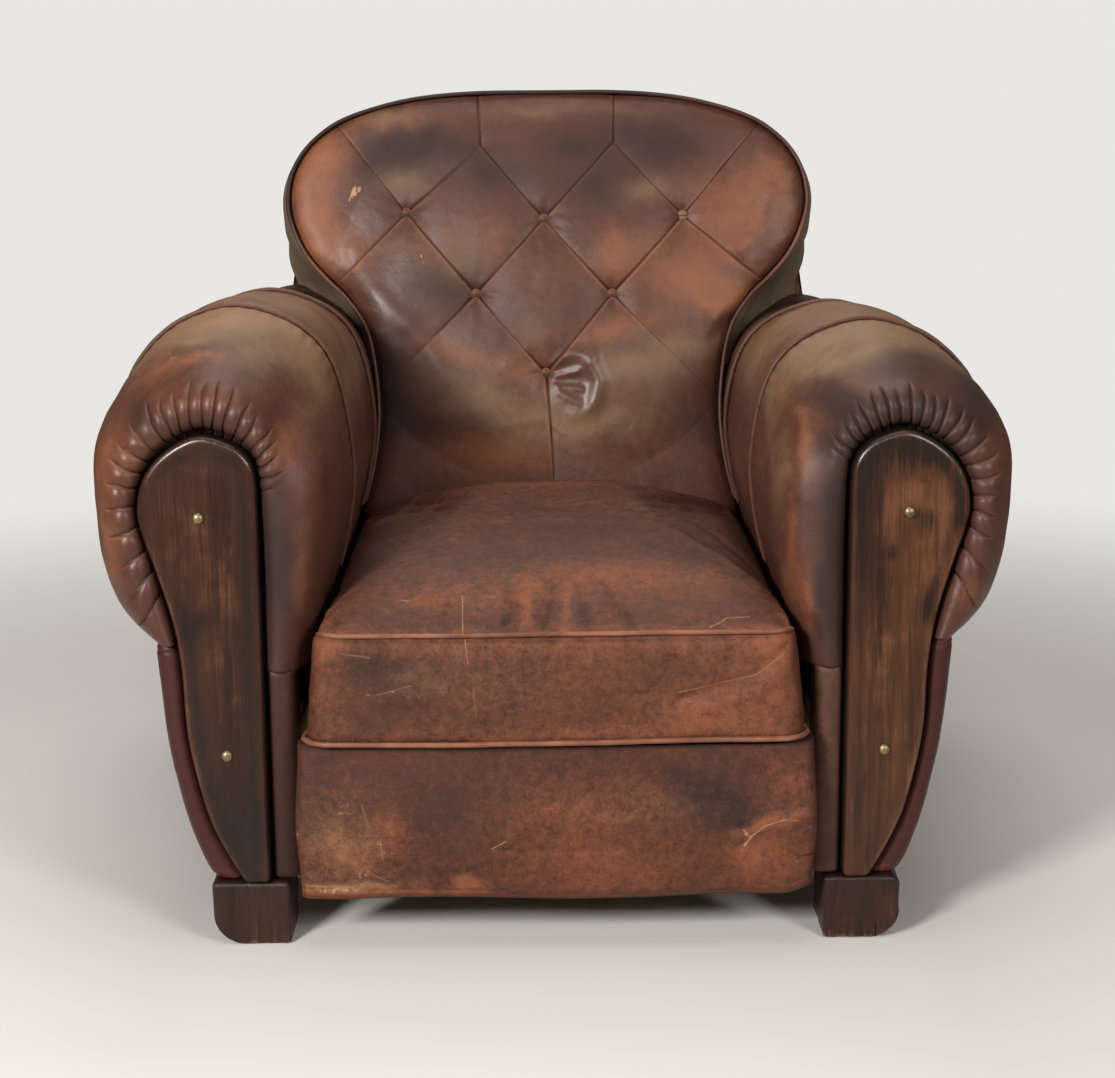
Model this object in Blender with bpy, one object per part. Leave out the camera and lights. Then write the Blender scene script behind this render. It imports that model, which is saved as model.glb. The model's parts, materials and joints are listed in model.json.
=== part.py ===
"""Club chair: construction model of a pleated-arm leather armchair.

Metres, +Z up. The origin is on the floor under the middle of the chair, +X points to the
viewer's right, and the chair faces -Y. Each object is one real piece. Paired pieces are
modelled on the right (+X) and mirrored, and "left" and "right" are the viewer's.
"""

import math

import bmesh
import bpy
from mathutils import Matrix, Vector

# ---------------------------------------------------------------- driving dimensions

GAP = 0.0003                # clearance that two touching pieces keep
SIDES = (("left", -1.0), ("right", 1.0))

WELT_RADIUS = 0.0036
WELT_GROOVE = 0.004         # depth of the V groove that a welt lies in
WELT_LIFT = 0.0007          # height of the welt's centre line over the leather
WELT_INSET = 0.0003         # depth of its centre line inside an edge that it runs round

# planes, front to back
Y_BOARD_FRONT = -0.405      # face of the wooden arm boards
BOARD_THICKNESS = 0.024
Y_BOARD_BACK = Y_BOARD_FRONT + BOARD_THICKNESS
Y_ARM_SEAM = -0.215         # seam between pleated arm front and arm
Y_ARM_END_SEAM = 0.095      # second seam of the arm, beside the back
Y_REAR = 0.4400             # outer face of the outside back
LEATHER = 0.004
Y_INNER_REAR = Y_REAR - LEATHER - GAP

# heights
Z_FOOT_TOP = 0.0657
Z_RAIL_BOTTOM = 0.100
Z_RAIL_TOP = 0.190
Z_DECK_TOP = 0.2147
Z_PAD_BOTTOM = 0.2153
Z_STRIP_TOP = 0.2835        # seam on the inner side of the arm front
Z_PANEL_TOP = 0.3100        # seam under the arm roll
ARM_WELT_FROM_Z = 0.345     # the arm's cords start just above the cushion
Z_BOARD_BOTTOM = 0.0665

# wooden board on the arm front, inner edge straight
BOARD_INNER_X = 0.2847
BOARD_CURVE = [
    (0.2850, 0.470), (0.2925, 0.497), (0.311, 0.511), (0.340, 0.5175), (0.3715, 0.502), (0.392, 0.478),
    (0.400, 0.447), (0.396, 0.420), (0.387, 0.392), (0.371, 0.335), (0.364, 0.285), (0.3605, 0.215),
    (0.346, 0.145), (0.3315, 0.107), (0.310, Z_BOARD_BOTTOM),
]
ARM_BOARD_INSET = 0.010     # hidden board behind it is smaller all round
ARM_BOARD_THICKNESS = 0.025
SCREW_PLACES = [(0.341, 0.438), (0.3225, 0.200)]
SCREW_HEAD_RADIUS = 0.0062
SCREW_SHANK_RADIUS = 0.0020
SCREW_LENGTH = 0.040

# section of the arm where cap and arm meet, from the inner bottom over the top to the outer seam
ARM_SECTION = [
    (0.2490, 0.2153), (0.2405, 0.270), (0.2290, 0.334), (0.2160, 0.388), (0.2090, 0.446),
    (0.2150, 0.508), (0.2290, 0.556), (0.2530, 0.586), (0.2880, 0.604), (0.3250, 0.611),
    (0.3600, 0.604), (0.3900, 0.589), (0.4150, 0.566), (0.4330, 0.538), (0.4440, 0.495),
    (0.4450, 0.440), (0.4400, 0.388), (0.4290, 0.351), (0.4120, 0.326), (0.3920, 0.3103),
]
# way of the leather from the board's edge (0) out to that section (1), with its depth
CAP_SIDE_PROFILE = [
    (0.03, -0.3807), (0.05, -0.392), (0.20, -0.402), (0.46, -0.402), (0.76, -0.390),
    (1.00, -0.367), (1.10, -0.330), (1.11, -0.270), (1.00, -0.2207), (1.00, -0.2153),
]
CAP_TOP_PROFILE = [
    (0.03, -0.3807), (0.05, -0.391), (0.12, -0.397), (0.25, -0.392), (0.42, -0.370),
    (0.62, -0.335), (0.83, -0.288), (0.95, -0.250), (1.00, -0.2207), (1.00, -0.2153),
]
ARM_STATIONS = [-0.2147, -0.2090, -0.060, 0.0893, 0.0950, 0.1007, 0.220, 0.340]
ARM_REAR_DROP = 0.042       # the arm's top sinks this much towards the back
ARM_TOP_SHIFT = {"left": 0.008, "right": -0.010}   # one arm has kept more of its filling
ARM_POINTS = 28             # points along the arm section
EDGE_CLEARANCE = 0.0012     # the cap leather starts this far outside the board
CAP_TUNNEL_INSET = 0.0080   # and its hollow lies this far inside the board's outline
BODY_TUNNEL_PIECES = (12, 2, 4, 2, 7)
CAP_INNER_FULLNESS = 0.86   # the cap swells less beside the seat
CAP_STEP_Y = -0.350         # behind this depth the cap reaches down to the side rail

# outside panel of the arm: outer line of its section
PANEL_LINE = [
    (0.343, 0.068), (0.351, 0.083), (0.360, 0.106), (0.3685, 0.135), (0.375, 0.165),
    (0.381, 0.197), (0.3855, 0.235), (0.389, 0.275), (0.3915, Z_PANEL_TOP),
]

# back: half outline of the pad, from the bottom up to the middle of the crest
BACK_HALF_OUTLINE = [
    (0.240, 0.2155), (0.234, 0.275), (0.2240, 0.335), (0.2110, 0.388), (0.2045, 0.446), (0.2090, 0.505),
    (0.2200, 0.550), (0.2420, 0.583), (0.2660, 0.606), (0.2890, 0.632), (0.3040, 0.660), (0.3125, 0.692),
    (0.3090, 0.725), (0.2960, 0.752), (0.2740, 0.775), (0.2450, 0.793), (0.2000, 0.808), (0.1500, 0.818),
    (0.0850, 0.8232), (0.0, 0.8237),
]
BACK_FACE_LOW_Y = 0.125     # front of the back where it meets the seat
BACK_RECLINE_FROM = 0.36
BACK_RECLINE = 0.255        # metres back for each metre up
BACK_CROWN = 0.024
BACK_MIDDLE = Vector((0.0, 0.56))
BUTTON_CROWN_REACH = 0.27   # distance from the middle at which the crown has died away
BACK_EDGE_CHAMFER = 0.0068  # room for the welt along the pad's front edge
BACK_WELT_FROM_Z = 0.343
BOXING_FROM_Z = 0.555
BOXING_BULGE = 0.020        # the band swells sideways between its two edges
BOXING_BULGE_Z = (0.60, 0.66, 0.70, 0.79)   # the swelling grows, holds and dies away at these heights
BOXING_THICKNESS = 0.003
BOXING_SETBACK = 0.0048     # distance from the pad's front edge, past the welt
OUTSIDE_BACK_SHOULDER = 0.622   # above this height the panel follows the balloon
BUTTON_RADIUS = 0.007
BUTTON_THICKNESS = 0.0055
BUTTON_POCKET_RADIUS = 0.0085
BUTTON_POCKET_DEPTH = 0.009
BUTTON_PLACES = {
    "top_left": (-0.170, 0.683), "top_middle": (-0.005, 0.676), "top_right": (0.162, 0.678),
    "middle_left": (-0.087, 0.589), "middle_right": (0.076, 0.588), "lower": (-0.004, 0.496),
}

# seat
CUSHION_FRONT_Y = -0.4325
CUSHION_BOW = 0.004         # the front edge bows forward by this much in the middle
CUSHION_FRONT_CORNER = 0.026
CUSHION_REAR_CORNER = 0.045
CUSHION_REAR_Y = 0.118
CUSHION_EDGE_Z = 0.327
CUSHION_REAR_RISE = 0.016
CUSHION_CROWN_Z = 0.385
CUSHION_BOTTOM_CHAMFER = 0.010
CUSHION_TOP_CHAMFER = 0.006
APRON_TOP = 0.2135
APRON_BOTTOM = 0.054
APRON_FRONT_Y = -0.429
SPRING_GRID = (-0.150, 0.0, 0.150)
SPRING_ROWS = (-0.260, -0.110, 0.040)
SPRING_RADIUS = 0.036
SPRING_WIRE = 0.0018
SPRING_TURNS = 3.5
SPRING_WAIST = 0.18         # share by which a spring narrows at mid height
DECK_HALF = 0.257
DECK_FRONT_Y = -0.3712
WEB_STRAP = 0.056
WEB_THICKNESS = 0.0025
WEB_HALF = 0.288
WEB_Y = (-0.368, 0.416)
WEB_MARGIN = 0.004          # straps start this far inside the webbing's ends
WEB_COLUMNS = 4
WEB_ROWS = 5

# frame timber
FRAME_HALF = 0.2944         # half length of front and rear rail
TIMBER_BEVEL = 0.002
SIDE_RAIL_X = (0.2600, 0.2944)
ARM_RAIL_X = (0.3200, 0.3600)
ARM_REAR_POST_X = (0.2984, 0.3320)
ARM_RAIL_Z = (0.4520, 0.4965)
REAR_POST_Y = (0.385, 0.420)
BACK_POST_X = (0.160, 0.196)
CREST_RAIL_HALF = 0.225
CREST_RAIL_Z = (0.7403, 0.7900)
FRONT_RAIL_Y = (-0.3715, -0.3450)
FOOT_X = (0.266, 0.344)
FRONT_FOOT_Y = (-0.400, -0.320)
FRONT_FOOT_WEAR = 0.028     # radius to which the outer lower corner is worn
REAR_FOOT_Y = (0.345, 0.425)
REAR_FOOT_WEAR = 0.016


# ---------------------------------------------------------------- scene and materials

def clear_scene():
    for item in list(bpy.data.objects):
        bpy.data.objects.remove(item, do_unlink=True)


def make_material(name, colour, roughness, metallic=0.0):
    material = bpy.data.materials.new(name)
    material.use_nodes = True
    shader = material.node_tree.nodes["Principled BSDF"]
    shader.inputs["Base Color"].default_value = (*colour, 1.0)
    shader.inputs["Roughness"].default_value = roughness
    shader.inputs["Metallic"].default_value = metallic
    return material


def make_materials():
    return {
        "leather": make_material("brown_leather", (0.075, 0.032, 0.020), 0.42),
        "panel": make_material("maroon_leather", (0.070, 0.020, 0.016), 0.38),
        "seat": make_material("seat_leather", (0.110, 0.046, 0.024), 0.55),
        "welt": make_material("welt_leather", (0.120, 0.045, 0.024), 0.50),
        "board": make_material("stained_wood", (0.060, 0.026, 0.014), 0.40),
        "foot": make_material("dark_wood", (0.045, 0.022, 0.014), 0.55),
        "frame": make_material("beech", (0.42, 0.27, 0.15), 0.70),
        "brass": make_material("brass", (0.50, 0.38, 0.16), 0.35, 1.0),
        "steel": make_material("spring_steel", (0.20, 0.18, 0.16), 0.45, 1.0),
        "jute": make_material("jute", (0.36, 0.27, 0.15), 0.95),
    }


# ---------------------------------------------------------------- curves in the plane

def smooth_path(points, per_span):
    """Catmull-Rom curve through the points, open, with per_span pieces between two of them."""
    ends = [Vector(points[0]) * 2 - Vector(points[1])]
    ends += [Vector(p) for p in points]
    ends += [Vector(points[-1]) * 2 - Vector(points[-2])]
    path = []
    for i in range(1, len(ends) - 2):
        a, b, c, d = ends[i - 1:i + 3]
        for k in range(per_span):
            t = k / per_span
            path.append(0.5 * (2 * b + (c - a) * t + (2 * a - 5 * b + 4 * c - d) * t * t
                               + (3 * b - a - 3 * c + d) * t ** 3))
    path.append(ends[-2].copy())
    return path


def resample(path, count):
    """The same path with count points at even distances."""
    lengths = [0.0]
    for a, b in zip(path, path[1:]):
        lengths.append(lengths[-1] + (b - a).length)
    points = []
    index = 0
    for k in range(count):
        target = lengths[-1] * k / (count - 1)
        while index < len(path) - 2 and lengths[index + 1] < target:
            index += 1
        span = max(lengths[index + 1] - lengths[index], 1e-12)
        points.append(path[index].lerp(path[index + 1], (target - lengths[index]) / span))
    return points


def divided_path(corners, pieces):
    """Straight runs between corners, each cut into its own number of pieces."""
    points = []
    for (start, end), count in zip(zip(corners, corners[1:]), pieces):
        points += [Vector(start).lerp(Vector(end), k / count) for k in range(count)]
    return points + [Vector(corners[-1])]


def normals_of(path, closed=False):
    """Unit normals on the left-hand side of the way along the path."""
    count = len(path)
    normals = []
    for i in range(count):
        before = path[i - 1] if closed or i > 0 else path[i]
        after = path[(i + 1) % count] if closed or i < count - 1 else path[i]
        step = (after - before).normalized()
        normals.append(Vector((-step[1], step[0])))
    return normals


def offset_path(path, distance, closed=False):
    return [p + n * distance for p, n in zip(path, normals_of(path, closed))]


def smoothstep(low, high, value):
    t = min(max((value - low) / (high - low), 0.0), 1.0)
    return t * t * (3 - 2 * t)


# ---------------------------------------------------------------- solids

def add_mesh(name, mesh_data, material, smooth=True):
    """Turns a bmesh into a named object with outward normals."""
    bmesh.ops.recalc_face_normals(mesh_data, faces=mesh_data.faces)
    mesh = bpy.data.meshes.new(name)
    mesh_data.to_mesh(mesh)
    mesh_data.free()
    if smooth:
        mesh.shade_smooth()
        mesh.set_sharp_from_angle(angle=math.radians(40))
    item = bpy.data.objects.new(name, mesh)
    item.data.materials.append(material)
    bpy.context.scene.collection.objects.link(item)
    return item


def add_slab(name, outer, inner, material):
    """Closed body between two equal grids of points, such as a padded skin."""
    bm = bmesh.new()
    outside = [[bm.verts.new(p) for p in row] for row in outer]
    inside = [[bm.verts.new(p) for p in row] for row in inner]
    rows, columns = len(outer), len(outer[0])
    for i in range(rows - 1):
        for j in range(columns - 1):
            for grid in (outside, inside):
                bm.faces.new((grid[i][j], grid[i][j + 1], grid[i + 1][j + 1], grid[i + 1][j]))
    for i in range(rows - 1):
        for j in (0, columns - 1):
            bm.faces.new((outside[i][j], outside[i + 1][j], inside[i + 1][j], inside[i][j]))
    for j in range(columns - 1):
        for i in (0, rows - 1):
            bm.faces.new((outside[i][j], outside[i][j + 1], inside[i][j + 1], inside[i][j]))
    return add_mesh(name, bm, material)


def add_loft(name, rings, material, first_centre=None, last_centre=None, smooth=True):
    """Closed body through rings of points. An end is flat, or runs to a centre point."""
    bm = bmesh.new()
    loops = [[bm.verts.new(p) for p in ring] for ring in rings]
    count = len(rings[0])
    for a, b in zip(loops, loops[1:]):
        for j in range(count):
            k = (j + 1) % count
            bm.faces.new((a[j], a[k], b[k], b[j]))
    for loop, centre in ((loops[0], first_centre), (loops[-1], last_centre)):
        if centre is None:
            face = bm.faces.new(loop)
            bmesh.ops.triangulate(bm, faces=[face])
        else:
            tip = bm.verts.new(centre)
            for j in range(count):
                bm.faces.new((loop[j], loop[(j + 1) % count], tip))
    return add_mesh(name, bm, material, smooth)


def add_box(name, x, y, z, material, bevel=TIMBER_BEVEL):
    """Timber or sheet between two values along each axis, with broken edges."""
    bm = bmesh.new()
    size = Vector((x[1] - x[0], y[1] - y[0], z[1] - z[0]))
    middle = Vector((x[1] + x[0], y[1] + y[0], z[1] + z[0])) / 2
    bmesh.ops.create_cube(bm, size=1.0, matrix=Matrix.Translation(middle) @ Matrix.Diagonal((*size, 1.0)))
    if bevel:
        bmesh.ops.bevel(bm, geom=bm.edges[:], offset=bevel, segments=1, affect="EDGES")
    return add_mesh(name, bm, material, smooth=False)


def add_tube(name, points, radius, material, closed=False, resolution=1):
    """Cord along a path of points."""
    curve = bpy.data.curves.new(name, "CURVE")
    curve.dimensions = "3D"
    curve.bevel_depth = radius
    curve.bevel_resolution = resolution
    curve.use_fill_caps = not closed
    spline = curve.splines.new("POLY")
    spline.points.add(len(points) - 1)
    for target, point in zip(spline.points, points):
        target.co = (*point, 1.0)
    spline.use_cyclic_u = closed
    item = bpy.data.objects.new(name, curve)
    curve.materials.append(material)
    bpy.context.scene.collection.objects.link(item)
    return item


def add_cutter(radius, start, end, sides=16):
    """Round cutter along Y, kept out of the model itself."""
    bm = bmesh.new()
    place = Matrix.Translation(((start[0] + end[0]) / 2, (start[1] + end[1]) / 2, start[2]))
    bmesh.ops.create_cone(
        bm, cap_ends=True, segments=sides, radius1=radius, radius2=radius, depth=abs(end[1] - start[1]),
        matrix=place @ Matrix.Rotation(math.pi / 2, 4, "X"))
    mesh = bpy.data.meshes.new("cutter")
    bm.to_mesh(mesh)
    bm.free()
    cutter = bpy.data.objects.new("cutter", mesh)
    cutter.hide_render = True
    cutter.display_type = "WIRE"
    bpy.context.scene.collection.objects.link(cutter)
    return cutter


def cut(item, cutter):
    modifier = item.modifiers.new("cut", "BOOLEAN")
    modifier.operation = "DIFFERENCE"
    modifier.solver = "EXACT"
    modifier.object = cutter


def mirrored_span(span, side):
    return tuple(sorted((span[0] * side, span[1] * side)))


# ---------------------------------------------------------------- arms

def board_outline():
    """Closed outline of the wooden board, as (x, z), from the inner bottom corner upwards."""
    curve = smooth_path(BOARD_CURVE, 2)
    return [Vector((BOARD_INNER_X, Z_BOARD_BOTTOM)), Vector((BOARD_INNER_X, 0.27))] + curve


def board_half_width(z):
    """Outer edge of the board at a height below its head."""
    curve = smooth_path(BOARD_CURVE, 4)
    lower = [p for p in curve if p[1] < 0.44]
    return min(lower, key=lambda p: abs(p[1] - z))[0]


def flat_board(name, outline, side, y_front, y_back, bevel, material):
    """Shaped board with softened front edges."""
    inset = [p - n * bevel for p, n in zip(outline, normals_of(outline, closed=True))]
    rings = []
    for ring, y in ((inset, y_front), (outline, y_front + bevel), (outline, y_back)):
        rings.append([(p[0] * side, y, p[1]) for p in ring])
    return add_loft(name, rings, material)


def arm_path(label):
    """Board edge, arm section, and the hollows of cap and arm, as paths with matching points."""
    section = resample(smooth_path(ARM_SECTION, 4), ARM_POINTS)
    shift = ARM_TOP_SHIFT[label]
    section = [Vector((p[0], p[1] + shift * smoothstep(0.44, 0.61, p[1]))) for p in section]
    edge_curve = [p for p in smooth_path(BOARD_CURVE, 4) if p[1] > Z_PANEL_TOP]
    edge = [Vector((BOARD_INNER_X, Z_PAD_BOTTOM))] + edge_curve + [Vector((0.3675, Z_PANEL_TOP))]
    edge = resample(edge, ARM_POINTS)
    cap_tunnel = offset_path(edge, -CAP_TUNNEL_INSET)
    body_tunnel = [
        (0.2980, Z_PAD_BOTTOM), (0.2980, 0.470), (0.3080, ARM_RAIL_Z[1] + GAP),
        (0.3700, ARM_RAIL_Z[1] + GAP), (0.3780, 0.480), (0.3780, Z_PANEL_TOP + GAP),
    ]
    clear_edge = offset_path(edge, EDGE_CLEARANCE)
    return clear_edge, section, cap_tunnel, divided_path(body_tunnel, BODY_TUNNEL_PIECES)


def cap_floor(inner_side, y):
    """Lowest height of the cap: over the front strip, the rail, or the outside panel."""
    if not inner_side:
        return Z_PANEL_TOP + GAP
    return Z_STRIP_TOP + 0.002 if y < CAP_STEP_Y else Z_PAD_BOTTOM


def make_cap(label, side, material):
    """Pleated front of the arm, a padded shell round the arm board."""
    edge, section, tunnel, _ = arm_path(label)
    outward = normals_of(section)
    outer, inner = [], []
    last = len(CAP_SIDE_PROFILE) - 1
    for i, ((side_u, side_y), (top_u, top_y)) in enumerate(zip(CAP_SIDE_PROFILE, CAP_TOP_PROFILE)):
        outer_row, inner_row = [], []
        tunnel_y = CAP_SIDE_PROFILE[0][1] + (CAP_SIDE_PROFILE[-1][1] - CAP_SIDE_PROFILE[0][1]) * i / last
        for j in range(ARM_POINTS):
            inner_side = j < ARM_POINTS // 2
            top = smoothstep(0.50, 0.60, section[j][1])
            u = side_u + (top_u - side_u) * top
            y = side_y + (top_y - side_y) * top
            if inner_side and i < last - 1:
                u = min(u * CAP_INNER_FULLNESS, 1.0)
            place = edge[j].lerp(section[j], u)
            if i == last:
                place = place - outward[j] * WELT_GROOVE
            low = cap_floor(inner_side, side_y) + (place[1] - Z_PAD_BOTTOM) * 0.02
            hole_low = cap_floor(inner_side, side_y) + (tunnel[j][1] - Z_PAD_BOTTOM) * 0.02
            outer_row.append((place[0] * side, y, max(place[1], low)))
            inner_row.append((tunnel[j][0] * side, tunnel_y, max(tunnel[j][1], hole_low)))
        outer.append(outer_row)
        inner.append(inner_row)
    return add_slab("arm_cap_" + label, outer, inner, material)


def arm_drop(y):
    """How far the arm's top has sunk at a station."""
    return ARM_REAR_DROP * smoothstep(-0.16, 0.42, y)


def arm_station(label, y, groove):
    """Arm section at a station, as (x, z) points."""
    _, section, _, _ = arm_path(label)
    path = offset_path(section, -groove) if groove else section
    return [Vector((p[0], p[1] - arm_drop(y) * smoothstep(0.40, 0.60, p[1]))) for p in path]


def make_arm_body(label, side, material):
    _, _, _, tunnel = arm_path(label)
    stations = [(y, WELT_GROOVE if abs(y - Y_ARM_SEAM) < 0.001 or y == Y_ARM_END_SEAM else 0.0)
                for y in ARM_STATIONS]
    stations += [(Y_INNER_REAR - 0.012, 0.0), (Y_INNER_REAR, 0.014)]
    outer, inner = [], []
    for y, groove in stations:
        outer.append([(p[0] * side, y, max(p[1], Z_PAD_BOTTOM)) for p in arm_station(label, y, groove)])
        inner.append([(p[0] * side, y, p[1]) for p in tunnel])
    return add_slab("arm_body_" + label, outer, inner, material)


def make_arm_welt(kind, label, side, y, material):
    """Cord in a groove of the arm, from the seat up over the roll to the seam under it."""
    path = offset_path(arm_station(label, y, 0.0), WELT_LIFT)[:-1]
    points = [(p[0] * side, y, p[1]) for p in path if p[0] > 0.30 or p[1] > ARM_WELT_FROM_Z]
    return add_tube(f"{kind}_{label}", points, WELT_RADIUS, material)


def make_outside_panel(label, side, material):
    """Side panel of the arm, which wraps to the front beside the board."""
    outer, inner = [], []
    for x, z in smooth_path(PANEL_LINE, 1):
        board = board_half_width(z)
        tuck = board - ARM_BOARD_INSET + 0.0012
        wide = x - board
        front = Y_BOARD_BACK + GAP
        outer.append([
            (tuck * side, front, z), ((board + 0.0012) * side, front, z),
            ((board + 0.0016) * side, front - 0.008, z), ((board + 0.45 * wide) * side, front - 0.012, z),
            ((x - 0.004) * side, front - 0.008, z), (x * side, front + 0.004, z),
            (x * side, -0.200, z), (x * side, 0.150, z), (x * side, Y_INNER_REAR, z)])
        inner.append([
            (tuck * side, front + LEATHER, z), ((board + 0.0012) * side, front + LEATHER, z),
            ((board + 0.0016) * side, front + LEATHER, z), ((board + 0.45 * wide) * side, front + LEATHER, z),
            ((x - 0.006) * side, front + LEATHER, z), ((x - LEATHER) * side, front + 0.007, z),
            ((x - LEATHER) * side, -0.200, z), ((x - LEATHER) * side, 0.150, z),
            ((x - LEATHER) * side, Y_INNER_REAR, z)])
    return add_slab("outside_arm_" + label, outer, inner, material)


def make_inside_strip(label, side, material):
    """Leather strip on the front, between the board and the seat."""
    front = Y_BOARD_BACK + GAP
    line = [(BOARD_INNER_X + 0.0085, front), (0.2832, front), (0.2825, front - 0.008),
            (0.2700, front - 0.0115), (0.2580, front - 0.006), (0.2525, front + 0.002), (0.2525, -0.3725)]
    back = [(BOARD_INNER_X + 0.0085, front + LEATHER), (0.2832, front + LEATHER), (0.2825, front + LEATHER),
            (0.2700, front + LEATHER), (0.2610, front + LEATHER), (0.2565, front + 0.0055), (0.2565, -0.3725)]
    heights = [0.068, 0.120, 0.180, 0.240, Z_STRIP_TOP]
    outer = [[(x * side, y, z) for x, y in line] for z in heights]
    inner = [[(x * side, y, z) for x, y in back] for z in heights]
    return add_slab("inside_strip_" + label, outer, inner, material)


def make_screw(name, x, z, material):
    """Domed head on a straight shank, turned about Y."""
    rings = []
    profile = [(SCREW_SHANK_RADIUS, SCREW_LENGTH), (SCREW_SHANK_RADIUS, -GAP), (SCREW_HEAD_RADIUS, -GAP),
               (SCREW_HEAD_RADIUS * 0.92, -0.0018), (SCREW_HEAD_RADIUS * 0.6, -0.0033)]
    for radius, y in profile:
        ring = []
        for k in range(12):
            angle = math.tau * k / 12
            ring.append((x + radius * math.cos(angle), Y_BOARD_FRONT + y, z + radius * math.sin(angle)))
        rings.append(ring)
    return add_loft(name, rings, material, last_centre=(x, Y_BOARD_FRONT - 0.0040, z))


def make_foot(name, side, y, outer_wear, material):
    """Square block with a worn outer lower corner."""
    low_x, high_x = FOOT_X
    outline = [(low_x, 0.0), (high_x - outer_wear, 0.0)]
    for k in range(1, 5):
        angle = math.pi / 2 * k / 5
        outline.append((high_x - outer_wear + outer_wear * math.sin(angle) * 0.93,
                        outer_wear * (1 - math.cos(angle))))
    outline += [(high_x - outer_wear * 0.07, outer_wear), (high_x, Z_FOOT_TOP), (low_x, Z_FOOT_TOP)]
    rings = [[(px * side, depth, pz) for px, pz in outline] for depth in y]
    return add_loft(name, rings, material, smooth=False)


def make_arm(label, side, mats):
    outline = board_outline()
    facing = flat_board("facing_" + label, outline, side, Y_BOARD_FRONT, Y_BOARD_BACK, 0.0035, mats["board"])
    hidden = offset_path(outline, -ARM_BOARD_INSET, closed=True)
    hidden = [Vector((p[0], max(p[1], Z_FOOT_TOP + GAP))) for p in hidden]
    hidden_front = Y_BOARD_BACK + 2 * GAP
    board = flat_board("arm_board_" + label, hidden, side, hidden_front,
                       hidden_front + ARM_BOARD_THICKNESS, 0.0005, mats["frame"])
    for place, (x, z) in zip(("upper", "lower"), SCREW_PLACES):
        make_screw(f"facing_screw_{place}_{label}", x * side, z, mats["brass"])
        cutter = add_cutter(SCREW_SHANK_RADIUS + GAP, (x * side, Y_BOARD_FRONT - 0.01, z),
                            (x * side, Y_BOARD_FRONT + SCREW_LENGTH + GAP, z), sides=12)
        cut(facing, cutter)
        cut(board, cutter)
    make_cap(label, side, mats["leather"])
    make_arm_body(label, side, mats["leather"])
    make_arm_welt("arm_welt", label, side, Y_ARM_SEAM, mats["welt"])
    make_arm_welt("arm_end_welt", label, side, Y_ARM_END_SEAM, mats["welt"])
    make_outside_panel(label, side, mats["panel"])
    make_inside_strip(label, side, mats["leather"])
    make_foot("foot_front_" + label, side, FRONT_FOOT_Y, FRONT_FOOT_WEAR, mats["foot"])
    make_foot("foot_rear_" + label, side, REAR_FOOT_Y, REAR_FOOT_WEAR, mats["foot"])


# ---------------------------------------------------------------- back

def back_face(z):
    """Depth of the back's front edge at a height."""
    over = z - BACK_RECLINE_FROM
    return BACK_FACE_LOW_Y + BACK_RECLINE * (0.5 * over + 0.5 * math.sqrt(over * over + 0.0004))


def back_outline():
    """Closed outline of the back pad, from the middle of the crest down the left side."""
    half = smooth_path(BACK_HALF_OUTLINE, 1)
    left = [Vector((-p[0], p[1])) for p in reversed(half)]
    return left + [p.copy() for p in half[:-1]]


def back_point(outline_point, offset_y):
    return (outline_point[0], back_face(outline_point[1]) + offset_y, outline_point[1])


def crown(scale, z):
    """How far the pad swells forward: most in the middle, none behind the seat cushion."""
    return BACK_CROWN * (1.0 - scale * scale) * smoothstep(0.32, 0.47, z)


def make_back_pad(material):
    """Tufted pad: a crowned front, and flat behind where it lies on the frame."""
    outline = back_outline()
    rear = REAR_POST_Y[0] - GAP
    rings = [[(p[0], rear, p[1]) for p in outline]]
    rings.append([back_point(p, BACK_EDGE_CHAMFER) for p in outline])
    rings.append([back_point(p, 0.0) for p in offset_path(outline, BACK_EDGE_CHAMFER, closed=True)])
    for scale in (0.82, 0.60, 0.38, 0.16):
        ring = [BACK_MIDDLE.lerp(p, scale) for p in outline]
        rings.append([back_point(p, -crown(scale, p[1])) for p in ring])
    centre = back_point(BACK_MIDDLE, -crown(0.0, BACK_MIDDLE[1]))
    pad = add_loft("back_pad", rings, material, last_centre=centre)
    for x, z in BUTTON_PLACES.values():
        seat = button_seat(x, z)
        cut(pad, add_cutter(BUTTON_POCKET_RADIUS, (x, seat - 0.08, z), (x, seat + GAP, z), sides=12))
    return pad


def button_seat(x, z):
    """Depth at which a button's flat back lies."""
    reach = (Vector((x, z)) - BACK_MIDDLE).length / BUTTON_CROWN_REACH
    return back_face(z) - crown(min(reach, 1.0), z) + BUTTON_POCKET_DEPTH


def make_button(name, x, z, material):
    seat = button_seat(x, z)
    rings = []
    for radius, lift in ((0.9, 0.0), (1.0, 0.35), (0.85, 0.75), (0.5, 0.95)):
        ring = []
        for k in range(12):
            angle = math.tau * k / 12
            ring.append((x + BUTTON_RADIUS * radius * math.cos(angle), seat - BUTTON_THICKNESS * lift,
                         z + BUTTON_RADIUS * radius * math.sin(angle)))
        rings.append(ring)
    return add_loft(name, rings, material, last_centre=(x, seat - BUTTON_THICKNESS, z))


def make_back_welt(material):
    """Cord round the front edge of the back, open at the seat."""
    half = offset_path(smooth_path(BACK_HALF_OUTLINE, 1), WELT_INSET)
    right = [p for p in half[:-1] if p[1] > BACK_WELT_FROM_Z]
    crest = Vector((0.0, BACK_HALF_OUTLINE[-1][1] - WELT_INSET))
    path = [Vector((-p[0], p[1])) for p in right] + [crest] + right[::-1]
    return add_tube("back_welt", [back_point(p, WELT_INSET) for p in path], WELT_RADIUS, material)


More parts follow.
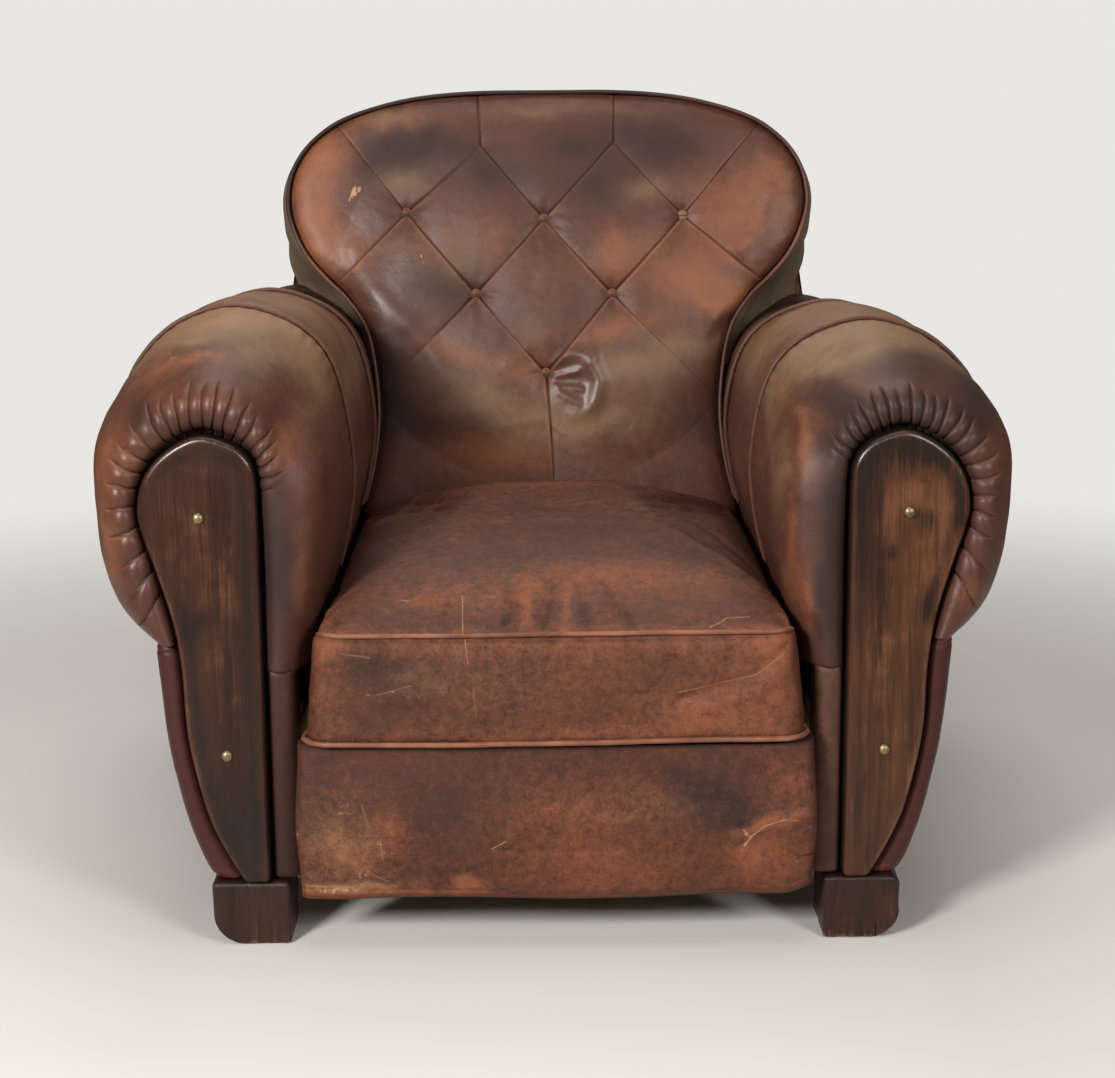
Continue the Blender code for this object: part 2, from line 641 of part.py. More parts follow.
def make_boxing(material):
    """Side band of the back, from arm to arm over the top."""
    half = [p for p in smooth_path(BACK_HALF_OUTLINE, 1) if p[1] > BOXING_FROM_Z]
    path = [Vector((-p[0], p[1])) for p in half] + [p.copy() for p in reversed(half[:-1])]
    outward = normals_of(path)
    outer = [boxing_row(p, n, GAP + BOXING_THICKNESS) for p, n in zip(path, outward)]
    inner = [boxing_row(p, n, GAP) for p, n in zip(path, outward)]
    return add_slab("back_boxing", outer, inner, material)


def boxing_row(point, normal, lift):
    """Points of the band from front to rear, swelling where it faces sideways above the arms."""
    front = back_face(point[1]) + BOXING_SETBACK
    start, full, hold, end = BOXING_BULGE_Z
    share = smoothstep(start, full, point[1]) * (1 - smoothstep(hold, end, point[1]))
    row = []
    for t in (0.0, 0.3, 0.7, 1.0):
        swell = BOXING_BULGE * 4 * t * (1 - t) * abs(normal[0]) * share
        place = point + normal * (lift + swell)
        row.append((place[0], front + (Y_INNER_REAR - front) * t, place[1]))
    return row


def make_outside_back(material):
    """Flat leather behind: as wide as the side panels below, balloon-shaped above the arms."""
    low = [Vector((x - LEATHER - GAP, z)) for x, z in PANEL_LINE[:-1]]
    middle = [Vector(p) for p in ((0.386, 0.330), (0.385, 0.420), (0.380, 0.500), (0.356, 0.545),
                                  (0.325, 0.572), (0.300, 0.598))]
    high = [p for p in smooth_path(BACK_HALF_OUTLINE, 1) if p[1] > OUTSIDE_BACK_SHOULDER]
    high = offset_path(high, -(GAP + BOXING_THICKNESS))
    half = low + middle + high
    outline = half + [Vector((-p[0], p[1])) for p in reversed(half[:-1])]
    rings = []
    for inset, y in ((0.0, Y_REAR - LEATHER), (0.0, Y_REAR - 0.001), (0.0015, Y_REAR)):
        ring = offset_path(outline, inset, closed=True)
        rings.append([(p[0], y, p[1]) for p in ring])
    return add_loft("outside_back", rings, material)


def make_back(mats):
    make_back_pad(mats["leather"])
    for label, (x, z) in BUTTON_PLACES.items():
        make_button("back_button_" + label, x, z, mats["leather"])
    make_back_welt(mats["welt"])
    make_boxing(mats["leather"])
    make_outside_back(mats["leather"])


# ---------------------------------------------------------------- seat

def cushion_half_width(y, z):
    """Half width of the cushion, wider at the front and at the bottom."""
    front = 1.0 - smoothstep(CUSHION_FRONT_Y + 0.02, -0.29, y)
    low = 1.0 - smoothstep(Z_PAD_BOTTOM, CUSHION_EDGE_Z, z)
    return 0.2235 + 0.0125 * front + 0.010 * low


def cushion_ring(z_of, inset, scale=1.0):
    """Ring with rounded corners; z_of gives the height at a depth."""
    front, rear = CUSHION_FRONT_Y + inset, CUSHION_REAR_Y - inset
    edge_z = z_of(0.0)
    half = []
    for radius, centre_y, angles in (
            (CUSHION_FRONT_CORNER, front + CUSHION_FRONT_CORNER, (-90, -68, -45, -22, 0)),
            (CUSHION_REAR_CORNER, rear - CUSHION_REAR_CORNER, (0, 22, 45, 68, 90))):
        for degrees in angles:
            angle = math.radians(degrees)
            y = centre_y + radius * math.sin(angle)
            wide = cushion_half_width(y, edge_z) - inset - radius * (1 - math.cos(angle))
            half.append((wide, y))
    sides = [(cushion_half_width(y, edge_z) - inset, y) for y in (-0.33, -0.27, -0.17, -0.05)]
    front_x, rear_x = half[0][0], half[-1][0]
    half = ([(front_x * 0.35, front - CUSHION_BOW * 0.9), (front_x * 0.75, front - CUSHION_BOW * 0.4)]
            + half[:5] + sides + half[5:] + [(rear_x * 0.5, rear)])
    loop = [(0.0, front - CUSHION_BOW)] + half + [(0.0, rear)] + [(-x, y) for x, y in reversed(half)]
    middle = (front + rear) / 2
    ring = []
    for x, y in loop:
        y = middle + (y - middle) * scale
        ring.append((x * scale, y, z_of(y)))
    return ring


def cushion_edge(y):
    along = (y - CUSHION_FRONT_Y) / (CUSHION_REAR_Y - CUSHION_FRONT_Y)
    return CUSHION_EDGE_Z + CUSHION_REAR_RISE * along


def cushion_top(y, scale):
    """Height of the crowned top on a ring of the given scale."""
    along = (y - CUSHION_FRONT_Y) / (CUSHION_REAR_Y - CUSHION_FRONT_Y)
    rise = CUSHION_CROWN_Z - CUSHION_EDGE_Z - CUSHION_REAR_RISE * 0.7
    return cushion_edge(y) + rise * (1 - scale ** 2.2) * (0.72 + 0.28 * smoothstep(0.0, 0.6, along))


def make_cushion(material):
    bottom = CUSHION_BOTTOM_CHAMFER
    top = CUSHION_TOP_CHAMFER
    rings = [cushion_ring(lambda y: Z_PAD_BOTTOM, bottom, 0.5), cushion_ring(lambda y: Z_PAD_BOTTOM, bottom),
             cushion_ring(lambda y: Z_PAD_BOTTOM + bottom, 0.0),
             cushion_ring(lambda y: (Z_PAD_BOTTOM + cushion_edge(y)) / 2, 0.0),
             cushion_ring(lambda y: cushion_edge(y) - top, 0.0), cushion_ring(cushion_edge, top)]
    for scale in (0.90, 0.76, 0.58, 0.38, 0.18):
        rings.append(cushion_ring(lambda y, s=scale: cushion_top(y, s), top, scale))
    middle_y = (CUSHION_FRONT_Y + CUSHION_REAR_Y) / 2
    return add_loft("seat_cushion", rings, material, first_centre=(0.0, middle_y, Z_PAD_BOTTOM),
                    last_centre=(0.0, middle_y, cushion_top(middle_y, 0.0)))


def make_cushion_welts(material):
    top = cushion_ring(lambda y: cushion_edge(y) - 0.0003, 0.0003)
    add_tube("cushion_welt_top", top, WELT_RADIUS, material, closed=True)
    low = cushion_ring(lambda y: Z_PAD_BOTTOM + 0.0046, 0.0001)
    add_tube("cushion_welt_bottom", low, WELT_RADIUS, material, closed=True)


def apron_section(z):
    """Plan section of the apron at a height: bowed in front, thin below the frame rail."""
    middle = smoothstep(APRON_BOTTOM, 0.13, z) * (1 - smoothstep(0.13, APRON_TOP, z))
    half = 0.2525 + 0.004 * middle
    front = APRON_FRONT_Y + 0.004 * (1 - middle)
    rear = -0.3718 if z > Z_RAIL_BOTTOM - 0.001 else -0.408
    shoulder = -0.3965 if z > Z_RAIL_BOTTOM - 0.001 else -0.409
    right = [(half - 0.060, front + 0.0005), (half - 0.012, front + 0.0045), (half, front + 0.015),
             (half, shoulder), (0.2487, shoulder), (0.2487, rear)]
    left = [(-x, y) for x, y in reversed(right)]
    return [(x, y, z) for x, y in [(0.0, front)] + right + left]


def make_apron(material):
    heights = [APRON_BOTTOM, 0.070, Z_RAIL_BOTTOM - 0.002, Z_RAIL_BOTTOM, 0.130, 0.165, 0.190, APRON_TOP]
    return add_loft("apron", [apron_section(z) for z in heights], material)


def make_spring(name, x, y, material):
    low = Z_RAIL_BOTTOM + SPRING_WIRE
    high = Z_RAIL_TOP - GAP - SPRING_WIRE
    points = []
    count = int(7 * SPRING_TURNS)
    for k in range(count + 1):
        t = k / count
        angle = math.tau * SPRING_TURNS * t
        radius = SPRING_RADIUS * (1 - SPRING_WAIST * math.sin(math.pi * t))
        points.append((x + radius * math.cos(angle), y + radius * math.sin(angle), low + (high - low) * t))
    return add_tube(name, points, SPRING_WIRE, material, resolution=0)


def make_webbing(material):
    """Crossing straps as one flat lattice under the rails."""
    front, rear = WEB_Y
    columns = lattice_lines(-WEB_HALF + WEB_MARGIN, WEB_HALF - WEB_MARGIN, WEB_STRAP, WEB_COLUMNS)
    rows = lattice_lines(front + WEB_MARGIN, rear - WEB_MARGIN, WEB_STRAP, WEB_ROWS)
    bm = bmesh.new()
    xs = [-WEB_HALF] + columns + [WEB_HALF]
    ys = [front] + rows + [rear]
    grid = [[bm.verts.new((x, y, Z_RAIL_BOTTOM - GAP)) for x in xs] for y in ys]
    for i in range(len(ys) - 1):
        for j in range(len(xs) - 1):
            if i % 2 == 1 or j % 2 == 1:
                bm.faces.new((grid[i][j], grid[i][j + 1], grid[i + 1][j + 1], grid[i + 1][j]))
    loose = [v for v in bm.verts if not v.link_faces]
    bmesh.ops.delete(bm, geom=loose, context="VERTS")
    extruded = bmesh.ops.extrude_face_region(bm, geom=bm.faces[:])
    moved = [item for item in extruded["geom"] if isinstance(item, bmesh.types.BMVert)]
    bmesh.ops.translate(bm, verts=moved, vec=(0, 0, -WEB_THICKNESS))
    return add_mesh("seat_webbing", bm, material, smooth=False)


def lattice_lines(low, high, strap, count):
    """Edges of count straps, spread evenly between two values."""
    lines = []
    pitch = (high - low - strap) / (count - 1)
    for k in range(count):
        lines += [low + pitch * k, low + pitch * k + strap]
    return lines


def make_seat(mats):
    make_cushion(mats["seat"])
    make_cushion_welts(mats["welt"])
    make_apron(mats["seat"])
    add_box("seat_deck", (-DECK_HALF, DECK_HALF), (DECK_FRONT_Y, REAR_POST_Y[0] - 0.002),
            (Z_RAIL_TOP + GAP, Z_DECK_TOP), mats["jute"], bevel=0.004)
    for row, y in zip(("front", "middle", "rear"), SPRING_ROWS):
        for column, x in zip(("left", "centre", "right"), SPRING_GRID):
            make_spring(f"seat_spring_{row}_{column}", x, y, mats["steel"])
    make_webbing(mats["jute"])


# ---------------------------------------------------------------- frame

def make_frame(mats):
    wood = mats["frame"]
    rail_z = (Z_RAIL_BOTTOM, Z_RAIL_TOP)
    add_box("front_rail", (-FRAME_HALF, FRAME_HALF), FRONT_RAIL_Y, rail_z, wood)
    rear_half = ARM_REAR_POST_X[0] - GAP
    add_box("rear_rail", (-rear_half, rear_half), REAR_POST_Y, rail_z, wood)
    for label, side in SIDES:
        add_box("side_rail_" + label, mirrored_span(SIDE_RAIL_X, side), (FRONT_RAIL_Y[1] + GAP, REAR_POST_Y[0] - GAP),
                (Z_RAIL_BOTTOM, Z_PAD_BOTTOM - GAP), wood)
        add_box("arm_rail_" + label, mirrored_span(ARM_RAIL_X, side),
                (Y_BOARD_BACK + ARM_BOARD_THICKNESS + 3 * GAP, REAR_POST_Y[1]), ARM_RAIL_Z, wood)
        add_box("arm_rear_post_" + label, mirrored_span(ARM_REAR_POST_X, side), REAR_POST_Y,
                (Z_FOOT_TOP + GAP, ARM_RAIL_Z[0] - GAP), wood)
        add_box("back_post_" + label, mirrored_span(BACK_POST_X, side), REAR_POST_Y,
                (Z_RAIL_TOP + GAP, CREST_RAIL_Z[0] - GAP), wood)
    add_box("back_crest_rail", (-CREST_RAIL_HALF, CREST_RAIL_HALF), REAR_POST_Y, CREST_RAIL_Z, wood)


def main():
    clear_scene()
    mats = make_materials()
    make_frame(mats)
    for label, side in SIDES:
        make_arm(label, side, mats)
    make_back(mats)
    make_seat(mats)


main()
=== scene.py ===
"""Club chair: the finished looks of a worn leather armchair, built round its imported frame.

Metres, +Z up. The chair faces -Y, and "left" and "right" are the viewer's.
"""

import json
import logging
import math
from dataclasses import dataclass
from enum import Enum
from typing import Callable, Sequence

import bmesh
import bpy
import numpy as np
from mathutils import Matrix, Vector


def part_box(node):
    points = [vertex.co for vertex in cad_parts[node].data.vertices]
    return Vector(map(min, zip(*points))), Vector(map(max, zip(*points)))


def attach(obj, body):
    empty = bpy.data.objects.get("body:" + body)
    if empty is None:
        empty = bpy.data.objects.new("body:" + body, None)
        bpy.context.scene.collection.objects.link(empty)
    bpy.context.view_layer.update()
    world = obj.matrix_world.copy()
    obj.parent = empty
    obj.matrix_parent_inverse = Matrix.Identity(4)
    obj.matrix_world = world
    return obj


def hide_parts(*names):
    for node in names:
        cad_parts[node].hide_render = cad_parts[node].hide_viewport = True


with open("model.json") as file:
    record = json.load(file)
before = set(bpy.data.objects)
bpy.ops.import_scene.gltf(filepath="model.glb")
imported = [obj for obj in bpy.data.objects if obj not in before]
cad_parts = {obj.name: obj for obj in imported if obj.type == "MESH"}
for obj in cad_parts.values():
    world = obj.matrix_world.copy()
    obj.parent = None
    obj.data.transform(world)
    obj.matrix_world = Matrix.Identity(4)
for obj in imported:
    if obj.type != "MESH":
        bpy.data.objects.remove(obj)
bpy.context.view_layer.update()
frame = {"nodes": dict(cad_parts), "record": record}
LOG = logging.getLogger("club_chair")

Colour = tuple[float, float, float]
Plane = tuple[float, float]

GAP = 0.0004                # between touching pieces
DECK_Z = 0.2153             # where the seat, the arms and the back meet the seat deck
LEATHER_LOW = 0.068         # lower edge of the panels
REAR_SEAM_Y = 0.4357        # where the arms and the side band meet the outer back
SIDES = {"left": -1.0, "right": 1.0}


# ---------------------------------------------------------------- plain maths

def smoothstep(low: float, high: float, value: np.ndarray) -> np.ndarray:
    """Smooth rise from 0 at low to 1 at high.

    Args:
        low: value at which the rise starts.
        high: value at which it ends; it may be less than low, for a fall.
        value: numbers to look up.

    Returns:
        Numbers from 0 to 1, in the shape of value.
    """
    t = np.clip((np.asarray(value, dtype=float) - low) / (high - low), 0.0, 1.0)
    return t * t * (3 - 2 * t)


def bell(distance: np.ndarray, width: float) -> np.ndarray:
    """Gaussian bump of height 1 that falls to 0.37 at width."""
    return np.exp(-(np.asarray(distance, dtype=float) / width) ** 2)


def spline(points: Sequence[Sequence[float]], count: int, closed: bool = False) -> np.ndarray:
    """Evenly spaced points on a smooth curve through the given ones.

    Args:
        points: two or more points of any dimension.
        count: how many points to return.
        closed: whether the curve runs back to its start, which then isn't repeated.

    Returns:
        Array of shape (count, dimension).
    """
    knots = np.asarray(points, dtype=float)
    if closed:
        ends = np.vstack([knots[-1], knots, knots[:2]])
    else:
        ends = np.vstack([2 * knots[0] - knots[1], knots, 2 * knots[-1] - knots[-2]])
    t = np.linspace(0.0, 1.0, 24, endpoint=False)[:, None]
    spans = []
    for a, b, c, d in zip(ends, ends[1:], ends[2:], ends[3:]):
        spans.append(0.5 * (2 * b + (c - a) * t + (2 * a - 5 * b + 4 * c - d) * t ** 2
                            + (3 * b - a - 3 * c + d) * t ** 3))
    dense = np.vstack(spans + [knots[:1] if closed else knots[-1:]])
    return respace(dense, count + 1)[:-1] if closed else respace(dense, count)


def respace(path: np.ndarray, count: int, density: np.ndarray | None = None) -> np.ndarray:
    """The same path with count points, evenly spaced or closer where density is higher.

    Args:
        path: points in order; distances are measured on the first three columns at most.
        count: how many points to return.
        density: optional relative number of points to the metre at each point of path.

    Returns:
        Array of shape (count, columns of path).
    """
    steps = np.linalg.norm(np.diff(path[:, :3], axis=0), axis=1)
    if density is not None:
        steps = steps * (density[1:] + density[:-1]) / 2
    run = np.concatenate([[0.0], np.cumsum(steps)])
    wanted = np.linspace(0.0, run[-1], count)
    return np.column_stack([np.interp(wanted, run, path[:, k]) for k in range(path.shape[1])])


def run_along(path: np.ndarray) -> np.ndarray:
    """Distance run along a line at each of its points."""
    return np.concatenate([[0], np.cumsum(np.linalg.norm(np.diff(path, axis=0), axis=1))])


def leftward(path: np.ndarray) -> np.ndarray:
    """Unit directions to the left of a flat open line, at each of its points.

    Args:
        path: its points.

    Returns:
        Array of the same shape.
    """
    step = np.gradient(path, axis=0)
    step /= np.maximum(np.linalg.norm(step, axis=1, keepdims=True), 1e-9)
    return np.column_stack([-step[:, 1], step[:, 0]])


def offset_line(path: np.ndarray, distance: float) -> np.ndarray:
    """A flat open line moved sideways, to its left for a positive distance."""
    return path + distance * leftward(path)


def soft_noise(points: np.ndarray, pitch: float, seed: int) -> np.ndarray:
    """Smooth repeatable noise.

    Args:
        points: array (n, 3) of places, in metres.
        pitch: size of its features, in metres.
        seed: whole number that picks the pattern.

    Returns:
        n numbers from -1 to 1.
    """
    cell = points / pitch
    base = np.floor(cell).astype(np.int64)
    part = cell - base
    fade = part ** 3 * (part * (part * 6 - 15) + 10)
    total = np.zeros(len(points))
    for corner in range(8):
        shift = np.array([corner & 1, corner >> 1 & 1, corner >> 2 & 1])
        key = ((base + shift) * np.array([73856093, 19349663, 83492791])).sum(axis=1) + seed * 668265263
        key = ((key ^ (key >> 13)) * 1274126177) & 0x7FFFFFFF
        key = (key ^ (key >> 15)) & 0xFFFF
        weight = np.where(shift == 1, fade, 1 - fade).prod(axis=1)
        total += weight * (key / 32767.5 - 1)
    return total


def rolling_noise(points: np.ndarray, pitch: float, seed: int, octaves: int = 3) -> np.ndarray:
    """Soft noise with finer noise on it, each octave half the size and half the height.

    Args:
        points: array (n, 3) of places.
        pitch: size of the largest features.
        seed: picks the pattern.
        octaves: how many noises are summed.

    Returns:
        n numbers from -1 to 1.
    """
    total = np.zeros(len(points))
    for k in range(octaves):
        total += soft_noise(points, pitch / 2 ** k, seed + k) / 2 ** k
    return total / (2 - 0.5 ** (octaves - 1))


def segment_distance(x: np.ndarray, z: np.ndarray, start: Plane, end: Plane) -> tuple[np.ndarray, np.ndarray,
                                                                                      np.ndarray]:
    """Distances to a straight segment in a plane.

    Args:
        x: first coordinates.
        z: second coordinates.
        start: first end of the segment.
        end: second end.

    Returns:
        The distance, the signed distance to the line's left, and the share of the way along, 0 to 1.
    """
    dx, dz = end[0] - start[0], end[1] - start[1]
    length = math.hypot(dx, dz)
    along = ((x - start[0]) * dx + (z - start[1]) * dz) / length ** 2
    share = np.clip(along, 0.0, 1.0)
    distance = np.hypot(x - start[0] - dx * share, z - start[1] - dz * share)
    left = ((z - start[1]) * dx - (x - start[0]) * dz) / length
    return distance, left, share


def line_distance(x: np.ndarray, z: np.ndarray, points: Sequence[Sequence[float]]) -> np.ndarray:
    """Distance of places in a plane from a line through points.

    Args:
        x: first coordinates of the places.
        z: second coordinates.
        points: the line's points.

    Returns:
        Distance of each place.
    """
    nearest = np.full(np.shape(x), np.inf)
    for start, end in zip(points, points[1:]):
        nearest = np.minimum(nearest, segment_distance(x, z, start, end)[0])
    return nearest


def in_pairs(values: Sequence[float]) -> list[Plane]:
    """Points from their coordinates in turn, turned from millimetres into metres."""
    return [(a / 1000, b / 1000) for a, b in zip(values[0::2], values[1::2])]


def relief(x: np.ndarray, z: np.ndarray, lines: Sequence[tuple[float, ...]]) -> np.ndarray:
    """Height of soft ridges, and of grooves, that are drawn on a surface.

    Args:
        x: first coordinates of the places.
        z: second coordinates.
        lines: height, width and the points' coordinates of each one, in millimetres.

    Returns:
        Height at each place, in metres.
    """
    height = np.zeros(np.shape(x))
    for lift, width, *values in lines:
        height += lift / 1000 * bell(line_distance(x, z, in_pairs(values)), width / 1000)
    return height


def surface_normals(grid: np.ndarray) -> np.ndarray:
    """Unit normals of a grid of points, on the side of column direction x row direction.

    Args:
        grid: array (rows, columns, 3).

    Returns:
        Array of the same shape.
    """
    across = np.gradient(grid, axis=1)
    down = np.gradient(grid, axis=0)
    normal = np.cross(across, down)
    return normal / np.maximum(np.linalg.norm(normal, axis=2, keepdims=True), 1e-12)


# ---------------------------------------------------------------- colours laid on one by one

class Tone(Enum):
    """What a mark does to the leather under it: attribute name and channel."""

    WORN = ("tone", 0)      # dye rubbed through to orange brown; some marks are painted highlights
    DARK = ("tone", 1)      # blackened with age; some marks are painted shade and a painted shadow
    DUST = ("tone", 2)      # grey bloom; on the side band and the arms' tops also painted light
    FOLD = ("form", 0)      # near black: grime in folds and seams, and painted shade in recesses, gaps and creases
    GLOSS = ("form", 1)     # polished by use
    SCUFF = ("form", 2)     # surface gone, pale; some lines are painted highlights


@dataclass(frozen=True)
class Mark:
    """A soft-edged oval patch on a piece."""

    tone: Tone
    centre: Plane
    radii: Plane
    amount: float = 1.0
    turn: float = 0.0       # degrees, anticlockwise as seen


@dataclass(frozen=True)
class Stroke:
    """A soft-edged band along a line of points."""

    tone: Tone
    points: tuple[Plane, ...]
    width: float
    amount: float = 1.0


def patches(tone: Tone, *rows: tuple[float, ...]) -> list[Mark]:
    """Patches of one tone.

    Args:
        tone: what they do.
        *rows: centre and radii in millimetres, amount, and turn in degrees if there is one.

    Returns:
        The patches, in the same order.
    """
    return [Mark(tone, *in_pairs(row[:4]), *row[4:]) for row in rows]


def bands(tone: Tone, *rows: tuple[float, ...]) -> list[Stroke]:
    """Bands of one tone.

    Args:
        tone: what they do.
        *rows: width in millimetres, amount, and the points' coordinates in millimetres.

    Returns:
        The bands, in the same order.
    """
    return [Stroke(tone, tuple(in_pairs(points)), width / 1000, amount) for width, amount, *points in rows]


class Paintwork:
    """The two colour attributes of a piece, filled from marks and from the shape."""

    def __init__(self, places: np.ndarray) -> None:
        """Starts with clean leather.

        Args:
            places: array (n, 3) of the piece's vertices.
        """
        self.places = places
        self.layers = {"tone": np.zeros((len(places), 4)), "form": np.zeros((len(places), 4))}
        for layer in self.layers.values():
            layer[:, 3] = 1.0

    def grow(self, count: int) -> None:
        """Makes room for vertices that were added after the first ones.

        Args:
            count: how many vertices there are now.
        """
        for name, layer in self.layers.items():
            more = np.zeros((count - len(layer), 4))
            more[:, 3] = 1.0
            self.layers[name] = np.vstack([layer, more])

    def add(self, tone: Tone, amount: np.ndarray) -> None:
        """Adds an amount to one tone, everywhere or on the first vertices only."""
        layer, channel = tone.value
        amount = np.asarray(amount, dtype=float).ravel()
        self.layers[layer][:len(amount), channel] += amount

    def mark(self, marks: Sequence["Mark | Stroke"], axes: tuple[int, int] = (0, 2), seed: int = 1,
             mask: np.ndarray | None = None) -> None:
        """Lays marks on the piece, with uneven edges.

        Args:
            marks: patches and bands to lay on.
            axes: the two coordinates that the marks' places are in.
            seed: picks the unevenness.
            mask: optional share of each mark that each vertex takes.
        """
        wobble = [rolling_noise(self.places, 0.045, seed + k) * 0.014 for k in (0, 7)]
        a = self.places[:, axes[0]] + wobble[0]
        b = self.places[:, axes[1]] + wobble[1]
        share = 1.0 if mask is None else mask
        for item in marks:
            if isinstance(item, Mark):
                turn = math.radians(item.turn)
                da, db = a - item.centre[0], b - item.centre[1]
                u = (da * math.cos(turn) + db * math.sin(turn)) / item.radii[0]
                v = (db * math.cos(turn) - da * math.sin(turn)) / item.radii[1]
                shape = np.exp(-(u * u + v * v) ** 0.9)
            else:
                shape = bell(line_distance(a, b, item.points), item.width)
            self.add(item.tone, item.amount * shape * share)

    def store(self, piece: bpy.types.Object) -> None:
        """Writes the attributes to the mesh."""
        for name, layer in self.layers.items():
            attribute = piece.data.color_attributes.new(name, "FLOAT_COLOR", "POINT")
            attribute.data.foreach_set("color", np.clip(layer, 0.0, 1.0).astype(np.float32).ravel())


# ---------------------------------------------------------------- meshes

def deselect_all() -> None:
    """Leaves nothing selected, so that an operator acts on its own piece only."""
    for item in bpy.context.selected_objects:
        item.select_set(False)


def activate(piece: bpy.types.Object) -> None:
    """Makes a piece the only selected and the active one."""
    deselect_all()
    piece.select_set(True)
    bpy.context.view_layer.objects.active = piece


def new_mesh(name: str, places: np.ndarray, faces: Sequence[Sequence[int]]) -> bpy.types.Object:
    """Mesh object from places and faces, with outward normals.

    Args:
        name: name of the piece.
        places: array (n, 3).
        faces: vertex numbers of each face.

    Returns:
        The new object.
    """
    mesh = bpy.data.meshes.new(name)
    mesh.from_pydata(places.tolist(), [], [list(map(int, face)) for face in faces])
    bm = bmesh.new()
    bm.from_mesh(mesh)
    bmesh.ops.recalc_face_normals(bm, faces=bm.faces[:])
    bm.to_mesh(mesh)
    bm.free()
    mesh.shade_smooth()
    piece = bpy.data.objects.new(name, mesh)
    bpy.context.scene.collection.objects.link(piece)
    return piece


def places_of(piece: bpy.types.Object) -> np.ndarray:
    """Places of a piece's vertices, in order."""
    return np.array([v.co for v in piece.data.vertices])


def normals_of(piece: bpy.types.Object) -> np.ndarray:
    """Normals of a piece's vertices, in order."""
    return np.array([v.normal for v in piece.data.vertices])


def apply_modifier(piece: bpy.types.Object, kind: str, **settings: object) -> None:
    """Adds a modifier of a kind to a piece, with its settings, and applies it.

    Args:
        piece: the piece.
        kind: Blender's name of the modifier's type.
        **settings: its properties.
    """
    activate(piece)
    modifier = piece.modifiers.new(kind.lower(), kind)
    for key, value in settings.items():
        setattr(modifier, key, value)
    bpy.ops.object.modifier_apply(modifier=modifier.name)


def grid_quads(rows: int, columns: int, start: int = 0) -> np.ndarray:
    """Quads of a grid whose vertices are numbered row by row from start."""
    number = start + np.arange(rows * columns).reshape(rows, columns)
    return np.stack([number[:-1, :-1], number[:-1, 1:], number[1:, 1:], number[1:, :-1]], axis=-1).reshape(-1, 4)


def add_skin(name: str, outer: np.ndarray, inner: np.ndarray) -> bpy.types.Object:
    """Closed padded skin: a fine outer face, and a plain inner one with the same columns.

    Args:
        name: name of the piece.
        outer: array (rows, columns, 3).
        inner: array (fewer rows, columns, 3), from the same end to the same end.

    Returns:
        The piece. Its first vertices are those of outer, row by row.
    """
    rows, columns, _ = outer.shape
    backs = inner.shape[0]
    start = rows * columns
    front = np.arange(start).reshape(rows, columns)
    back = start + np.arange(backs * columns).reshape(backs, columns)
    faces = grid_quads(rows, columns).tolist() + grid_quads(backs, columns, start)[:, ::-1].tolist()
    for outer_row, inner_row in ((front[0], back[0]), (front[-1], back[-1])):
        faces += np.stack([outer_row[:-1], outer_row[1:], inner_row[1:], inner_row[:-1]], axis=-1).tolist()
    at = np.round(np.arange(rows) * (backs - 1) / (rows - 1)).astype(int)
    for column in (0, -1):
        ahead, behind = front[:, column].tolist(), back[:, column].tolist()
        for i in range(rows - 1):
            faces.append((ahead[i], ahead[i + 1], behind[at[i]]))
            if at[i + 1] != at[i]:
                faces.append((ahead[i + 1], behind[at[i + 1]], behind[at[i]]))
    places = np.vstack([outer.reshape(-1, 3), inner.reshape(-1, 3)])
    return new_mesh(name, places, faces)


def add_cord(name: str, path: np.ndarray, radius: float, closed: bool = False, sides: int = 12,
             uneven: float = 0.06, seed: int = 3) -> bpy.types.Object:
    """Leather-covered cord along a path, slightly uneven, with rounded ends.

    Args:
        name: name of the piece.
        path: array (n, 3) of its centre line.
        radius: its radius.
        closed: whether it runs back to its start.
        sides: number of sides of its section.
        uneven: share by which the radius varies.
        seed: picks the unevenness.

    Returns:
        The piece. Its vertices are numbered ring by ring.
    """
    count = len(path)
    step = np.roll(path, -1, axis=0) - np.roll(path, 1, axis=0) if closed else np.gradient(path, axis=0)
    step /= np.linalg.norm(step, axis=1, keepdims=True)
    guide = np.array([0.31, 0.84, 0.44])
    side = np.cross(step, guide)
    side /= np.linalg.norm(side, axis=1, keepdims=True)
    up = np.cross(side, step)
    size = radius * (1 + uneven * rolling_noise(path, 0.012, seed))
    if not closed:
        from_end = np.minimum(np.arange(count), np.arange(count)[::-1])
        size = size * np.clip(0.45 + 0.3 * from_end, 0.0, 1.0)
    angle = np.arange(sides) * math.tau / sides
    ring = np.cos(angle)[None, :, None] * side[:, None, :] + np.sin(angle)[None, :, None] * up[:, None, :]
    places = (path[:, None, :] + ring * size[:, None, None]).reshape(-1, 3)
    faces = []
    for i in range(count if closed else count - 1):
        a, b = i * sides, (i + 1) % count * sides
        faces += [(a + k, a + (k + 1) % sides, b + (k + 1) % sides, b + k) for k in range(sides)]
    if not closed:
        faces += [tuple(range(sides)), tuple((count - 1) * sides + k for k in range(sides))]
    return new_mesh(name, places, faces)


# ---------------------------------------------------------------- node expressions

def operator_for(operation: str, swapped: bool = False) -> Callable[["Value", "Value | float"], "Value"]:
    """Python operator that adds a Math node; swapped puts the other value first.

    Args:
        operation: operation of the node.
        swapped: whether the other value comes first.

    Returns:
        The operator's method.
    """
    def work(value: "Value", other: "Value | float") -> "Value":
        """Result of the node on both values."""
        return value.math(operation, *((other, value) if swapped else (value, other)))
    return work


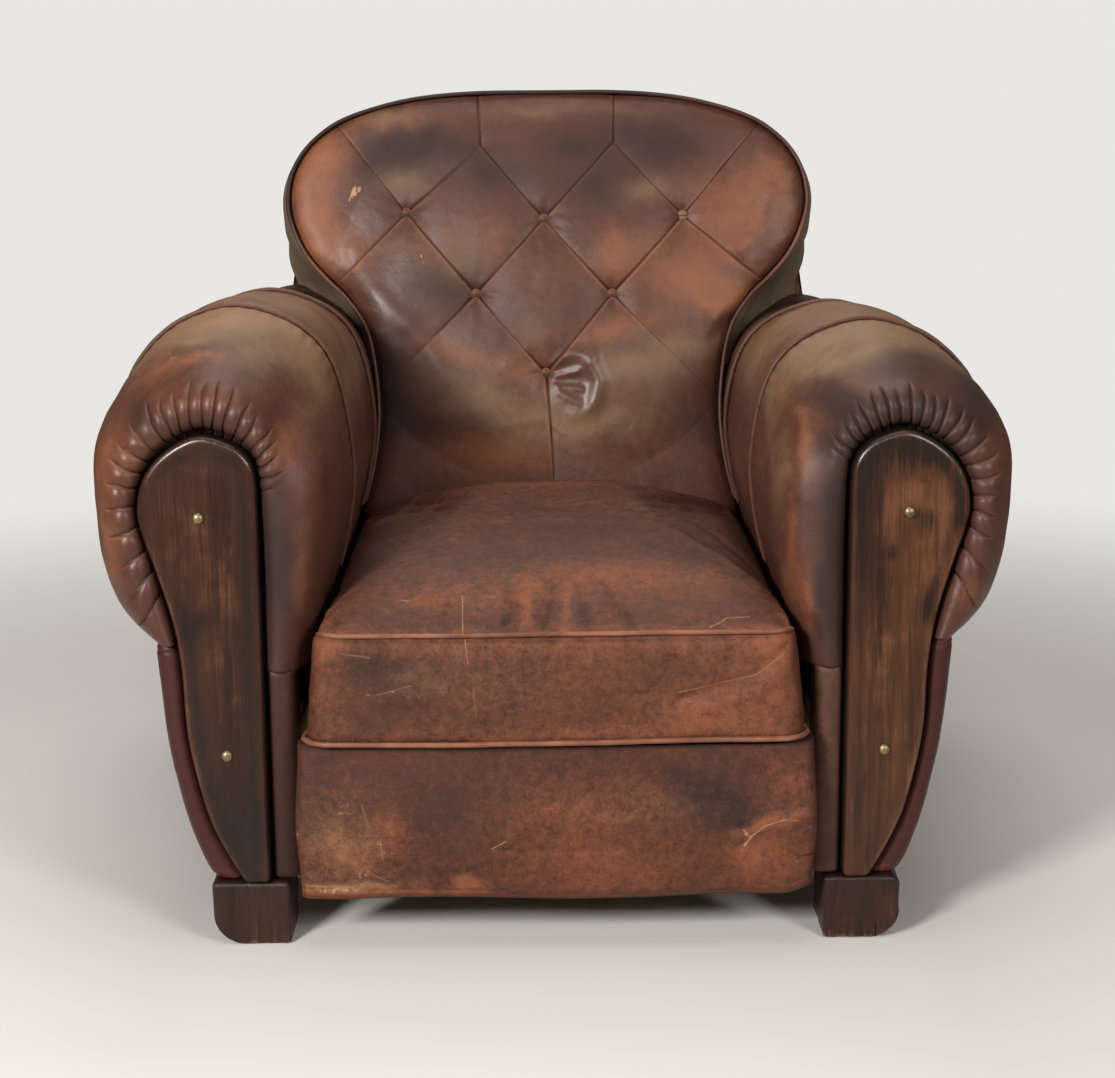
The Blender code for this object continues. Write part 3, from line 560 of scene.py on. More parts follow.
class Value:
    """A number or colour that a node gives out, for use in expressions."""

    def __init__(self, book: "Recipe", socket: bpy.types.NodeSocket) -> None:
        """Keeps the socket and the recipe that it belongs to."""
        self.book = book
        self.socket = socket

    def math(self, operation: str, *values: "Value | float") -> "Value":
        """Result of a Math node on the given values."""
        return self.book.node("ShaderNodeMath", {"operation": operation}, dict(enumerate(values)))

    __add__, __radd__ = operator_for("ADD"), operator_for("ADD", swapped=True)
    __sub__, __rsub__ = operator_for("SUBTRACT"), operator_for("SUBTRACT", swapped=True)
    __mul__, __rmul__ = operator_for("MULTIPLY"), operator_for("MULTIPLY", swapped=True)
    __truediv__, __pow__ = operator_for("DIVIDE"), operator_for("POWER")

    def step(self, low: float, high: float) -> "Value":
        """Smooth rise from 0 at low to 1 at high.

        Args:
            low: value at which the rise starts.
            high: value at which it ends; less than low for a fall.

        Returns:
            The rise, from 0 to 1.
        """
        settings = {"interpolation_type": "SMOOTHSTEP"}
        if low > high:
            rise = self.book.node("ShaderNodeMapRange", settings, {"Value": self, "From Min": high, "From Max": low})
            return 1 - rise
        return self.book.node("ShaderNodeMapRange", settings, {"Value": self, "From Min": low, "From Max": high})


class Recipe:
    """A material written as expressions on its nodes."""

    def __init__(self, name: str) -> None:
        """Starts an empty material whose patterns lie on Object coordinates.

        Args:
            name: name of the material.
        """
        self.material = bpy.data.materials.new(name)
        self.material.use_nodes = True
        self.tree = self.material.node_tree
        self.tree.nodes.clear()
        self.place = self.node("ShaderNodeTexCoord", output="Object")

    def node(self, kind: str, settings: dict | None = None, inputs: dict | None = None,
             output: str | int = 0) -> Value:
        """Adds one node.

        Args:
            kind: Blender's name of the node type.
            settings: its properties, set before its sockets; "stops" are a ramp's (place, colour) pairs.
            inputs: values or links of its sockets, by name or number.
            output: name or number of the socket to hand back.

        Returns:
            The asked output.
        """
        node = self.tree.nodes.new(kind)
        for key, value in (settings or {}).items():
            if key == "stops":
                ramp = node.color_ramp.elements
                while len(ramp) < len(value):
                    ramp.new(0.5)
                for element, (place, colour) in zip(ramp, value):
                    element.position = place
                    element.color = (*colour, 1.0)
            else:
                setattr(node, key, value)
        for key, value in (inputs or {}).items():
            if isinstance(value, Value):
                self.tree.links.new(value.socket, node.inputs[key])
            else:
                node.inputs[key].default_value = value
        return Value(self, node.outputs[output])

    def mix(self, share: "Value | float", first: "Value | Colour", second: "Value | Colour",
            blend: str = "MIX") -> Value:
        """Mix of two colours; share is that of the second."""
        pair = [c if isinstance(c, Value) else (*c, 1.0) for c in (first, second)]
        return self.node("ShaderNodeMix", {"data_type": "RGBA", "blend_type": blend, "clamp_factor": True},
                         {0: share, 6: pair[0], 7: pair[1]}, output=2)

    def stretched(self, scale: tuple[float, float, float],
                  turn: tuple[float, float, float] = (0.0, 0.0, 0.0)) -> Value:
        """Object coordinates, turned by degrees and then scaled along each axis."""
        return self.node("ShaderNodeMapping", {"vector_type": "POINT"},
                         {"Vector": self.place, "Scale": scale, "Rotation": tuple(map(math.radians, turn))})

    def noise(self, scale: float, detail: float = 3.0, rough: float = 0.55, warp: float = 0.0,
              place: Value | None = None) -> Value:
        """Noise from 0 to 1 with scale features to the metre."""
        return self.node("ShaderNodeTexNoise", None,
                         {"Vector": place or self.place, "Scale": scale, "Detail": detail, "Roughness": rough,
                          "Distortion": warp})

    def cells(self, scale: float, feature: str = "DISTANCE_TO_EDGE", place: Value | None = None) -> Value:
        """Cell pattern: distance to the nearest edge, or to the nearest middle for F1."""
        return self.node("ShaderNodeTexVoronoi", {"feature": feature},
                         {"Vector": place or self.place, "Scale": scale}, output="Distance")

    def layer(self, name: str) -> tuple[Value, Value, Value]:
        """The three channels of a colour attribute."""
        colour = self.node("ShaderNodeAttribute", {"attribute_name": name}, output="Color")
        split = [self.node("ShaderNodeSeparateColor", None, {"Color": colour}, output=k) for k in range(3)]
        return split[0], split[1], split[2]

    def scratch(self, axis: int, start: Plane, end: Plane, width: float, ragged: Value | float = 0.0) -> Value:
        """Thin line seen along an axis (1 from the front, 2 from above): 1 on the line, 0 beyond its width.

        Args:
            axis: axis that it is seen along: 1 from the front, 2 from above.
            start: its first end, in the two other axes.
            end: its last end.
            width: half of its width.
            ragged: unevenness of its edges.

        Returns:
            1 on the line, 0 beyond its width.
        """
        kept = [float(k != axis) for k in range(3)]
        start, end = ([p[0], p[1] * kept[1], p[1] * kept[2]] for p in (start, end))
        span = [b - a for a, b in zip(start, end)]
        square = sum(s * s for s in span)
        flat = self.node("ShaderNodeVectorMath", {"operation": "MULTIPLY"}, {0: self.place, 1: kept})
        away = self.node("ShaderNodeVectorMath", {"operation": "SUBTRACT"}, {0: flat, 1: start})
        along = self.node("ShaderNodeVectorMath", {"operation": "DOT_PRODUCT"}, {0: away, 1: span},
                          output="Value")
        share = self.node("ShaderNodeClamp", None, {"Value": along / square})
        foot = self.node("ShaderNodeVectorMath", {"operation": "SCALE"}, {0: span, "Scale": share})
        gap = self.node("ShaderNodeVectorMath", {"operation": "DISTANCE"}, {0: away, 1: foot}, output="Value")
        return (gap + ragged).step(width, width * 0.25)

    def bump(self, height: Value, distance: float, below: Value | None = None, strength: float = 1.0) -> Value:
        """Normal with a relief of the given depth, on top of another one if given.

        Args:
            height: the relief.
            distance: its depth.
            below: normal that it lies on.
            strength: share of it that shows.

        Returns:
            The normal.
        """
        inputs = {"Height": height, "Distance": distance, "Strength": strength}
        if below is not None:
            inputs["Normal"] = below
        return self.node("ShaderNodeBump", None, inputs)

    def finish(self, constants: dict, **varying: Value) -> bpy.types.Material:
        """Closes the material with one surface shader.

        Args:
            constants: plain values of the shader's sockets.
            **varying: links, by socket name with underscores for spaces.

        Returns:
            The finished material.
        """
        inputs = {**constants, **{key.replace("_", " "): value for key, value in varying.items()}}
        shader = self.node("ShaderNodeBsdfPrincipled", None, inputs)
        self.node_out(shader)
        return self.material

    def node_out(self, shader: Value) -> None:
        """Links a shader to the material's surface."""
        out = self.tree.nodes.new("ShaderNodeOutputMaterial")
        self.tree.links.new(shader.socket, out.inputs["Surface"])


# ---------------------------------------------------------------- finishes

LEATHER_DARK = (0.017, 0.0082, 0.0066)
LEATHER_BODY = (0.072, 0.0260, 0.0165)
LEATHER_WORN = (0.190, 0.068, 0.030)
LEATHER_DUST = (0.205, 0.130, 0.074)
LEATHER_RAW = (0.40, 0.23, 0.13)
LEATHER_SCRATCH = (0.30, 0.17, 0.10)


@dataclass(frozen=True)
class Leather:
    """Waxed cowhide: dyed, rubbed through where it is touched, dusty where it isn't."""

    name: str
    dark: Colour = LEATHER_DARK
    body: Colour = LEATHER_BODY
    worn: Colour = LEATHER_WORN
    dust: Colour = LEATHER_DUST
    polish: float = 0.42        # roughness of clean leather
    grain: float = 1.0          # strength of its relief
    cloud: float = 0.35         # how much the dye varies by itself
    fleck: float = 1.0          # and how much in small spots
    rub: float = 0.0            # wear all over
    scratches: tuple[tuple[int, Plane, Plane, float, float], ...] = ()

    def make(self) -> bpy.types.Material:
        """Builds the material.

        Returns:
            A material that reads the attributes "tone" and "form".
        """
        r = Recipe(self.name)
        worn, dark, dust = r.layer("tone")
        fold, gloss, scuff = r.layer("form")
        cloud = r.noise(6.0, 2.0, 0.5, 0.3)
        blotch = r.noise(21.0, 3.0, 0.5, 0.4)
        mottle = r.noise(110.0, 5.0, 0.68, 0.4)
        speck = r.noise(430.0, 3.0, 0.65)
        grit = (mottle - 0.5) * (0.7 * self.fleck) + (speck - 0.5) * (0.45 * self.fleck)
        soft = (cloud - 0.5) * 0.6 + (blotch - 0.5) * 0.4
        colour = r.mix(soft * (2.0 * self.cloud) + grit * 0.5 + 0.78, self.dark, self.body)
        age = dark * (0.55 + blotch * 0.7) + soft * 0.25 + grit * 0.3
        colour = r.mix(age.step(0.02, 1.05) * 0.90, colour, self.dark)
        rubbed = worn * (0.5 + blotch * 0.8) + self.rub + soft * 0.35 + grit * 0.5
        colour = r.mix(rubbed.step(0.04, 1.20) * 0.95, colour, self.worn)
        bloom = dust * (0.5 + blotch * 0.8) + grit * 0.25
        colour = r.mix(bloom.step(0.05, 1.25) * 0.75, colour, self.dust)
        colour = r.mix(grit.step(0.0, 0.40) * 0.30, colour, r.mix(1.0, colour, (1.6, 1.5, 1.45), "MULTIPLY"))
        colour = r.mix(grit.step(0.0, -0.40) * 0.50, colour, r.mix(1.0, colour, (0.50, 0.46, 0.46), "MULTIPLY"))
        # Near black where "form" red is set: grime in folds and seams, and painted shade in recesses, gaps and creases.
        colour = r.mix(fold.step(0.05, 0.95) * 0.85, colour, (0.008, 0.005, 0.004))
        # Pale raw leather where scuffed; some scuff marks are painted highlights on lit edges.
        bare = (scuff * (0.45 + mottle * 1.1) + grit * 0.8).step(0.35, 0.9)
        colour = r.mix(bare * 0.85, colour, LEATHER_RAW)
        for axis, start, end, width, amount in self.scratches:
            colour = r.mix(r.scratch(axis, start, end, width, grit * width * 1.8) * amount, colour, LEATHER_SCRATCH)
        rough = (self.polish - gloss * 0.13 + (blotch - 0.5) * 0.14 + bloom.step(0.1, 1.0) * 0.12
                 + rubbed.step(0.3, 1.1) * 0.08 + dark * 0.20 + grit * 0.12 + fold * 0.25 + bare * 0.25)
        pebble = r.cells(700.0).step(0.0, 0.32)
        relief = pebble * 0.30 + speck * 0.5 + r.noise(1100.0, 2.0, 0.6) * 0.3
        normal = r.bump(relief, 0.00016 * self.grain)
        normal = r.bump(mottle, 0.0006 * self.grain, normal, 0.6)
        return r.finish({"Specular IOR Level": 0.25, "Coat Roughness": 0.32, "Coat IOR": 1.4},
                        Base_Color=colour, Roughness=rough, Coat_Weight=gloss * 0.18, Normal=normal)


@dataclass(frozen=True)
class Timber:
    """Stained and varnished wood with upright grain."""

    name: str
    dark: Colour
    light: Colour
    rubbed: Colour
    polish: float = 0.36
    streaks: float = 0.5        # strength of the dark streaks
    relief: float = 1.0

    def make(self) -> bpy.types.Material:
        """Builds the material.

        Returns:
            A material that reads the attributes "tone" and "form".
        """
        r = Recipe(self.name)
        worn, dark, _ = r.layer("tone")
        fold, gloss, scuff = r.layer("form")
        board = r.stretched((1.0, 1.0, 0.055))
        pores = r.stretched((1.0, 1.0, 0.022))
        cloud = r.noise(24.0, 4.0, 0.6, 0.8, board)
        streak = r.noise(150.0, 5.0, 0.65, 0.5, board)
        pore = r.noise(1500.0, 3.0, 0.6, 0.0, pores)
        blotch = r.noise(38.0, 4.0, 0.6, 0.5)
        tone = cloud * 0.5 + streak * 0.35 + pore * 0.3
        colour = r.mix(tone.step(0.35, 0.80), self.dark, self.light)
        fibre = r.noise(420.0, 4.0, 0.7, 0.3, r.stretched((1.0, 1.0, 0.03)))
        rubbed = worn * 0.9 + (streak - 0.5) * 1.6 + (blotch - 0.5) * 1.2 + (fibre - 0.5) * 1.2
        colour = r.mix(rubbed.step(0.15, 1.15), colour, self.rubbed)
        black = (dark + (streak - 0.5) * (1.2 * self.streaks) + (cloud - 0.5) * 0.6 + (pore - 0.5) * 0.5
                 + (fibre - 0.5) * (1.4 * self.streaks))
        colour = r.mix(black.step(0.25, 0.95) * 0.9, colour, (0.008, 0.0055, 0.0045))
        colour = r.mix(pore.step(0.60, 0.72) * 0.55, colour, (0.010, 0.006, 0.004))
        # Near black where "form" red is set: painted shade on the boards' sides, and dark rings round the domes.
        colour = r.mix((fold + (blotch - 0.5) * 0.3).step(0.2, 0.9) * 0.9, colour, (0.007, 0.005, 0.004))
        # Pale bare wood where scuffed; on the boards' top edges this is a painted highlight.
        bare = scuff + (streak - 0.5) * 0.9 + (pore - 0.5) * 0.4
        colour = r.mix(bare.step(0.35, 0.80) * 0.75, colour, (0.30, 0.17, 0.10))
        rough = (self.polish - gloss * 0.12 + (blotch - 0.5) * 0.18 + (pore - 0.5) * 0.16
                 + worn.step(0.3, 1.0) * 0.10 + bare.step(0.35, 0.8) * 0.2)
        normal = r.bump(pore * 0.6 + streak * 0.7, 0.00035 * self.relief)
        normal = r.bump(cloud + blotch * 0.3, 0.0012 * self.relief, normal, 0.35)
        return r.finish({"Specular IOR Level": 0.22, "Coat Roughness": 0.25},
                        Base_Color=colour, Roughness=rough, Coat_Weight=0.05 + gloss * 0.4, Normal=normal)


@dataclass(frozen=True)
class PlainFinish:
    """Finish of a hidden piece: timber, webbing, pad or wire, from its own coordinates."""

    name: str
    first: Colour
    second: Colour
    scale: float
    stretch: tuple[float, float, float] = (1.0, 1.0, 1.0)
    rough: float = 0.7
    metal: float = 0.0
    relief: float = 0.0004
    weave: bool = False

    def make(self) -> bpy.types.Material:
        """Builds the material."""
        r = Recipe(self.name)
        grain = r.noise(self.scale, 4.0, 0.6, 0.3, r.stretched(self.stretch))
        cloud = r.noise(self.scale * 0.12, 3.0, 0.5)
        height = grain
        if self.weave:
            wave = {"wave_type": "BANDS", "wave_profile": "SIN"}
            warp = r.node("ShaderNodeTexWave", {**wave, "bands_direction": "X"},
                          {"Vector": r.place, "Scale": 260.0, "Distortion": 0.6}, output="Fac")
            weft = r.node("ShaderNodeTexWave", {**wave, "bands_direction": "Y"},
                          {"Vector": r.place, "Scale": 260.0, "Distortion": 0.6}, output="Fac")
            height = warp * 0.5 + weft * 0.5 + grain * 0.3
        colour = r.mix((grain * 0.6 + cloud * 0.5).step(0.3, 0.8), self.first, self.second)
        colour = r.mix(height.step(0.45, 0.15) * 0.5, colour, tuple(c * 0.3 for c in self.first))
        return r.finish({"Metallic": self.metal, "Specular IOR Level": 0.4}, Base_Color=colour,
                        Roughness=(grain - 0.5) * 0.25 + self.rough, Normal=r.bump(height, self.relief))


def dress(piece: bpy.types.Object, material: bpy.types.Material, slot: str, *nodes: str) -> bpy.types.Object:
    """Gives a finished piece its material and body, and hides the CAD nodes that it stands for.

    Args:
        piece: the piece.
        material: its material.
        slot: slot of the record that it belongs to; not used.
        *nodes: CAD nodes that it replaces.

    Returns:
        The same piece.
    """
    piece.data.materials.clear()
    piece.data.materials.append(material)
    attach(piece, "root")
    if nodes:
        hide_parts(*nodes)
    LOG.info("%s: %d faces", piece.name, len(piece.data.polygons))
    return piece


# ---------------------------------------------------------------- the back

@dataclass
class Back:
    """Balloon-shaped tufted back: pad, buttons, cord, side band and outer panel."""

    low_y: float = 0.125            # front of the pad behind the seat
    recline_from: float = 0.36
    recline: float = 0.255
    swell: float = 0.024            # how far the middle stands forward
    cord_radius: float = 0.0024
    button_size: tuple[float, float, float] = (0.0068, 0.0068, 0.0040)
    across: int = 290               # columns and rows of the pad's mesh
    upright: int = 280
    rear_y: float = 0.385
    shoulder: float = 0.336
    crest_fall: float = 0.0065
    side: tuple[Plane, ...] = (
        (0.240, 0.2155), (0.234, 0.275), (0.2240, 0.335), (0.2110, 0.388), (0.2045, 0.446), (0.2090, 0.505),
        (0.2200, 0.550), (0.2420, 0.583), (0.2660, 0.606), (0.2890, 0.632), (0.3040, 0.660),
        (0.3125, 0.692), (0.3090, 0.725), (0.2960, 0.752))
    crest: tuple[Plane, ...] = (
        (0.2960, 0.752), (0.2740, 0.775), (0.2450, 0.793), (0.2000, 0.808), (0.1500, 0.818),
        (0.0850, 0.8232), (0.0, 0.8237))
    buttons: tuple[tuple[str, float, float], ...] = (
        ("top_left", -0.170, 0.683), ("top_middle", -0.005, 0.676), ("top_right", 0.162, 0.678),
        ("middle_left", -0.087, 0.589), ("middle_right", 0.076, 0.588), ("lower", -0.004, 0.496))
    joins: tuple[Plane, ...] = ((-0.080, 0.761), (0.079, 0.764))

    def face(self, z: np.ndarray) -> np.ndarray:
        """Depth of the pad's edge at a height."""
        over = z - self.recline_from
        return self.low_y + self.recline * (0.5 * over + 0.5 * np.sqrt(over * over + 0.0004))

    def half_outline(self) -> np.ndarray:
        """Right-hand outline from the seat up to the middle of the crest, finely spaced."""
        return spline(self.side + self.crest[1:], 420)

    def pleats(self) -> list[tuple[Plane, Plane, float, float, float]]:
        """Sewn folds between buttons, each as start, end, depth at both ends and side of the lap."""
        spot = {name: (x, z) for name, x, z in self.buttons}
        left, right = self.joins
        full, none = 1.0, 0.0
        return [
            (left, spot["top_left"], 0.25, full, 1), (left, spot["top_middle"], 0.8, full, -1),
            (right, spot["top_middle"], 0.8, full, 1), (right, spot["top_right"], 0.5, full, -1),
            (spot["top_left"], spot["middle_left"], full, full, -1),
            (spot["top_middle"], spot["middle_left"], full, full, 1),
            (spot["top_middle"], spot["middle_right"], full, full, -1),
            (spot["top_right"], spot["middle_right"], full, full, 1),
            (spot["middle_left"], spot["lower"], full, full, -1),
            (spot["middle_right"], spot["lower"], 0.7, full, 1),
            (left, (-0.083, 0.830), 0.7, full, -1), (right, (0.081, 0.830), 0.7, full, 1),
            (spot["top_left"], (-0.262, 0.797), full, 0.6, -1), (spot["top_left"], (-0.268, 0.588), full, 0.8, 1),
            (spot["top_right"], (0.268, 0.800), full, 0.7, 1), (spot["top_right"], (0.266, 0.594), full, 0.9, -1),
            (spot["middle_left"], (-0.190, 0.488), full, none, 1),
            (spot["middle_right"], (0.222, 0.445), full, 0.5, -1),
            (spot["lower"], (0.001, 0.430), full, 0.9, -1), ((0.001, 0.430), (0.007, 0.330), 0.9, 0.5, -1),
        ]

    def ridges(self) -> Sequence[tuple[float, ...]]:
        """Puckers that use has left, as relief() takes them."""
        return (
            (-3, 16, 20, 488, 36, 484), (2.6, 8, 4, 508, 26, 520, 52, 518), (4, 9.5, 50, 508, 60, 488, 54, 464),
            (1.8, 4.5, 6, 492, 34, 499), (1.7, 4.5, 10, 482, 38, 478), (1.6, 4.5, 12, 474, 34, 462),
            (2.2, 9, 48, 452, 28, 446), (1.6, 9, -30, 520, -50, 508), (1.2, 3.5, 6, 432, 16, 426),
            (1, 7, -52, 436, -10, 442), (1.4, 14, -105, 745, -60, 752), (2.8, 13, 230, 640, 262, 668, 272, 700),
            (2.2, 10, 200, 560, 236, 585), (-1.8, 8, 196, 535, 224, 556),
            (2.6, 14, -236, 640, -214, 598, -178, 560), (2.2, 12, -165, 552, -140, 520, -122, 490))

    def lie(self, x: np.ndarray, z: np.ndarray, rim: np.ndarray) -> tuple[np.ndarray, ...]:
        """How the leather lies over the filling.

        Args:
            x: places across.
            z: heights.
            rim: distance of each place from the pad's outline.

        Returns:
            Height over the pad's edge plane, grime and painted shade in the folds, distance from a button, and lit
            edges of laps.
        """
        shape = x.shape
        x, z, rim = x.ravel(), z.ravel(), rim.ravel()
        places = np.column_stack([x, np.zeros_like(x), z])
        reach = np.hypot(x / 0.25, (z - 0.60) / 0.235)
        height = self.swell * (1 - np.clip(reach, 0, 1) ** 2) * smoothstep(0.31, 0.47, z)
        near = np.full(len(x), 0.5)
        fold = np.zeros(len(x))
        dip = np.zeros(len(x))
        lap = np.zeros(len(x))
        crest = np.zeros(len(x))
        for start, end, first, last, side in self.pleats():
            gap, left, share = segment_distance(x, z, start, end)
            gap = np.abs(gap + soft_noise(places, 0.05, 5) * 0.0009)
            depth = first + (last - first) * share
            depth = depth * (1 - 0.25 * np.sin(np.pi * share))
            near = np.minimum(near, gap + 0.03 * (1 - depth))
            dip = np.maximum(dip, depth * bell(gap, 0.0011))
            lap += side * depth * 0.0010 * np.tanh(left / 0.0005) * np.exp(-gap / 0.0045)
            fold = np.maximum(fold, depth * bell(gap + 0.0006 * np.sign(left * side), 0.0009))
            crest = np.maximum(crest, depth * bell(gap - 0.0018, 0.0011) * (left * side > 0))
        height += 0.0046 * (1 - np.exp(-(near / 0.026) ** 1.2)) - 0.0013 * dip + lap
        studs = np.full(len(x), 1.0)
        for _, bx, bz in self.buttons:
            r = np.hypot(x - bx, z - bz)
            studs = np.minimum(studs, r)
            height -= 0.0036 * bell(r, 0.0100) + 0.0030 * bell(r, 0.026)
            angle = np.arctan2(z - bz, x - bx)
            gather = np.cos(angle * 7 + 1.3 * soft_noise(places, 0.03, 11))
            height += 0.0004 * gather * bell(r - 0.017, 0.010)
        for jx, jz in self.joins:
            r = np.hypot(x - jx, z - jz)
            height -= 0.0018 * bell(r, 0.010) + 0.0012 * bell(r, 0.026)
        height += relief(x, z, self.ridges())
        height += 0.0014 * rolling_noise(places, 0.11, 21) + 0.00035 * rolling_noise(places, 0.020, 23)
        round_off = np.clip(1 - rim / 0.030, 0, 1)
        height -= 0.017 * (1 - np.sqrt(np.clip(1 - round_off ** 2, 0, 1)))
        pucker = np.sin(np.arctan2(z - 0.6, x) * 46 + 3 * soft_noise(places, 0.06, 31))
        height += 0.00055 * pucker * bell(rim - 0.010, 0.009)
        height -= 0.0012 * bell(rim - 0.0045, 0.0024)
        # Painted shade in a thin line just inside the outline, beside the cord.
        fold = np.maximum(fold, 0.8 * bell(rim - 0.0022, 0.0018))
        return tuple(v.reshape(shape) for v in (height, fold, studs, crest))

    def patch(self) -> np.ndarray:
        """Grid of places inside the outline that follows its four sides."""
        half = self.half_outline()
        corner = int(np.argmin(np.linalg.norm(half - np.array(self.crest[0]), axis=1)))
        right = respace(half[:corner + 1], self.upright)
        left = right * [-1, 1]
        top_half = half[corner:]
        top = respace(np.vstack([top_half * [-1, 1], top_half[::-1][1:]]), self.across)
        u = np.linspace(0, 1, self.across)[None, :, None]
        v = np.linspace(0, 1, self.upright)[:, None, None]
        bottom = left[0] + (right[0] - left[0]) * u[0]
        flat = ((1 - v) * bottom[None] + v * top[None] + (1 - u) * left[:, None] + u * right[:, None]
                - (1 - u) * (1 - v) * left[0] - u * (1 - v) * right[0] - (1 - u) * v * left[-1]
                - u * v * right[-1])
        return flat

    def rim_distance(self, x: np.ndarray, z: np.ndarray) -> np.ndarray:
        """Distance of places from the outline."""
        half = self.half_outline()
        half = np.vstack([half[::6], half[-1:]])
        return line_distance(np.abs(x), z, half)

    def near_fold(self, points: np.ndarray) -> np.ndarray:
        """Distance of places (x, z) from the nearest fold."""
        return np.min([segment_distance(points[:, 0], points[:, 1], start, end)[0]
                       for start, end, *_ in self.pleats()], axis=0)

    def make_pad(self) -> bpy.types.Object:
        """The tufted leather pad, a closed form with a flat rear, its mesh finer along the folds."""
        flat = self.patch()
        rows, columns = flat.shape[:2]
        sheet = np.column_stack([flat[..., 0].ravel(), np.zeros(rows * columns), flat[..., 1].ravel()])
        pad = new_mesh("tufted_back", sheet, grid_quads(rows, columns).tolist())
        bm = bmesh.new()
        bm.from_mesh(pad.data)
        for reach in (0.0042, 0.0026):
            bm.verts.ensure_lookup_table()
            points = np.array([v.co for v in bm.verts])[:, [0, 2]]
            close = self.near_fold(points) < reach
            edges = [e for e in bm.edges if close[e.verts[0].index] and close[e.verts[1].index]]
            bmesh.ops.subdivide_edges(bm, edges=edges, cuts=1, use_grid_fill=True)
            bm.verts.index_update()
        points = np.array([v.co for v in bm.verts])
        x, z = points[:, 0], points[:, 2]
        height, fold, studs, crest = self.lie(x, z, self.rim_distance(x, z))
        for vertex, y in zip(bm.verts, self.face(z) - height):
            vertex.co.y = y
        paint = Paintwork(np.column_stack([x, self.face(z) - height, z]))
        for depth in (0.006, 0.014, None):
            border = [e for e in bm.edges if e.is_boundary]
            made = bmesh.ops.extrude_edge_only(bm, edges=border)["geom"]
            for vertex in (v for v in made if isinstance(v, bmesh.types.BMVert)):
                if depth is None:
                    vertex.co = (vertex.co.x * 0.965, self.rear_y - GAP, DECK_Z + (vertex.co.z - DECK_Z) * 0.975)
                else:
                    vertex.co.y = float(self.face(vertex.co.z)) + depth
        bmesh.ops.edgeloop_fill(bm, edges=[e for e in bm.edges if e.is_boundary])
        bmesh.ops.recalc_face_normals(bm, faces=bm.faces[:])
        bm.to_mesh(pad.data)
        bm.free()
        pad.data.shade_smooth()
        paint.places = places_of(pad)
        paint.grow(len(paint.places))
        paint.add(Tone.FOLD, fold)
        paint.add(Tone.FOLD, 0.45 * bell(studs, 0.0092))
        # Painted highlight on the lit edges of the laps, laid as rubbed and scuffed tone.
        paint.add(Tone.WORN, 0.60 * crest)
        paint.add(Tone.SCUFF, 0.20 * crest)
        paint.add(Tone.DARK, 0.08 * smoothstep(0.40, 0.30, z))
        paint.mark(self.marks())
        paint.store(pad)
        return pad

    def marks(self) -> list[Mark | Stroke]:
        """Wear and stains of the pad."""
        return [
            *patches(Tone.WORN, (-285, 680, 28, 85, 1.15), (-262, 755, 35, 35, 0.75), (-245, 650, 40, 60, 0.55),
                     (-150, 640, 50, 30, 0.45), (-190, 790, 50, 14, 0.6), (-65, 655, 50, 30, 0.45),
                     (85, 650, 40, 26, 0.75), (80, 615, 30, 20, 0.4), (225, 680, 55, 50, 0.95),
                     (262, 735, 30, 35, 0.6), (175, 610, 75, 45, 0.65), (285, 700, 18, 40, 0.5),
                     (215, 578, 50, 20, 0.95, -20), (-5, 600, 55, 45, 0.35), (-105, 517, 65, 22, 0.75, -18),
                     (-30, 510, 30, 20, 0.4), (75, 548, 70, 16, 0.75, 8), (-35, 465, 28, 22, 0.55),
                     (-80, 400, 60, 30, 0.8), (60, 400, 150, 50, 0.45)),
            *patches(Tone.DARK, (-160, 765, 60, 30, 1), (-200, 735, 40, 28, 0.8), (-60, 735, 60, 35, 0.75),
                     (130, 770, 70, 34, 0.95), (60, 715, 50, 28, 0.75), (35, 765, 40, 25, 0.5),
                     # The strongest patch low on the left, at (-195, 480), is a painted shadow of the left arm.
                     (-195, 480, 40, 75, 1.2), (-160, 430, 50, 26, 0.5), (185, 430, 60, 30, 0.6),
                     (-30, 520, 30, 14, 0.35), (-125, 605, 50, 40, 0.75), (-20, 560, 50, 40, 0.35)),
            *patches(Tone.DUST, (-175, 720, 40, 20, 0.7), (120, 712, 45, 20, 0.75), (0, 805, 160, 14, 0.55),
                     (-200, 795, 50, 12, 0.65), (-110, 622, 45, 22, 0.55), (75, 625, 30, 15, 0.4),
                     (-85, 463, 80, 30, 1, -25), (110, 500, 70, 35, 0.9), (50, 440, 80, 22, 0.9),
                     (-15, 555, 30, 30, 0.5), (170, 530, 50, 20, 0.4)),
            *patches(Tone.GLOSS, (45, 480, 40, 40, 1.3), (-200, 580, 20, 60, 1, -40), (-250, 640, 30, 60, 0.5, 20),
                     (250, 640, 40, 40, 0.3, -30), (0, 500, 120, 60, 0.15)),
            *patches(Tone.SCUFF, (-232.5, 706.5, 3, 6, 1.05, -25), (-224, 707.5, 3, 4.5, 1, 25),
                     (-229, 700.5, 4.2, 3.6, 0.95), (-234, 696.5, 2, 4, 0.7)),
            *bands(Tone.SCUFF, (1.1, 0.9, -152, 628, -149, 620))]

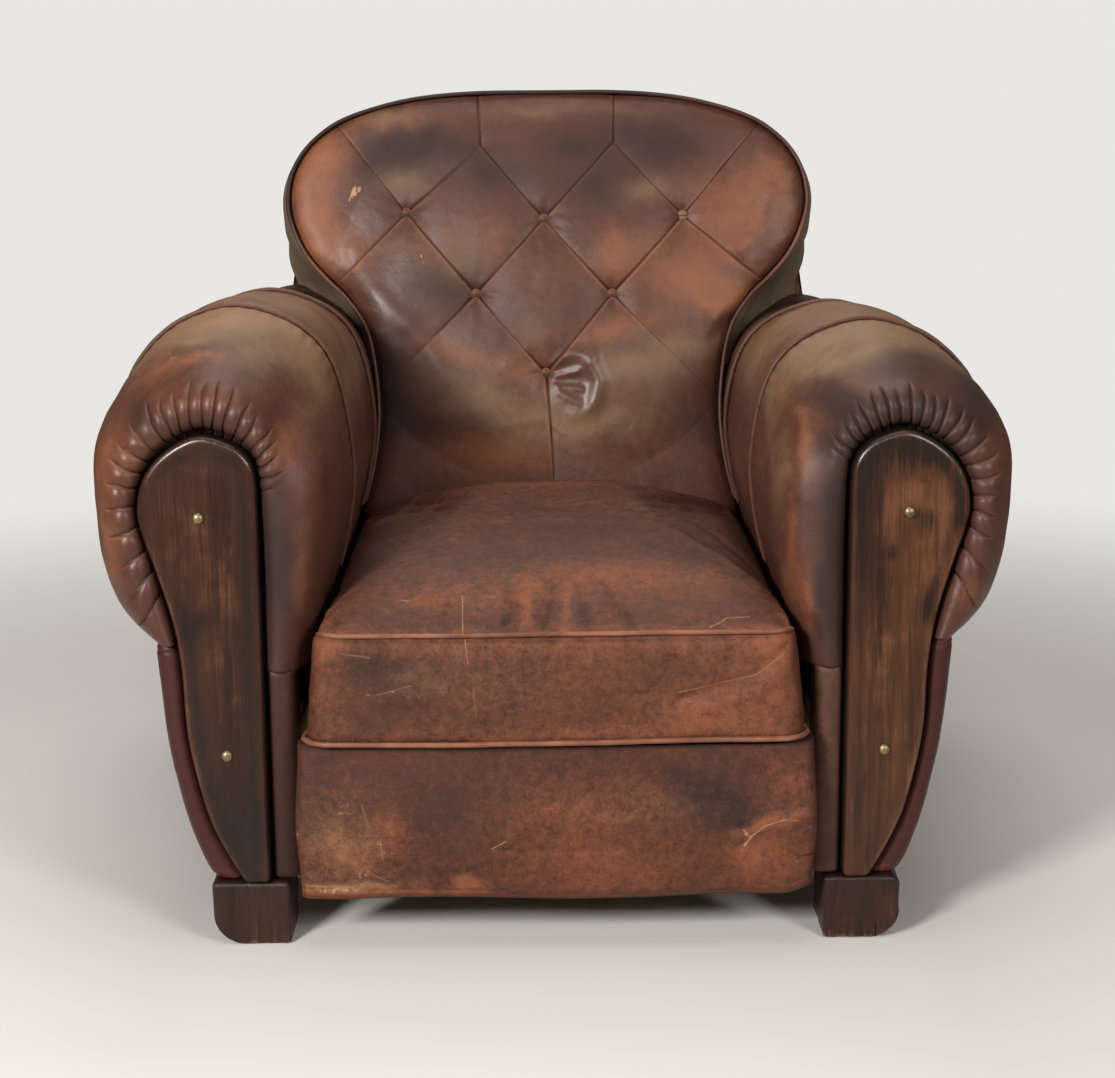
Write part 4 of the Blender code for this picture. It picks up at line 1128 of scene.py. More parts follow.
    def make_buttons(self) -> list[bpy.types.Object]:
        """Covered buttons, pressed flat, each on its own puckered skirt."""
        made = []
        for name, x, z in self.buttons:
            deselect_all()
            seat = self.button_depth(x, z)
            bpy.ops.mesh.primitive_uv_sphere_add(segments=40, ring_count=24, radius=1.0, location=(x, seat, z),
                                                 rotation=(math.pi / 2, 0, 0))
            button = bpy.context.object
            button.name = "button_" + name
            button.scale = self.button_size
            bpy.ops.object.transform_apply(location=True, rotation=True, scale=True)
            places = places_of(button)
            r = np.hypot(places[:, 0] - x, places[:, 2] - z) / 0.0070
            angle = np.arctan2(places[:, 2] - z, places[:, 0] - x)
            skirt = smoothstep(0.55, 1.0, r)
            places[:, 1] += 0.00028 * skirt * np.cos(angle * 11)
            if name == "top_right":
                places[:, 1] += 0.0016 * bell((places[:, 2] - z) + 0.001, 0.0012)
            button.data.vertices.foreach_set("co", places.ravel())
            button.data.shade_smooth()
            paint = Paintwork(places)
            paint.add(Tone.WORN, 0.15 + 0.75 * bell(r - 0.80, 0.10))
            paint.add(Tone.SCUFF, 0.30 * bell(r - 0.82, 0.08))
            paint.add(Tone.FOLD, 0.6 * smoothstep(0.90, 1.0, r))
            if name == "top_right":
                paint.add(Tone.DUST, 1.3 + 0 * r)
                paint.add(Tone.WORN, -0.6 + 0 * r)
            paint.store(button)
            made.append(button)
        return made

    def button_depth(self, x: float, z: float) -> float:
        """Depth of a button's middle, a little proud of the leather round it.

        Args:
            x: place across.
            z: height.

        Returns:
            Depth of its middle.
        """
        spot = np.array([x])
        high = np.array([z])
        height = self.lie(spot, high, np.array([0.1]))[0]
        return float(self.face(high)[0] - height[0]) - 0.0014

    def edge_line(self, low_z: float, lift: float, setback: float, count: int) -> np.ndarray:
        """Line along the outline over the top, from low_z to low_z.

        Args:
            low_z: height at which it starts and ends.
            lift: distance outside the outline.
            setback: distance behind the pad's edge.
            count: number of points.

        Returns:
            Array (count, 3).
        """
        half = self.half_outline()
        half = half[half[:, 1] > low_z]
        flat = np.vstack([half * [-1, 1], half[::-1][1:]])
        flat = offset_line(respace(flat, count), lift)
        return np.column_stack([flat[:, 0], self.face(flat[:, 1]) + setback, flat[:, 1]])

    def make_cord(self) -> bpy.types.Object:
        """Cord round the front edge."""
        path = self.edge_line(0.343, 0.0003, 0.0003, 560)
        cord = add_cord("back_cord", path, self.cord_radius, sides=12, uneven=0.05, seed=9)
        places = places_of(cord)
        paint = Paintwork(places)
        face = self.face(places[:, 2])
        paint.add(Tone.DARK, 1.4 * smoothstep(0.64, 0.72, places[:, 2]) * smoothstep(0.24, 0.0, places[:, 0]) + 0.2)
        paint.mark([*patches(Tone.WORN, (290, 660, 30, 80, 0.7), (-260, 620, 40, 30, 0.6))])
        # Painted shade on the cord's rear side, in the gap behind the pad's edge.
        paint.add(Tone.FOLD, 0.5 * smoothstep(0.0005, 0.0020, places[:, 1] - face))
        paint.store(cord)
        return cord

    def flare(self, flat: np.ndarray) -> np.ndarray:
        """Outline at the rear, where the shoulders spread wider over the arms and the crest is lower.

        Args:
            flat: array (n, 2) of the outline's points.

        Returns:
            Array of the same shape.
        """
        x, z = flat[:, 0], flat[:, 1]
        more = np.maximum(self.shoulder - 0.010 * smoothstep(0.61, 0.57, z) - np.abs(x), 0)
        more = more * smoothstep(0.745, 0.64, z) * smoothstep(0.10, 0.20, np.abs(x))
        return np.column_stack([x + np.sign(x) * more, z - self.crest_fall * smoothstep(0.69, 0.80, z)])

    def make_band(self) -> bpy.types.Object:
        """Side band from the cord back to the rear panel, fullest beside the shoulders."""
        count, deep = 360, 60
        low_z = 0.500
        base = self.edge_line(low_z, 0.0, 0.0, count)
        flat = base[:, [0, 2]]
        outward = leftward(flat)
        share = np.linspace(0, 1, deep)[:, None]
        front = self.face(flat[:, 1]) + 0.0042
        y = front + (REAR_SEAM_Y - front) * share
        z = flat[:, 1]
        fullness = smoothstep(0.60, 0.66, z) * (1 - smoothstep(0.70, 0.79, z)) * np.abs(outward[:, 0])
        swell = 0.0100 * 4 * share * (1 - share) * fullness
        wide, fall = (self.flare(flat) - flat).T
        rest = np.stack([flat[:, 0] + wide * share, y, z + fall * share], axis=-1)
        lumps = 0.0012 * rolling_noise(rest.reshape(-1, 3), 0.07, 41).reshape(rest.shape[:2])
        seam = 0.0016 * bell((y - front) - 0.012, 0.0016) + 0.0014 * bell((REAR_SEAM_Y - y) - 0.010, 0.0016)
        lift = 0.0022 + swell + lumps * np.sin(math.pi * share) - seam
        sideways = np.stack([outward[:, 0], 0 * z, outward[:, 1]], axis=-1)[None]
        outer = rest + lift[..., None] * sideways
        inner_rows = np.array([0.0, 0.5, 1.0])[:, None]
        inner = np.stack([flat[:, 0] + wide * inner_rows, front + (REAR_SEAM_Y - front) * inner_rows,
                          z + fall * inner_rows], axis=-1) + GAP * sideways
        band = add_skin("back_side_band", outer, inner)
        paint = Paintwork(places_of(band))
        rear_seam = bell((REAR_SEAM_Y - y) - 0.010, 0.002)
        paint.add(Tone.FOLD, 0.8 * (bell(y - front, 0.006) + rear_seam * smoothstep(0.62, 0.68, z)))
        # Grey bloom over the band, partly dust and partly painted light that pales it.
        paint.add(Tone.DUST, 0.40 + 0.50 * smoothstep(0.76, 0.68, z) + 0 * y)
        paint.add(Tone.DARK, 0.35 * smoothstep(0.60, 0.54, z) + 0 * y)
        paint.mark([*patches(Tone.WORN, (0, 300, 120, 30, 0.3)),
                    *patches(Tone.DARK, (100, 360, 200, 50, 0.3))],
                   axes=(0, 1))
        paint.mark([*patches(Tone.DARK, (320, 680, 80, 40, 0.6), (380, 620, 50, 50, 0.5)),
                    *patches(Tone.WORN, (240, 740, 100, 40, 0.6), (360, 780, 60, 30, 0.7))],
                   axes=(1, 2), seed=47)
        paint.store(band)
        return band

    def make_rear(self) -> bpy.types.Object:
        """Outer panel behind, drawn tight, with a sewn line inside its edge."""
        low = [(0.3387, 0.068), (0.3467, 0.083), (0.3557, 0.106), (0.3642, 0.135), (0.3707, 0.165),
               (0.3767, 0.197), (0.3812, 0.235), (0.3847, 0.275)]
        middle = [(0.386, 0.330), (0.385, 0.420), (0.378, 0.490), (0.356, 0.532)]
        half = self.half_outline()
        high = self.flare(half[half[:, 1] > 0.572])
        high = offset_line(high, -0.0020)[::12]
        line = spline(low + middle + high.tolist(), 240)
        line[-1, 0] = 0.0
        columns = 130
        u = np.linspace(-1, 1, columns)[None, :]
        rows_x, rows_z = line[:, 0:1], line[:, 1:2]
        keep = np.concatenate([[True], np.diff(line[:, 1]) > 1e-5])
        rows_x, rows_z = rows_x[keep], rows_z[keep]
        x, z = rows_x * u, rows_z + 0 * u
        outline = np.vstack([line, line[::-1] * [-1, 1], line[:1]])[::5]
        rim = np.minimum(line_distance(x, z, outline), z - LEATHER_LOW)
        places = np.stack([x, 0 * x, z], axis=-1)
        flat = places.reshape(-1, 3)
        puff = 0.0035 * (1 - np.exp(-rim / 0.05)) + 0.0009 * rolling_noise(flat, 0.16, 51).reshape(x.shape)
        puff += 0.0005 * np.sin((x + 0.3 * z) * 60 + 4 * soft_noise(flat, 0.12, 53).reshape(x.shape)) * bell(
            rim - 0.03, 0.03)
        puff -= 0.0014 * bell(rim - 0.009, 0.0017) + 0.0022 * smoothstep(0.006, 0.0, rim)
        outer = np.stack([x, 0.4385 + puff, z], axis=-1)
        inner = outer[::8].copy()
        inner = np.vstack([inner, outer[-1:]]) if (len(outer) - 1) % 8 else inner
        inner[..., 1] = 0.4362
        rear = add_skin("outside_back_panel", outer, inner)
        paint = Paintwork(places_of(rear))
        paint.add(Tone.FOLD, 0.7 * bell(rim - 0.009, 0.0022) + 0.4 * bell(rim, 0.003))
        paint.add(Tone.DARK, 0.35 * smoothstep(0.30, 0.10, z))
        paint.add(Tone.DUST, 0.45 * smoothstep(0.60, 0.80, z))
        paint.mark([
            *patches(Tone.WORN, (0, 800, 220, 20, 0.8), (310, 550, 50, 60, 0.8), (-320, 500, 50, 70, 0.6),
                     (120, 420, 100, 50, 0.35), (-250, 100, 120, 20, 0.8), (200, 90, 120, 20, 0.7)),
            *patches(Tone.DARK, (-100, 620, 140, 80, 0.6)),
            *patches(Tone.GLOSS, (0, 700, 200, 100, 0.5)),
            *patches(Tone.SCUFF, (240, 230, 12, 6, 0.6, 20))])
        paint.store(rear)
        return rear

    def build(self, leather: bpy.types.Material, cord: bpy.types.Material, band: bpy.types.Material) -> None:
        """Makes and dresses every piece of the back.

        Args:
            leather: material of the leather.
            cord: material of the cord.
            band: material of the side band.
        """
        dress(self.make_pad(), leather, "leather", "back_pad")
        for (name, _, _), button in zip(self.buttons, self.make_buttons()):
            dress(button, leather, "leather", "back_button_" + name)
        dress(self.make_cord(), cord, "leather", "back_welt")
        dress(self.make_band(), band, "leather", "back_boxing")
        dress(self.make_rear(), leather, "leather", "outside_back")


# ---------------------------------------------------------------- the arms

@dataclass
class Arm:
    """One rolled arm: pleated front, body, cords, outer panel, inner strip, board and domes."""

    label: str
    top_shift: float                # how much higher or lower the roll stands than the common section
    pleat_from: float               # height of the first pleat, inside
    pleat_to: float                 # and of the last one, outside
    pleats: int
    seed: int
    seam_y: float = -0.215
    end_seam_y: float = 0.095
    rear_drop: float = 0.042
    cord_radius: float = 0.0027
    board_front: float = -0.405
    board_back: float = -0.381
    strip_top: float = 0.2835
    strip_inner: float = 0.2500
    panel_top: float = 0.310
    pad_bottom: float = DECK_Z
    rear_y: float = REAR_SEAM_Y
    inner_fullness: float = 0.86
    board_inner: float = 0.2847
    board_low: float = 0.0665
    board_rounding: float = 0.0062
    shank_radius: float = 0.0024
    dome_radius: float = 0.0058
    leather_depth: float = 0.0075   # of the padded skins
    board_curve: tuple[Plane, ...] = (
        (0.2847, 0.466), (0.2868, 0.484), (0.2945, 0.499), (0.311, 0.511), (0.340, 0.5175),
        (0.3715, 0.502), (0.392, 0.478), (0.400, 0.447), (0.396, 0.420), (0.387, 0.392),
        (0.371, 0.335), (0.364, 0.285), (0.3605, 0.215), (0.346, 0.145), (0.3315, 0.107), (0.310, 0.0665))
    section: tuple[Plane, ...] = (
        (0.2490, 0.2153), (0.2405, 0.270), (0.2290, 0.334), (0.2160, 0.388), (0.2090, 0.446),
        (0.2150, 0.508), (0.2290, 0.556), (0.2530, 0.586), (0.2880, 0.604), (0.3250, 0.611),
        (0.3600, 0.604), (0.3900, 0.589), (0.4150, 0.566), (0.4330, 0.538), (0.4440, 0.495),
        (0.4450, 0.440), (0.4400, 0.388), (0.4290, 0.351), (0.4120, 0.326), (0.3920, 0.3103))
    side_profile: tuple[Plane, ...] = (
        (0.03, -0.3807), (0.05, -0.392), (0.20, -0.402), (0.46, -0.402), (0.76, -0.390),
        (1.00, -0.367), (1.10, -0.330), (1.11, -0.270), (1.02, -0.2280), (1.00, -0.2153))
    top_profile: tuple[Plane, ...] = (
        (0.03, -0.3807), (0.05, -0.392), (0.14, -0.3990), (0.30, -0.3985), (0.46, -0.386),
        (0.63, -0.357), (0.80, -0.315), (0.93, -0.264), (0.995, -0.2280), (1.00, -0.2153))
    fan: Plane = (0.338, 0.452)     # where the lines of the pleats would meet
    panel_line: tuple[Plane, ...] = (
        (0.343, 0.068), (0.351, 0.083), (0.360, 0.106), (0.3685, 0.135), (0.375, 0.165),
        (0.381, 0.197), (0.3855, 0.235), (0.389, 0.275), (0.3915, 0.310))
    domes: tuple[tuple[str, float, float], ...] = (("upper", 0.341, 0.438), ("lower", 0.3225, 0.200))

    @property
    def side(self) -> float:
        """-1 for the left arm and 1 for the right one."""
        return SIDES[self.label]

    def flip(self, places: np.ndarray) -> np.ndarray:
        """Places of the right-hand arm moved to this arm's side."""
        return places * [self.side, 1.0, 1.0]

    def roll_section(self, count: int) -> np.ndarray:
        """Section of the roll, from the inner bottom over the top to the outer seam."""
        path = spline(self.section, count)
        path[:, 1] += self.top_shift * smoothstep(0.44, 0.61, path[:, 1])
        return path

    def board_edge(self, count: int) -> np.ndarray:
        """Edge of the board that the leather is gathered to, in the same order as the section.

        Args:
            count: number of points.

        Returns:
            Array (count, 2).
        """
        curve = spline(self.board_curve, 800)
        curve = curve[curve[:, 1] > self.panel_top]
        path = np.vstack([[self.board_inner, self.pad_bottom], curve, [0.3675, self.panel_top]])
        return offset_line(respace(path, count), 0.0014)

    def cap_surface(self, columns: int, rows: int) -> tuple[np.ndarray, np.ndarray, np.ndarray]:
        """Smooth shape of the arm's front before it is pleated.

        Args:
            columns: points round the arm.
            rows: points from the board's edge back to the seam.

        Returns:
            Places (rows, columns, 3), share round the arm, and distance run from the board's edge.
        """
        section, edge = self.roll_section(columns), self.board_edge(columns)
        side_u, side_y = np.array(self.side_profile).T
        top_u, top_y = np.array(self.top_profile).T
        round_share = np.linspace(0, 1, columns)
        inner = smoothstep(0.56, 0.36, round_share)
        surface = np.zeros((rows, columns, 5))
        for j in range(columns):
            top = smoothstep(0.48, 0.60, section[j, 1])
            u = side_u + (top_u - side_u) * top
            y = side_y + (top_y - side_y) * top
            slim = 1 - (1 - self.inner_fullness) * inner[j]
            u = np.concatenate([np.minimum(u[:-2] * slim, 1.0 if inner[j] > 0.5 else 2.0), u[-2:]])
            flat = edge[j] + (section[j] - edge[j]) * u[:, None]
            curve = spline(np.column_stack([flat[:, 0], y, flat[:, 1]]), 160)
            run = run_along(curve)
            dense = np.column_stack([curve, np.full(160, round_share[j]), run])
            surface[:, j] = respace(dense, rows)
        return surface[..., :3], surface[..., 3], surface[..., 4]

    def folds(self) -> tuple[np.ndarray, ...]:
        """Creases round the board, from the inner side over the top to the outer side.

        Returns:
            Start (n, 2), angle, length and depth of each crease.
        """
        edge = self.board_edge(1500)
        along = run_along(edge)
        top = int(np.argmax(edge[:, 1]))
        low = np.interp(self.pleat_from, edge[:top, 1], along[:top])
        high = np.interp(-self.pleat_to, -edge[top:, 1], along[top:])
        draw = np.random.default_rng(self.seed)
        number = np.arange(self.pleats + 1) / self.pleats
        gaps = (1 + 1.7 * np.clip((number[1:] - 0.55) / 0.45, 0, 1) ** 1.5) * draw.uniform(0.85, 1.15, self.pleats)
        at = low + (high - low) * np.concatenate([[0], np.cumsum(gaps)]) / gaps.sum()
        start = np.column_stack([np.interp(at, along, edge[:, k]) for k in (0, 1)])
        angle = np.arctan2(start[:, 1] - self.fan[1], start[:, 0] - self.fan[0])
        angle = np.maximum(angle, math.radians(-54)) + draw.uniform(-0.055, 0.055, len(at))
        weak = smoothstep(-0.05, 0.10, number)
        return (start, angle, draw.uniform(0.050, 0.066, len(at)) * (0.75 + 0.25 * weak),
                draw.uniform(0.75, 1.15, len(at)) * (0.3 + 0.7 * weak))

    def gather(self, places: np.ndarray, run: np.ndarray) -> tuple[np.ndarray, np.ndarray, np.ndarray]:
        """Pleats that the leather is laid in round the board.

        Args:
            places: the smooth surface.
            run: distance of each place from the board's edge.

        Returns:
            Height over the smooth shape, grime and painted shade in the folds, and a painted highlight on the folds'
            lips.
        """
        start, angle, reach, force = (v.reshape(len(v), 1, 1, -1)[..., 0] if v.ndim == 1 else v for v in self.folds())
        gap = ((places[..., 0] - start[:, 0, None, None]) * np.sin(angle)
               - (places[..., 2] - start[:, 1, None, None]) * np.cos(angle))
        apart = np.arctan2(places[..., 2] - self.fan[1], places[..., 0] - self.fan[0])
        apart = angle - np.where(apart < -2.2, apart + math.tau, apart)
        gap = np.where(apart > 1.8, 1.0, np.where(apart < -1.8, -1.0, gap))
        gap = gap + 0.0006 * np.sin(run * 130 + 2 * np.arange(len(start))[:, None, None])
        before = np.clip((gap >= 0).sum(axis=0) - 1, 0, self.pleats - 1)
        left, right = (np.take_along_axis(gap, (before + k)[None], axis=0)[0] for k in (0, 1))
        width = np.maximum(left - right, 0.002)
        share = np.clip(left / width, 0.001, 0.999)
        inside = smoothstep(-0.010, 0.0, gap[0]) * smoothstep(0.014, 0.0, gap[-1])
        reach, force = reach[:, 0, 0], force[:, 0, 0]
        length = reach[before] + (reach[before + 1] - reach[before]) * share
        grow = smoothstep(0.003, 0.040, run)
        arch = np.sin(math.pi * share ** 0.9) ** 0.75 - 0.45
        height = (inside * smoothstep(1.12, 0.66, run / length) * (0.0009 + 0.0019 * grow)
                  * np.sqrt(np.clip(width / 0.012, 0.3, 2.0)) * arch)
        slit, lip = np.zeros(run.shape), np.zeros(run.shape)
        for k, apart in enumerate((left, right)):
            strong = force[before + k] * inside * smoothstep(1.10, 0.84, run / reach[before + k])
            slit = np.maximum(slit, strong * bell(apart, 0.0010))
            lip = np.maximum(lip, strong * bell(np.abs(apart) - 0.0018, 0.0009) * (k == 0))
        height -= slit * (0.0019 - 0.0006 * grow)
        height += 0.0012 * bell(run - 0.042, 0.018) * inside
        return height, slit * (1.0 - 0.25 * grow), lip * smoothstep(0.008, 0.02, run)

    def clip_row(self, row: np.ndarray, floor: float, columns: int, closer: float = 1.0) -> np.ndarray:
        """Cuts a row of places off at its two bottom seams and spaces it evenly again.

        Args:
            row: array (n, more than 3), whose first three columns are places.
            floor: height of the seam on the inner side.
            columns: number of points to return.
            closer: how much closer the points are beside the pleats than on the inner side.

        Returns:
            Array (columns, same width), which starts and ends exactly on the seams.
        """
        z = row[:, 2]
        top = int(np.argmax(z))
        first = int(np.nonzero(z[:top] < floor)[0][-1]) if (z[:top] < floor).any() else 0
        lower = z[top:] < self.panel_top
        last = top + int(np.nonzero(lower)[0][0]) if lower.any() else len(z) - 1
        cut = row[first:last + 1].copy()
        if z[first] < floor:
            share = (floor - z[first]) / (z[first + 1] - z[first])
            cut[0] = row[first] + (row[first + 1] - row[first]) * share
        if z[last] < self.panel_top:
            share = (z[last - 1] - self.panel_top) / (z[last - 1] - z[last])
            cut[-1] = row[last - 1] + (row[last] - row[last - 1]) * share
        pleated = (np.arange(len(cut)) > top - first) | (cut[:, 2] > 0.45)
        return respace(cut, columns, 1 + (closer - 1) * pleated)

    def make_front(self) -> bpy.types.Object:
        """Pleated leather front of the arm."""
        columns, rows = 780, 116
        places, share, run = self.cap_surface(480, rows)
        data = np.concatenate([places, share[..., None], run[..., None]], axis=-1)
        data = np.stack([
            self.clip_row(row, self.strip_top if row[0, 0] > self.strip_inner else self.pad_bottom + GAP, columns, 3.4)
            for row in data])
        places, share, run = data[..., :3], data[..., 3], data[..., 4]
        normal = surface_normals(places)
        outwards = places - np.array([0.33, 0.0, 0.44])
        normal *= np.sign((normal * outwards).sum(axis=2).mean())
        height, fold, lip = self.gather(places, run)
        flat = places.reshape(-1, 3)
        height += (0.0016 * rolling_noise(flat, 0.08, self.seed + 1)
                   + 0.0004 * rolling_noise(flat, 0.018, self.seed + 2)).reshape(run.shape) * smoothstep(0.0, 0.02, run)
        to_seam = np.abs(places[..., 1] - self.seam_y)
        height -= 0.0030 * bell(to_seam, 0.0042)
        tuck = np.sin(share * 330 + 2.5 * soft_noise(flat, 0.05, self.seed + 4).reshape(run.shape))
        height += 0.0003 * tuck * bell(to_seam - 0.012, 0.010)
        height += self.creases(places, run)
        outer = places + normal * height[..., None]
        outer[:, 0], outer[:, -1] = places[:, 0], places[:, -1]
        dirt_and_shade = np.maximum(fold, bell(to_seam, 0.0022) * 0.5)
        # Painted shade where the leather tucks under the board's edge.
        dirt_and_shade = np.maximum(dirt_and_shade, 0.9 * smoothstep(0.007, 0.002, run))
        inner = self.hollow(outer[[0, rows // 3, 2 * rows // 3, rows - 1]], self.leather_depth)
        front = add_skin("arm_front_" + self.label, self.flip(outer), self.flip(inner))
        paint = Paintwork(places_of(front))
        paint.add(Tone.FOLD, dirt_and_shade)
        # Painted highlight along the folds' lips, laid as rubbed and scuffed tone.
        paint.add(Tone.WORN, 0.42 * lip)
        paint.add(Tone.SCUFF, 0.24 * lip)
        laid = np.maximum(smoothstep(0.475, 0.500, places[..., 2]), smoothstep(0.36, 0.38, places[..., 0]))
        paint.add(Tone.GLOSS, 0.40 * bell(run - 0.038, 0.030) * laid)
        # Painted shade on the inner flank beside the board, below the pleats.
        beside = smoothstep(0.495, 0.470, places[..., 2]) * (1 - laid)
        paint.add(Tone.FOLD, 0.38 * smoothstep(0.075, 0.035, run) * beside)
        paint.add(Tone.DARK, 0.45 * smoothstep(0.040, 0.004, run))
        paint.mark(self.front_marks(), seed=self.seed)
        paint.mark(self.top_bloom_and_painted_light(), axes=(0, 1), seed=self.seed + 3, mask=smoothstep(0.47, 0.57, paint.places[:, 2]))
        paint.store(front)
        return front

    def hollow(self, rows: np.ndarray, depth: float) -> np.ndarray:
        """Inner face under rows of the outer one: the same rows, drawn in towards the arm's core.

        Args:
            rows: rows of the outer face.
            depth: distance between the two faces.

        Returns:
            Array of the same shape.
        """
        core = np.array([0.335, 0.0, 0.42])
        inward = rows - core
        inward[..., 1] = 0
        inward /= np.linalg.norm(inward, axis=2, keepdims=True)
        inner = rows - inward * depth
        inner[..., 2] = np.where(rows[..., 2] < self.panel_top + 0.02,
                                 np.maximum(inner[..., 2], rows[..., 2]), inner[..., 2])
        inner[:, 0, 2], inner[:, -1, 2] = rows[:, 0, 2], rows[:, -1, 2]
        return inner

    def creases(self, places: np.ndarray, run: np.ndarray) -> np.ndarray:
        """Long soft creases on the inner side of the arm's front.

        Args:
            places: the smooth surface.
            run: distance of each place from the board's edge.

        Returns:
            Height over the smooth shape.
        """
        x, z = places[..., 0], places[..., 2]
        inner = smoothstep(0.285, 0.262, x) * smoothstep(0.035, 0.055, run) * (0.35 if self.side < 0 else 1.0)
        return inner * relief(x, z, (
            (-1, 8, 256, 500, 250, 440, 247, 360), (2.2, 10, 242, 520, 236, 440, 240, 340),
            (-1.2, 6, 250, 330, 262, 312, 268, 300)))

    def front_marks(self) -> list[Mark | Stroke]:
        """Wear on the arm's front, with painted shade on both inner flanks and a painted highlight in the right arm's
        orange streak, by height and width.
        """
        if self.label == "left":
            return [
                *patches(Tone.WORN, (-342, 583, 26, 7, 0.75, 3), (-386, 572, 28, 14, 0.7, 25),
                         (-340, 552, 80, 14, 0.35), (-432, 410, 16, 70, 0.85), (-415, 500, 25, 30, 0.45),
                         (-256, 500, 14, 26, 0.65), (-240, 380, 10, 60, 0.4), (-300, 612, 60, 8, 0.5)),
                # (-266, 390) darkens the left arm's inner flank: painted shade.
                *patches(Tone.DARK, (-395, 540, 18, 14, 0.8), (-266, 390, 24, 110, 0.9), (-315, 594, 30, 10, 0.75),
                         (-290, 565, 28, 14, 0.55), (-330, 528, 60, 10, 0.5)),
                *patches(Tone.DUST, (-268, 588, 40, 26, 0.45), (-345, 605, 70, 10, 0.6), (-235, 530, 15, 30, 0.4)),
                *patches(Tone.SCUFF, (-372, 586.5, 18, 1.2, 0.5, 4), (-345, 589.5, 18, 1, 0.45, 4),
                         (-330, 581.5, 16, 0.9, 0.4, 2))]
        return [
            # The orange streak down the right arm's inner flank, (236, 400) to (243, 505), is wear and painted
            # highlight.
            *patches(Tone.WORN, (236, 400, 7, 60, 0.6), (248, 350, 9, 30, 0.75), (243, 505, 10, 30, 0.8),
                     (262, 520, 18, 12, 0.45), (425, 500, 18, 30, 0.35), (285, 555, 30, 10, 0.35),
                     (405, 350, 30, 18, 0.45), (425, 420, 20, 50, 0.25)),
            # (285, 400) here and (270, 400) below darken the right arm's inner flank: painted shade.
            *patches(Tone.DARK, (240, 445, 10, 16, 0.5), (285, 400, 22, 120, 0.8), (335, 520, 95, 30, 0.75),
                     (425, 440, 20, 70, 0.45), (345, 575, 70, 14, 0.8), (410, 545, 20, 30, 0.7),
                     (335, 540, 60, 12, 0.6), (270, 400, 16, 110, 1)),
            *patches(Tone.DUST, (222, 470, 10, 60, 0.6), (335, 600, 90, 12, 0.9), (270, 575, 40, 20, 0.7))]

    def top_bloom_and_painted_light(self) -> list[Mark | Stroke]:
        """Bloom and wear on the arm's top, brightened further as painted light, by width and depth."""
        sign = self.side
        return [
            *patches(Tone.DUST, (330 * sign, -260, 110, 45, 0.8), (320 * sign, -80, 110, 200, 1.25)),
            *patches(Tone.WORN, (350 * sign, -240, 90, 40, 0.55), (310 * sign, -80, 90, 150, 0.6),
                     (280 * sign, 100, 60, 120, 0.65), (330 * sign, 340, 80, 60, 0.45)),
            *patches(Tone.DARK, (360 * sign, 250, 90, 60, 0.45), (405 * sign, -140, 25, 120, 0.25))]

    def sunk(self, path: np.ndarray, y: np.ndarray | float) -> np.ndarray:
        """Section heights at a depth, as the roll sinks towards the back."""
        drop = self.rear_drop * smoothstep(-0.16, 0.42, y) * smoothstep(0.40, 0.60, path[..., 1])
        return np.stack([path[..., 0], path[..., 1] - drop], axis=-1)

    def make_body(self) -> bpy.types.Object:
        """Padded roll behind the front, with a sewn seam beside the back."""
        columns, rows = 300, 220
        y = np.linspace(self.seam_y + GAP, self.rear_y, rows)
        section = self.roll_section(420)
        outward = leftward(section)
        share = np.linspace(0, 1, 420)[None, :]
        flat = self.sunk(np.broadcast_to(section, (rows, *section.shape)), y[:, None])
        rest = np.stack([flat[..., 0], y[:, None] + 0 * share, flat[..., 1]], axis=-1)
        points = rest.reshape(-1, 3)
        to_front = y[:, None] - self.seam_y
        to_end = np.abs(y[:, None] - self.end_seam_y)
        height = (0.0022 * rolling_noise(points, 0.12, self.seed + 11)
                  + 0.0005 * rolling_noise(points, 0.022, self.seed + 12)).reshape(rest.shape[:2])
        height += 0.0020 * np.sin(np.clip((y[:, None] - self.seam_y) / 0.31, 0, 1) * math.pi)
        height -= 0.0034 * bell(to_front, 0.0042) + 0.0034 * bell(to_end, 0.0042)
        tuck = np.sin(share * 300 + 2.5 * soft_noise(points, 0.05, self.seed + 14).reshape(rest.shape[:2]))
        height += 0.0003 * tuck * (bell(to_front - 0.012, 0.010) + bell(to_end - 0.012, 0.010))
        drag = np.sin((y[:, None] * 34 + 9 * share) + 3 * soft_noise(points, 0.10, self.seed + 15).reshape(
            rest.shape[:2]))
        height += 0.0011 * drag * smoothstep(0.62, 0.80, share)
        height -= 0.012 * smoothstep(self.rear_y - 0.016, self.rear_y, y)[:, None] ** 2
        height = np.minimum(height, 0.0045) * smoothstep(0.0, 0.03, share)
        place = rest + height[..., None] * np.stack([outward[:, 0], 0 * outward[:, 0], outward[:, 1]], axis=-1)[None]
        dirt_and_shade = 0.5 * np.maximum(bell(to_front, 0.0022), bell(to_end, 0.0022)) + 0 * share
        data = np.concatenate([place, dirt_and_shade[..., None]], axis=-1)
        data = np.stack([self.clip_row(row, self.pad_bottom + GAP, columns) for row in data])
        inner = self.hollow(data[[0, rows // 2, rows - 1], :, :3], self.leather_depth)
        inner[-1, :, 1] -= 0.0070
        data = np.concatenate([data, self.end_rows(data[-1])])
        outer = data[..., :3]
        body = add_skin("arm_roll_" + self.label, self.flip(outer), self.flip(inner))
        paint = Paintwork(places_of(body))
        paint.add(Tone.FOLD, data[..., 3])
        paint.mark(self.top_bloom_and_painted_light(), axes=(0, 1), seed=self.seed + 3, mask=smoothstep(0.44, 0.54, paint.places[:, 2]))
        paint.add(Tone.DARK, 0.35 * smoothstep(0.30, 0.0, np.abs(data[..., 1] - 0.35)))
        paint.mark([*patches(Tone.WORN, (-50, 420, 140, 50, 0.5), (300, 360, 100, 30, 0.55)),
                    *patches(Tone.DARK, (200, 460, 120, 50, 0.5)),
                    *patches(Tone.DUST, (50, 530, 200, 30, 0.4))],
                   axes=(1, 2), seed=self.seed + 5)
        paint.store(body)
        return body

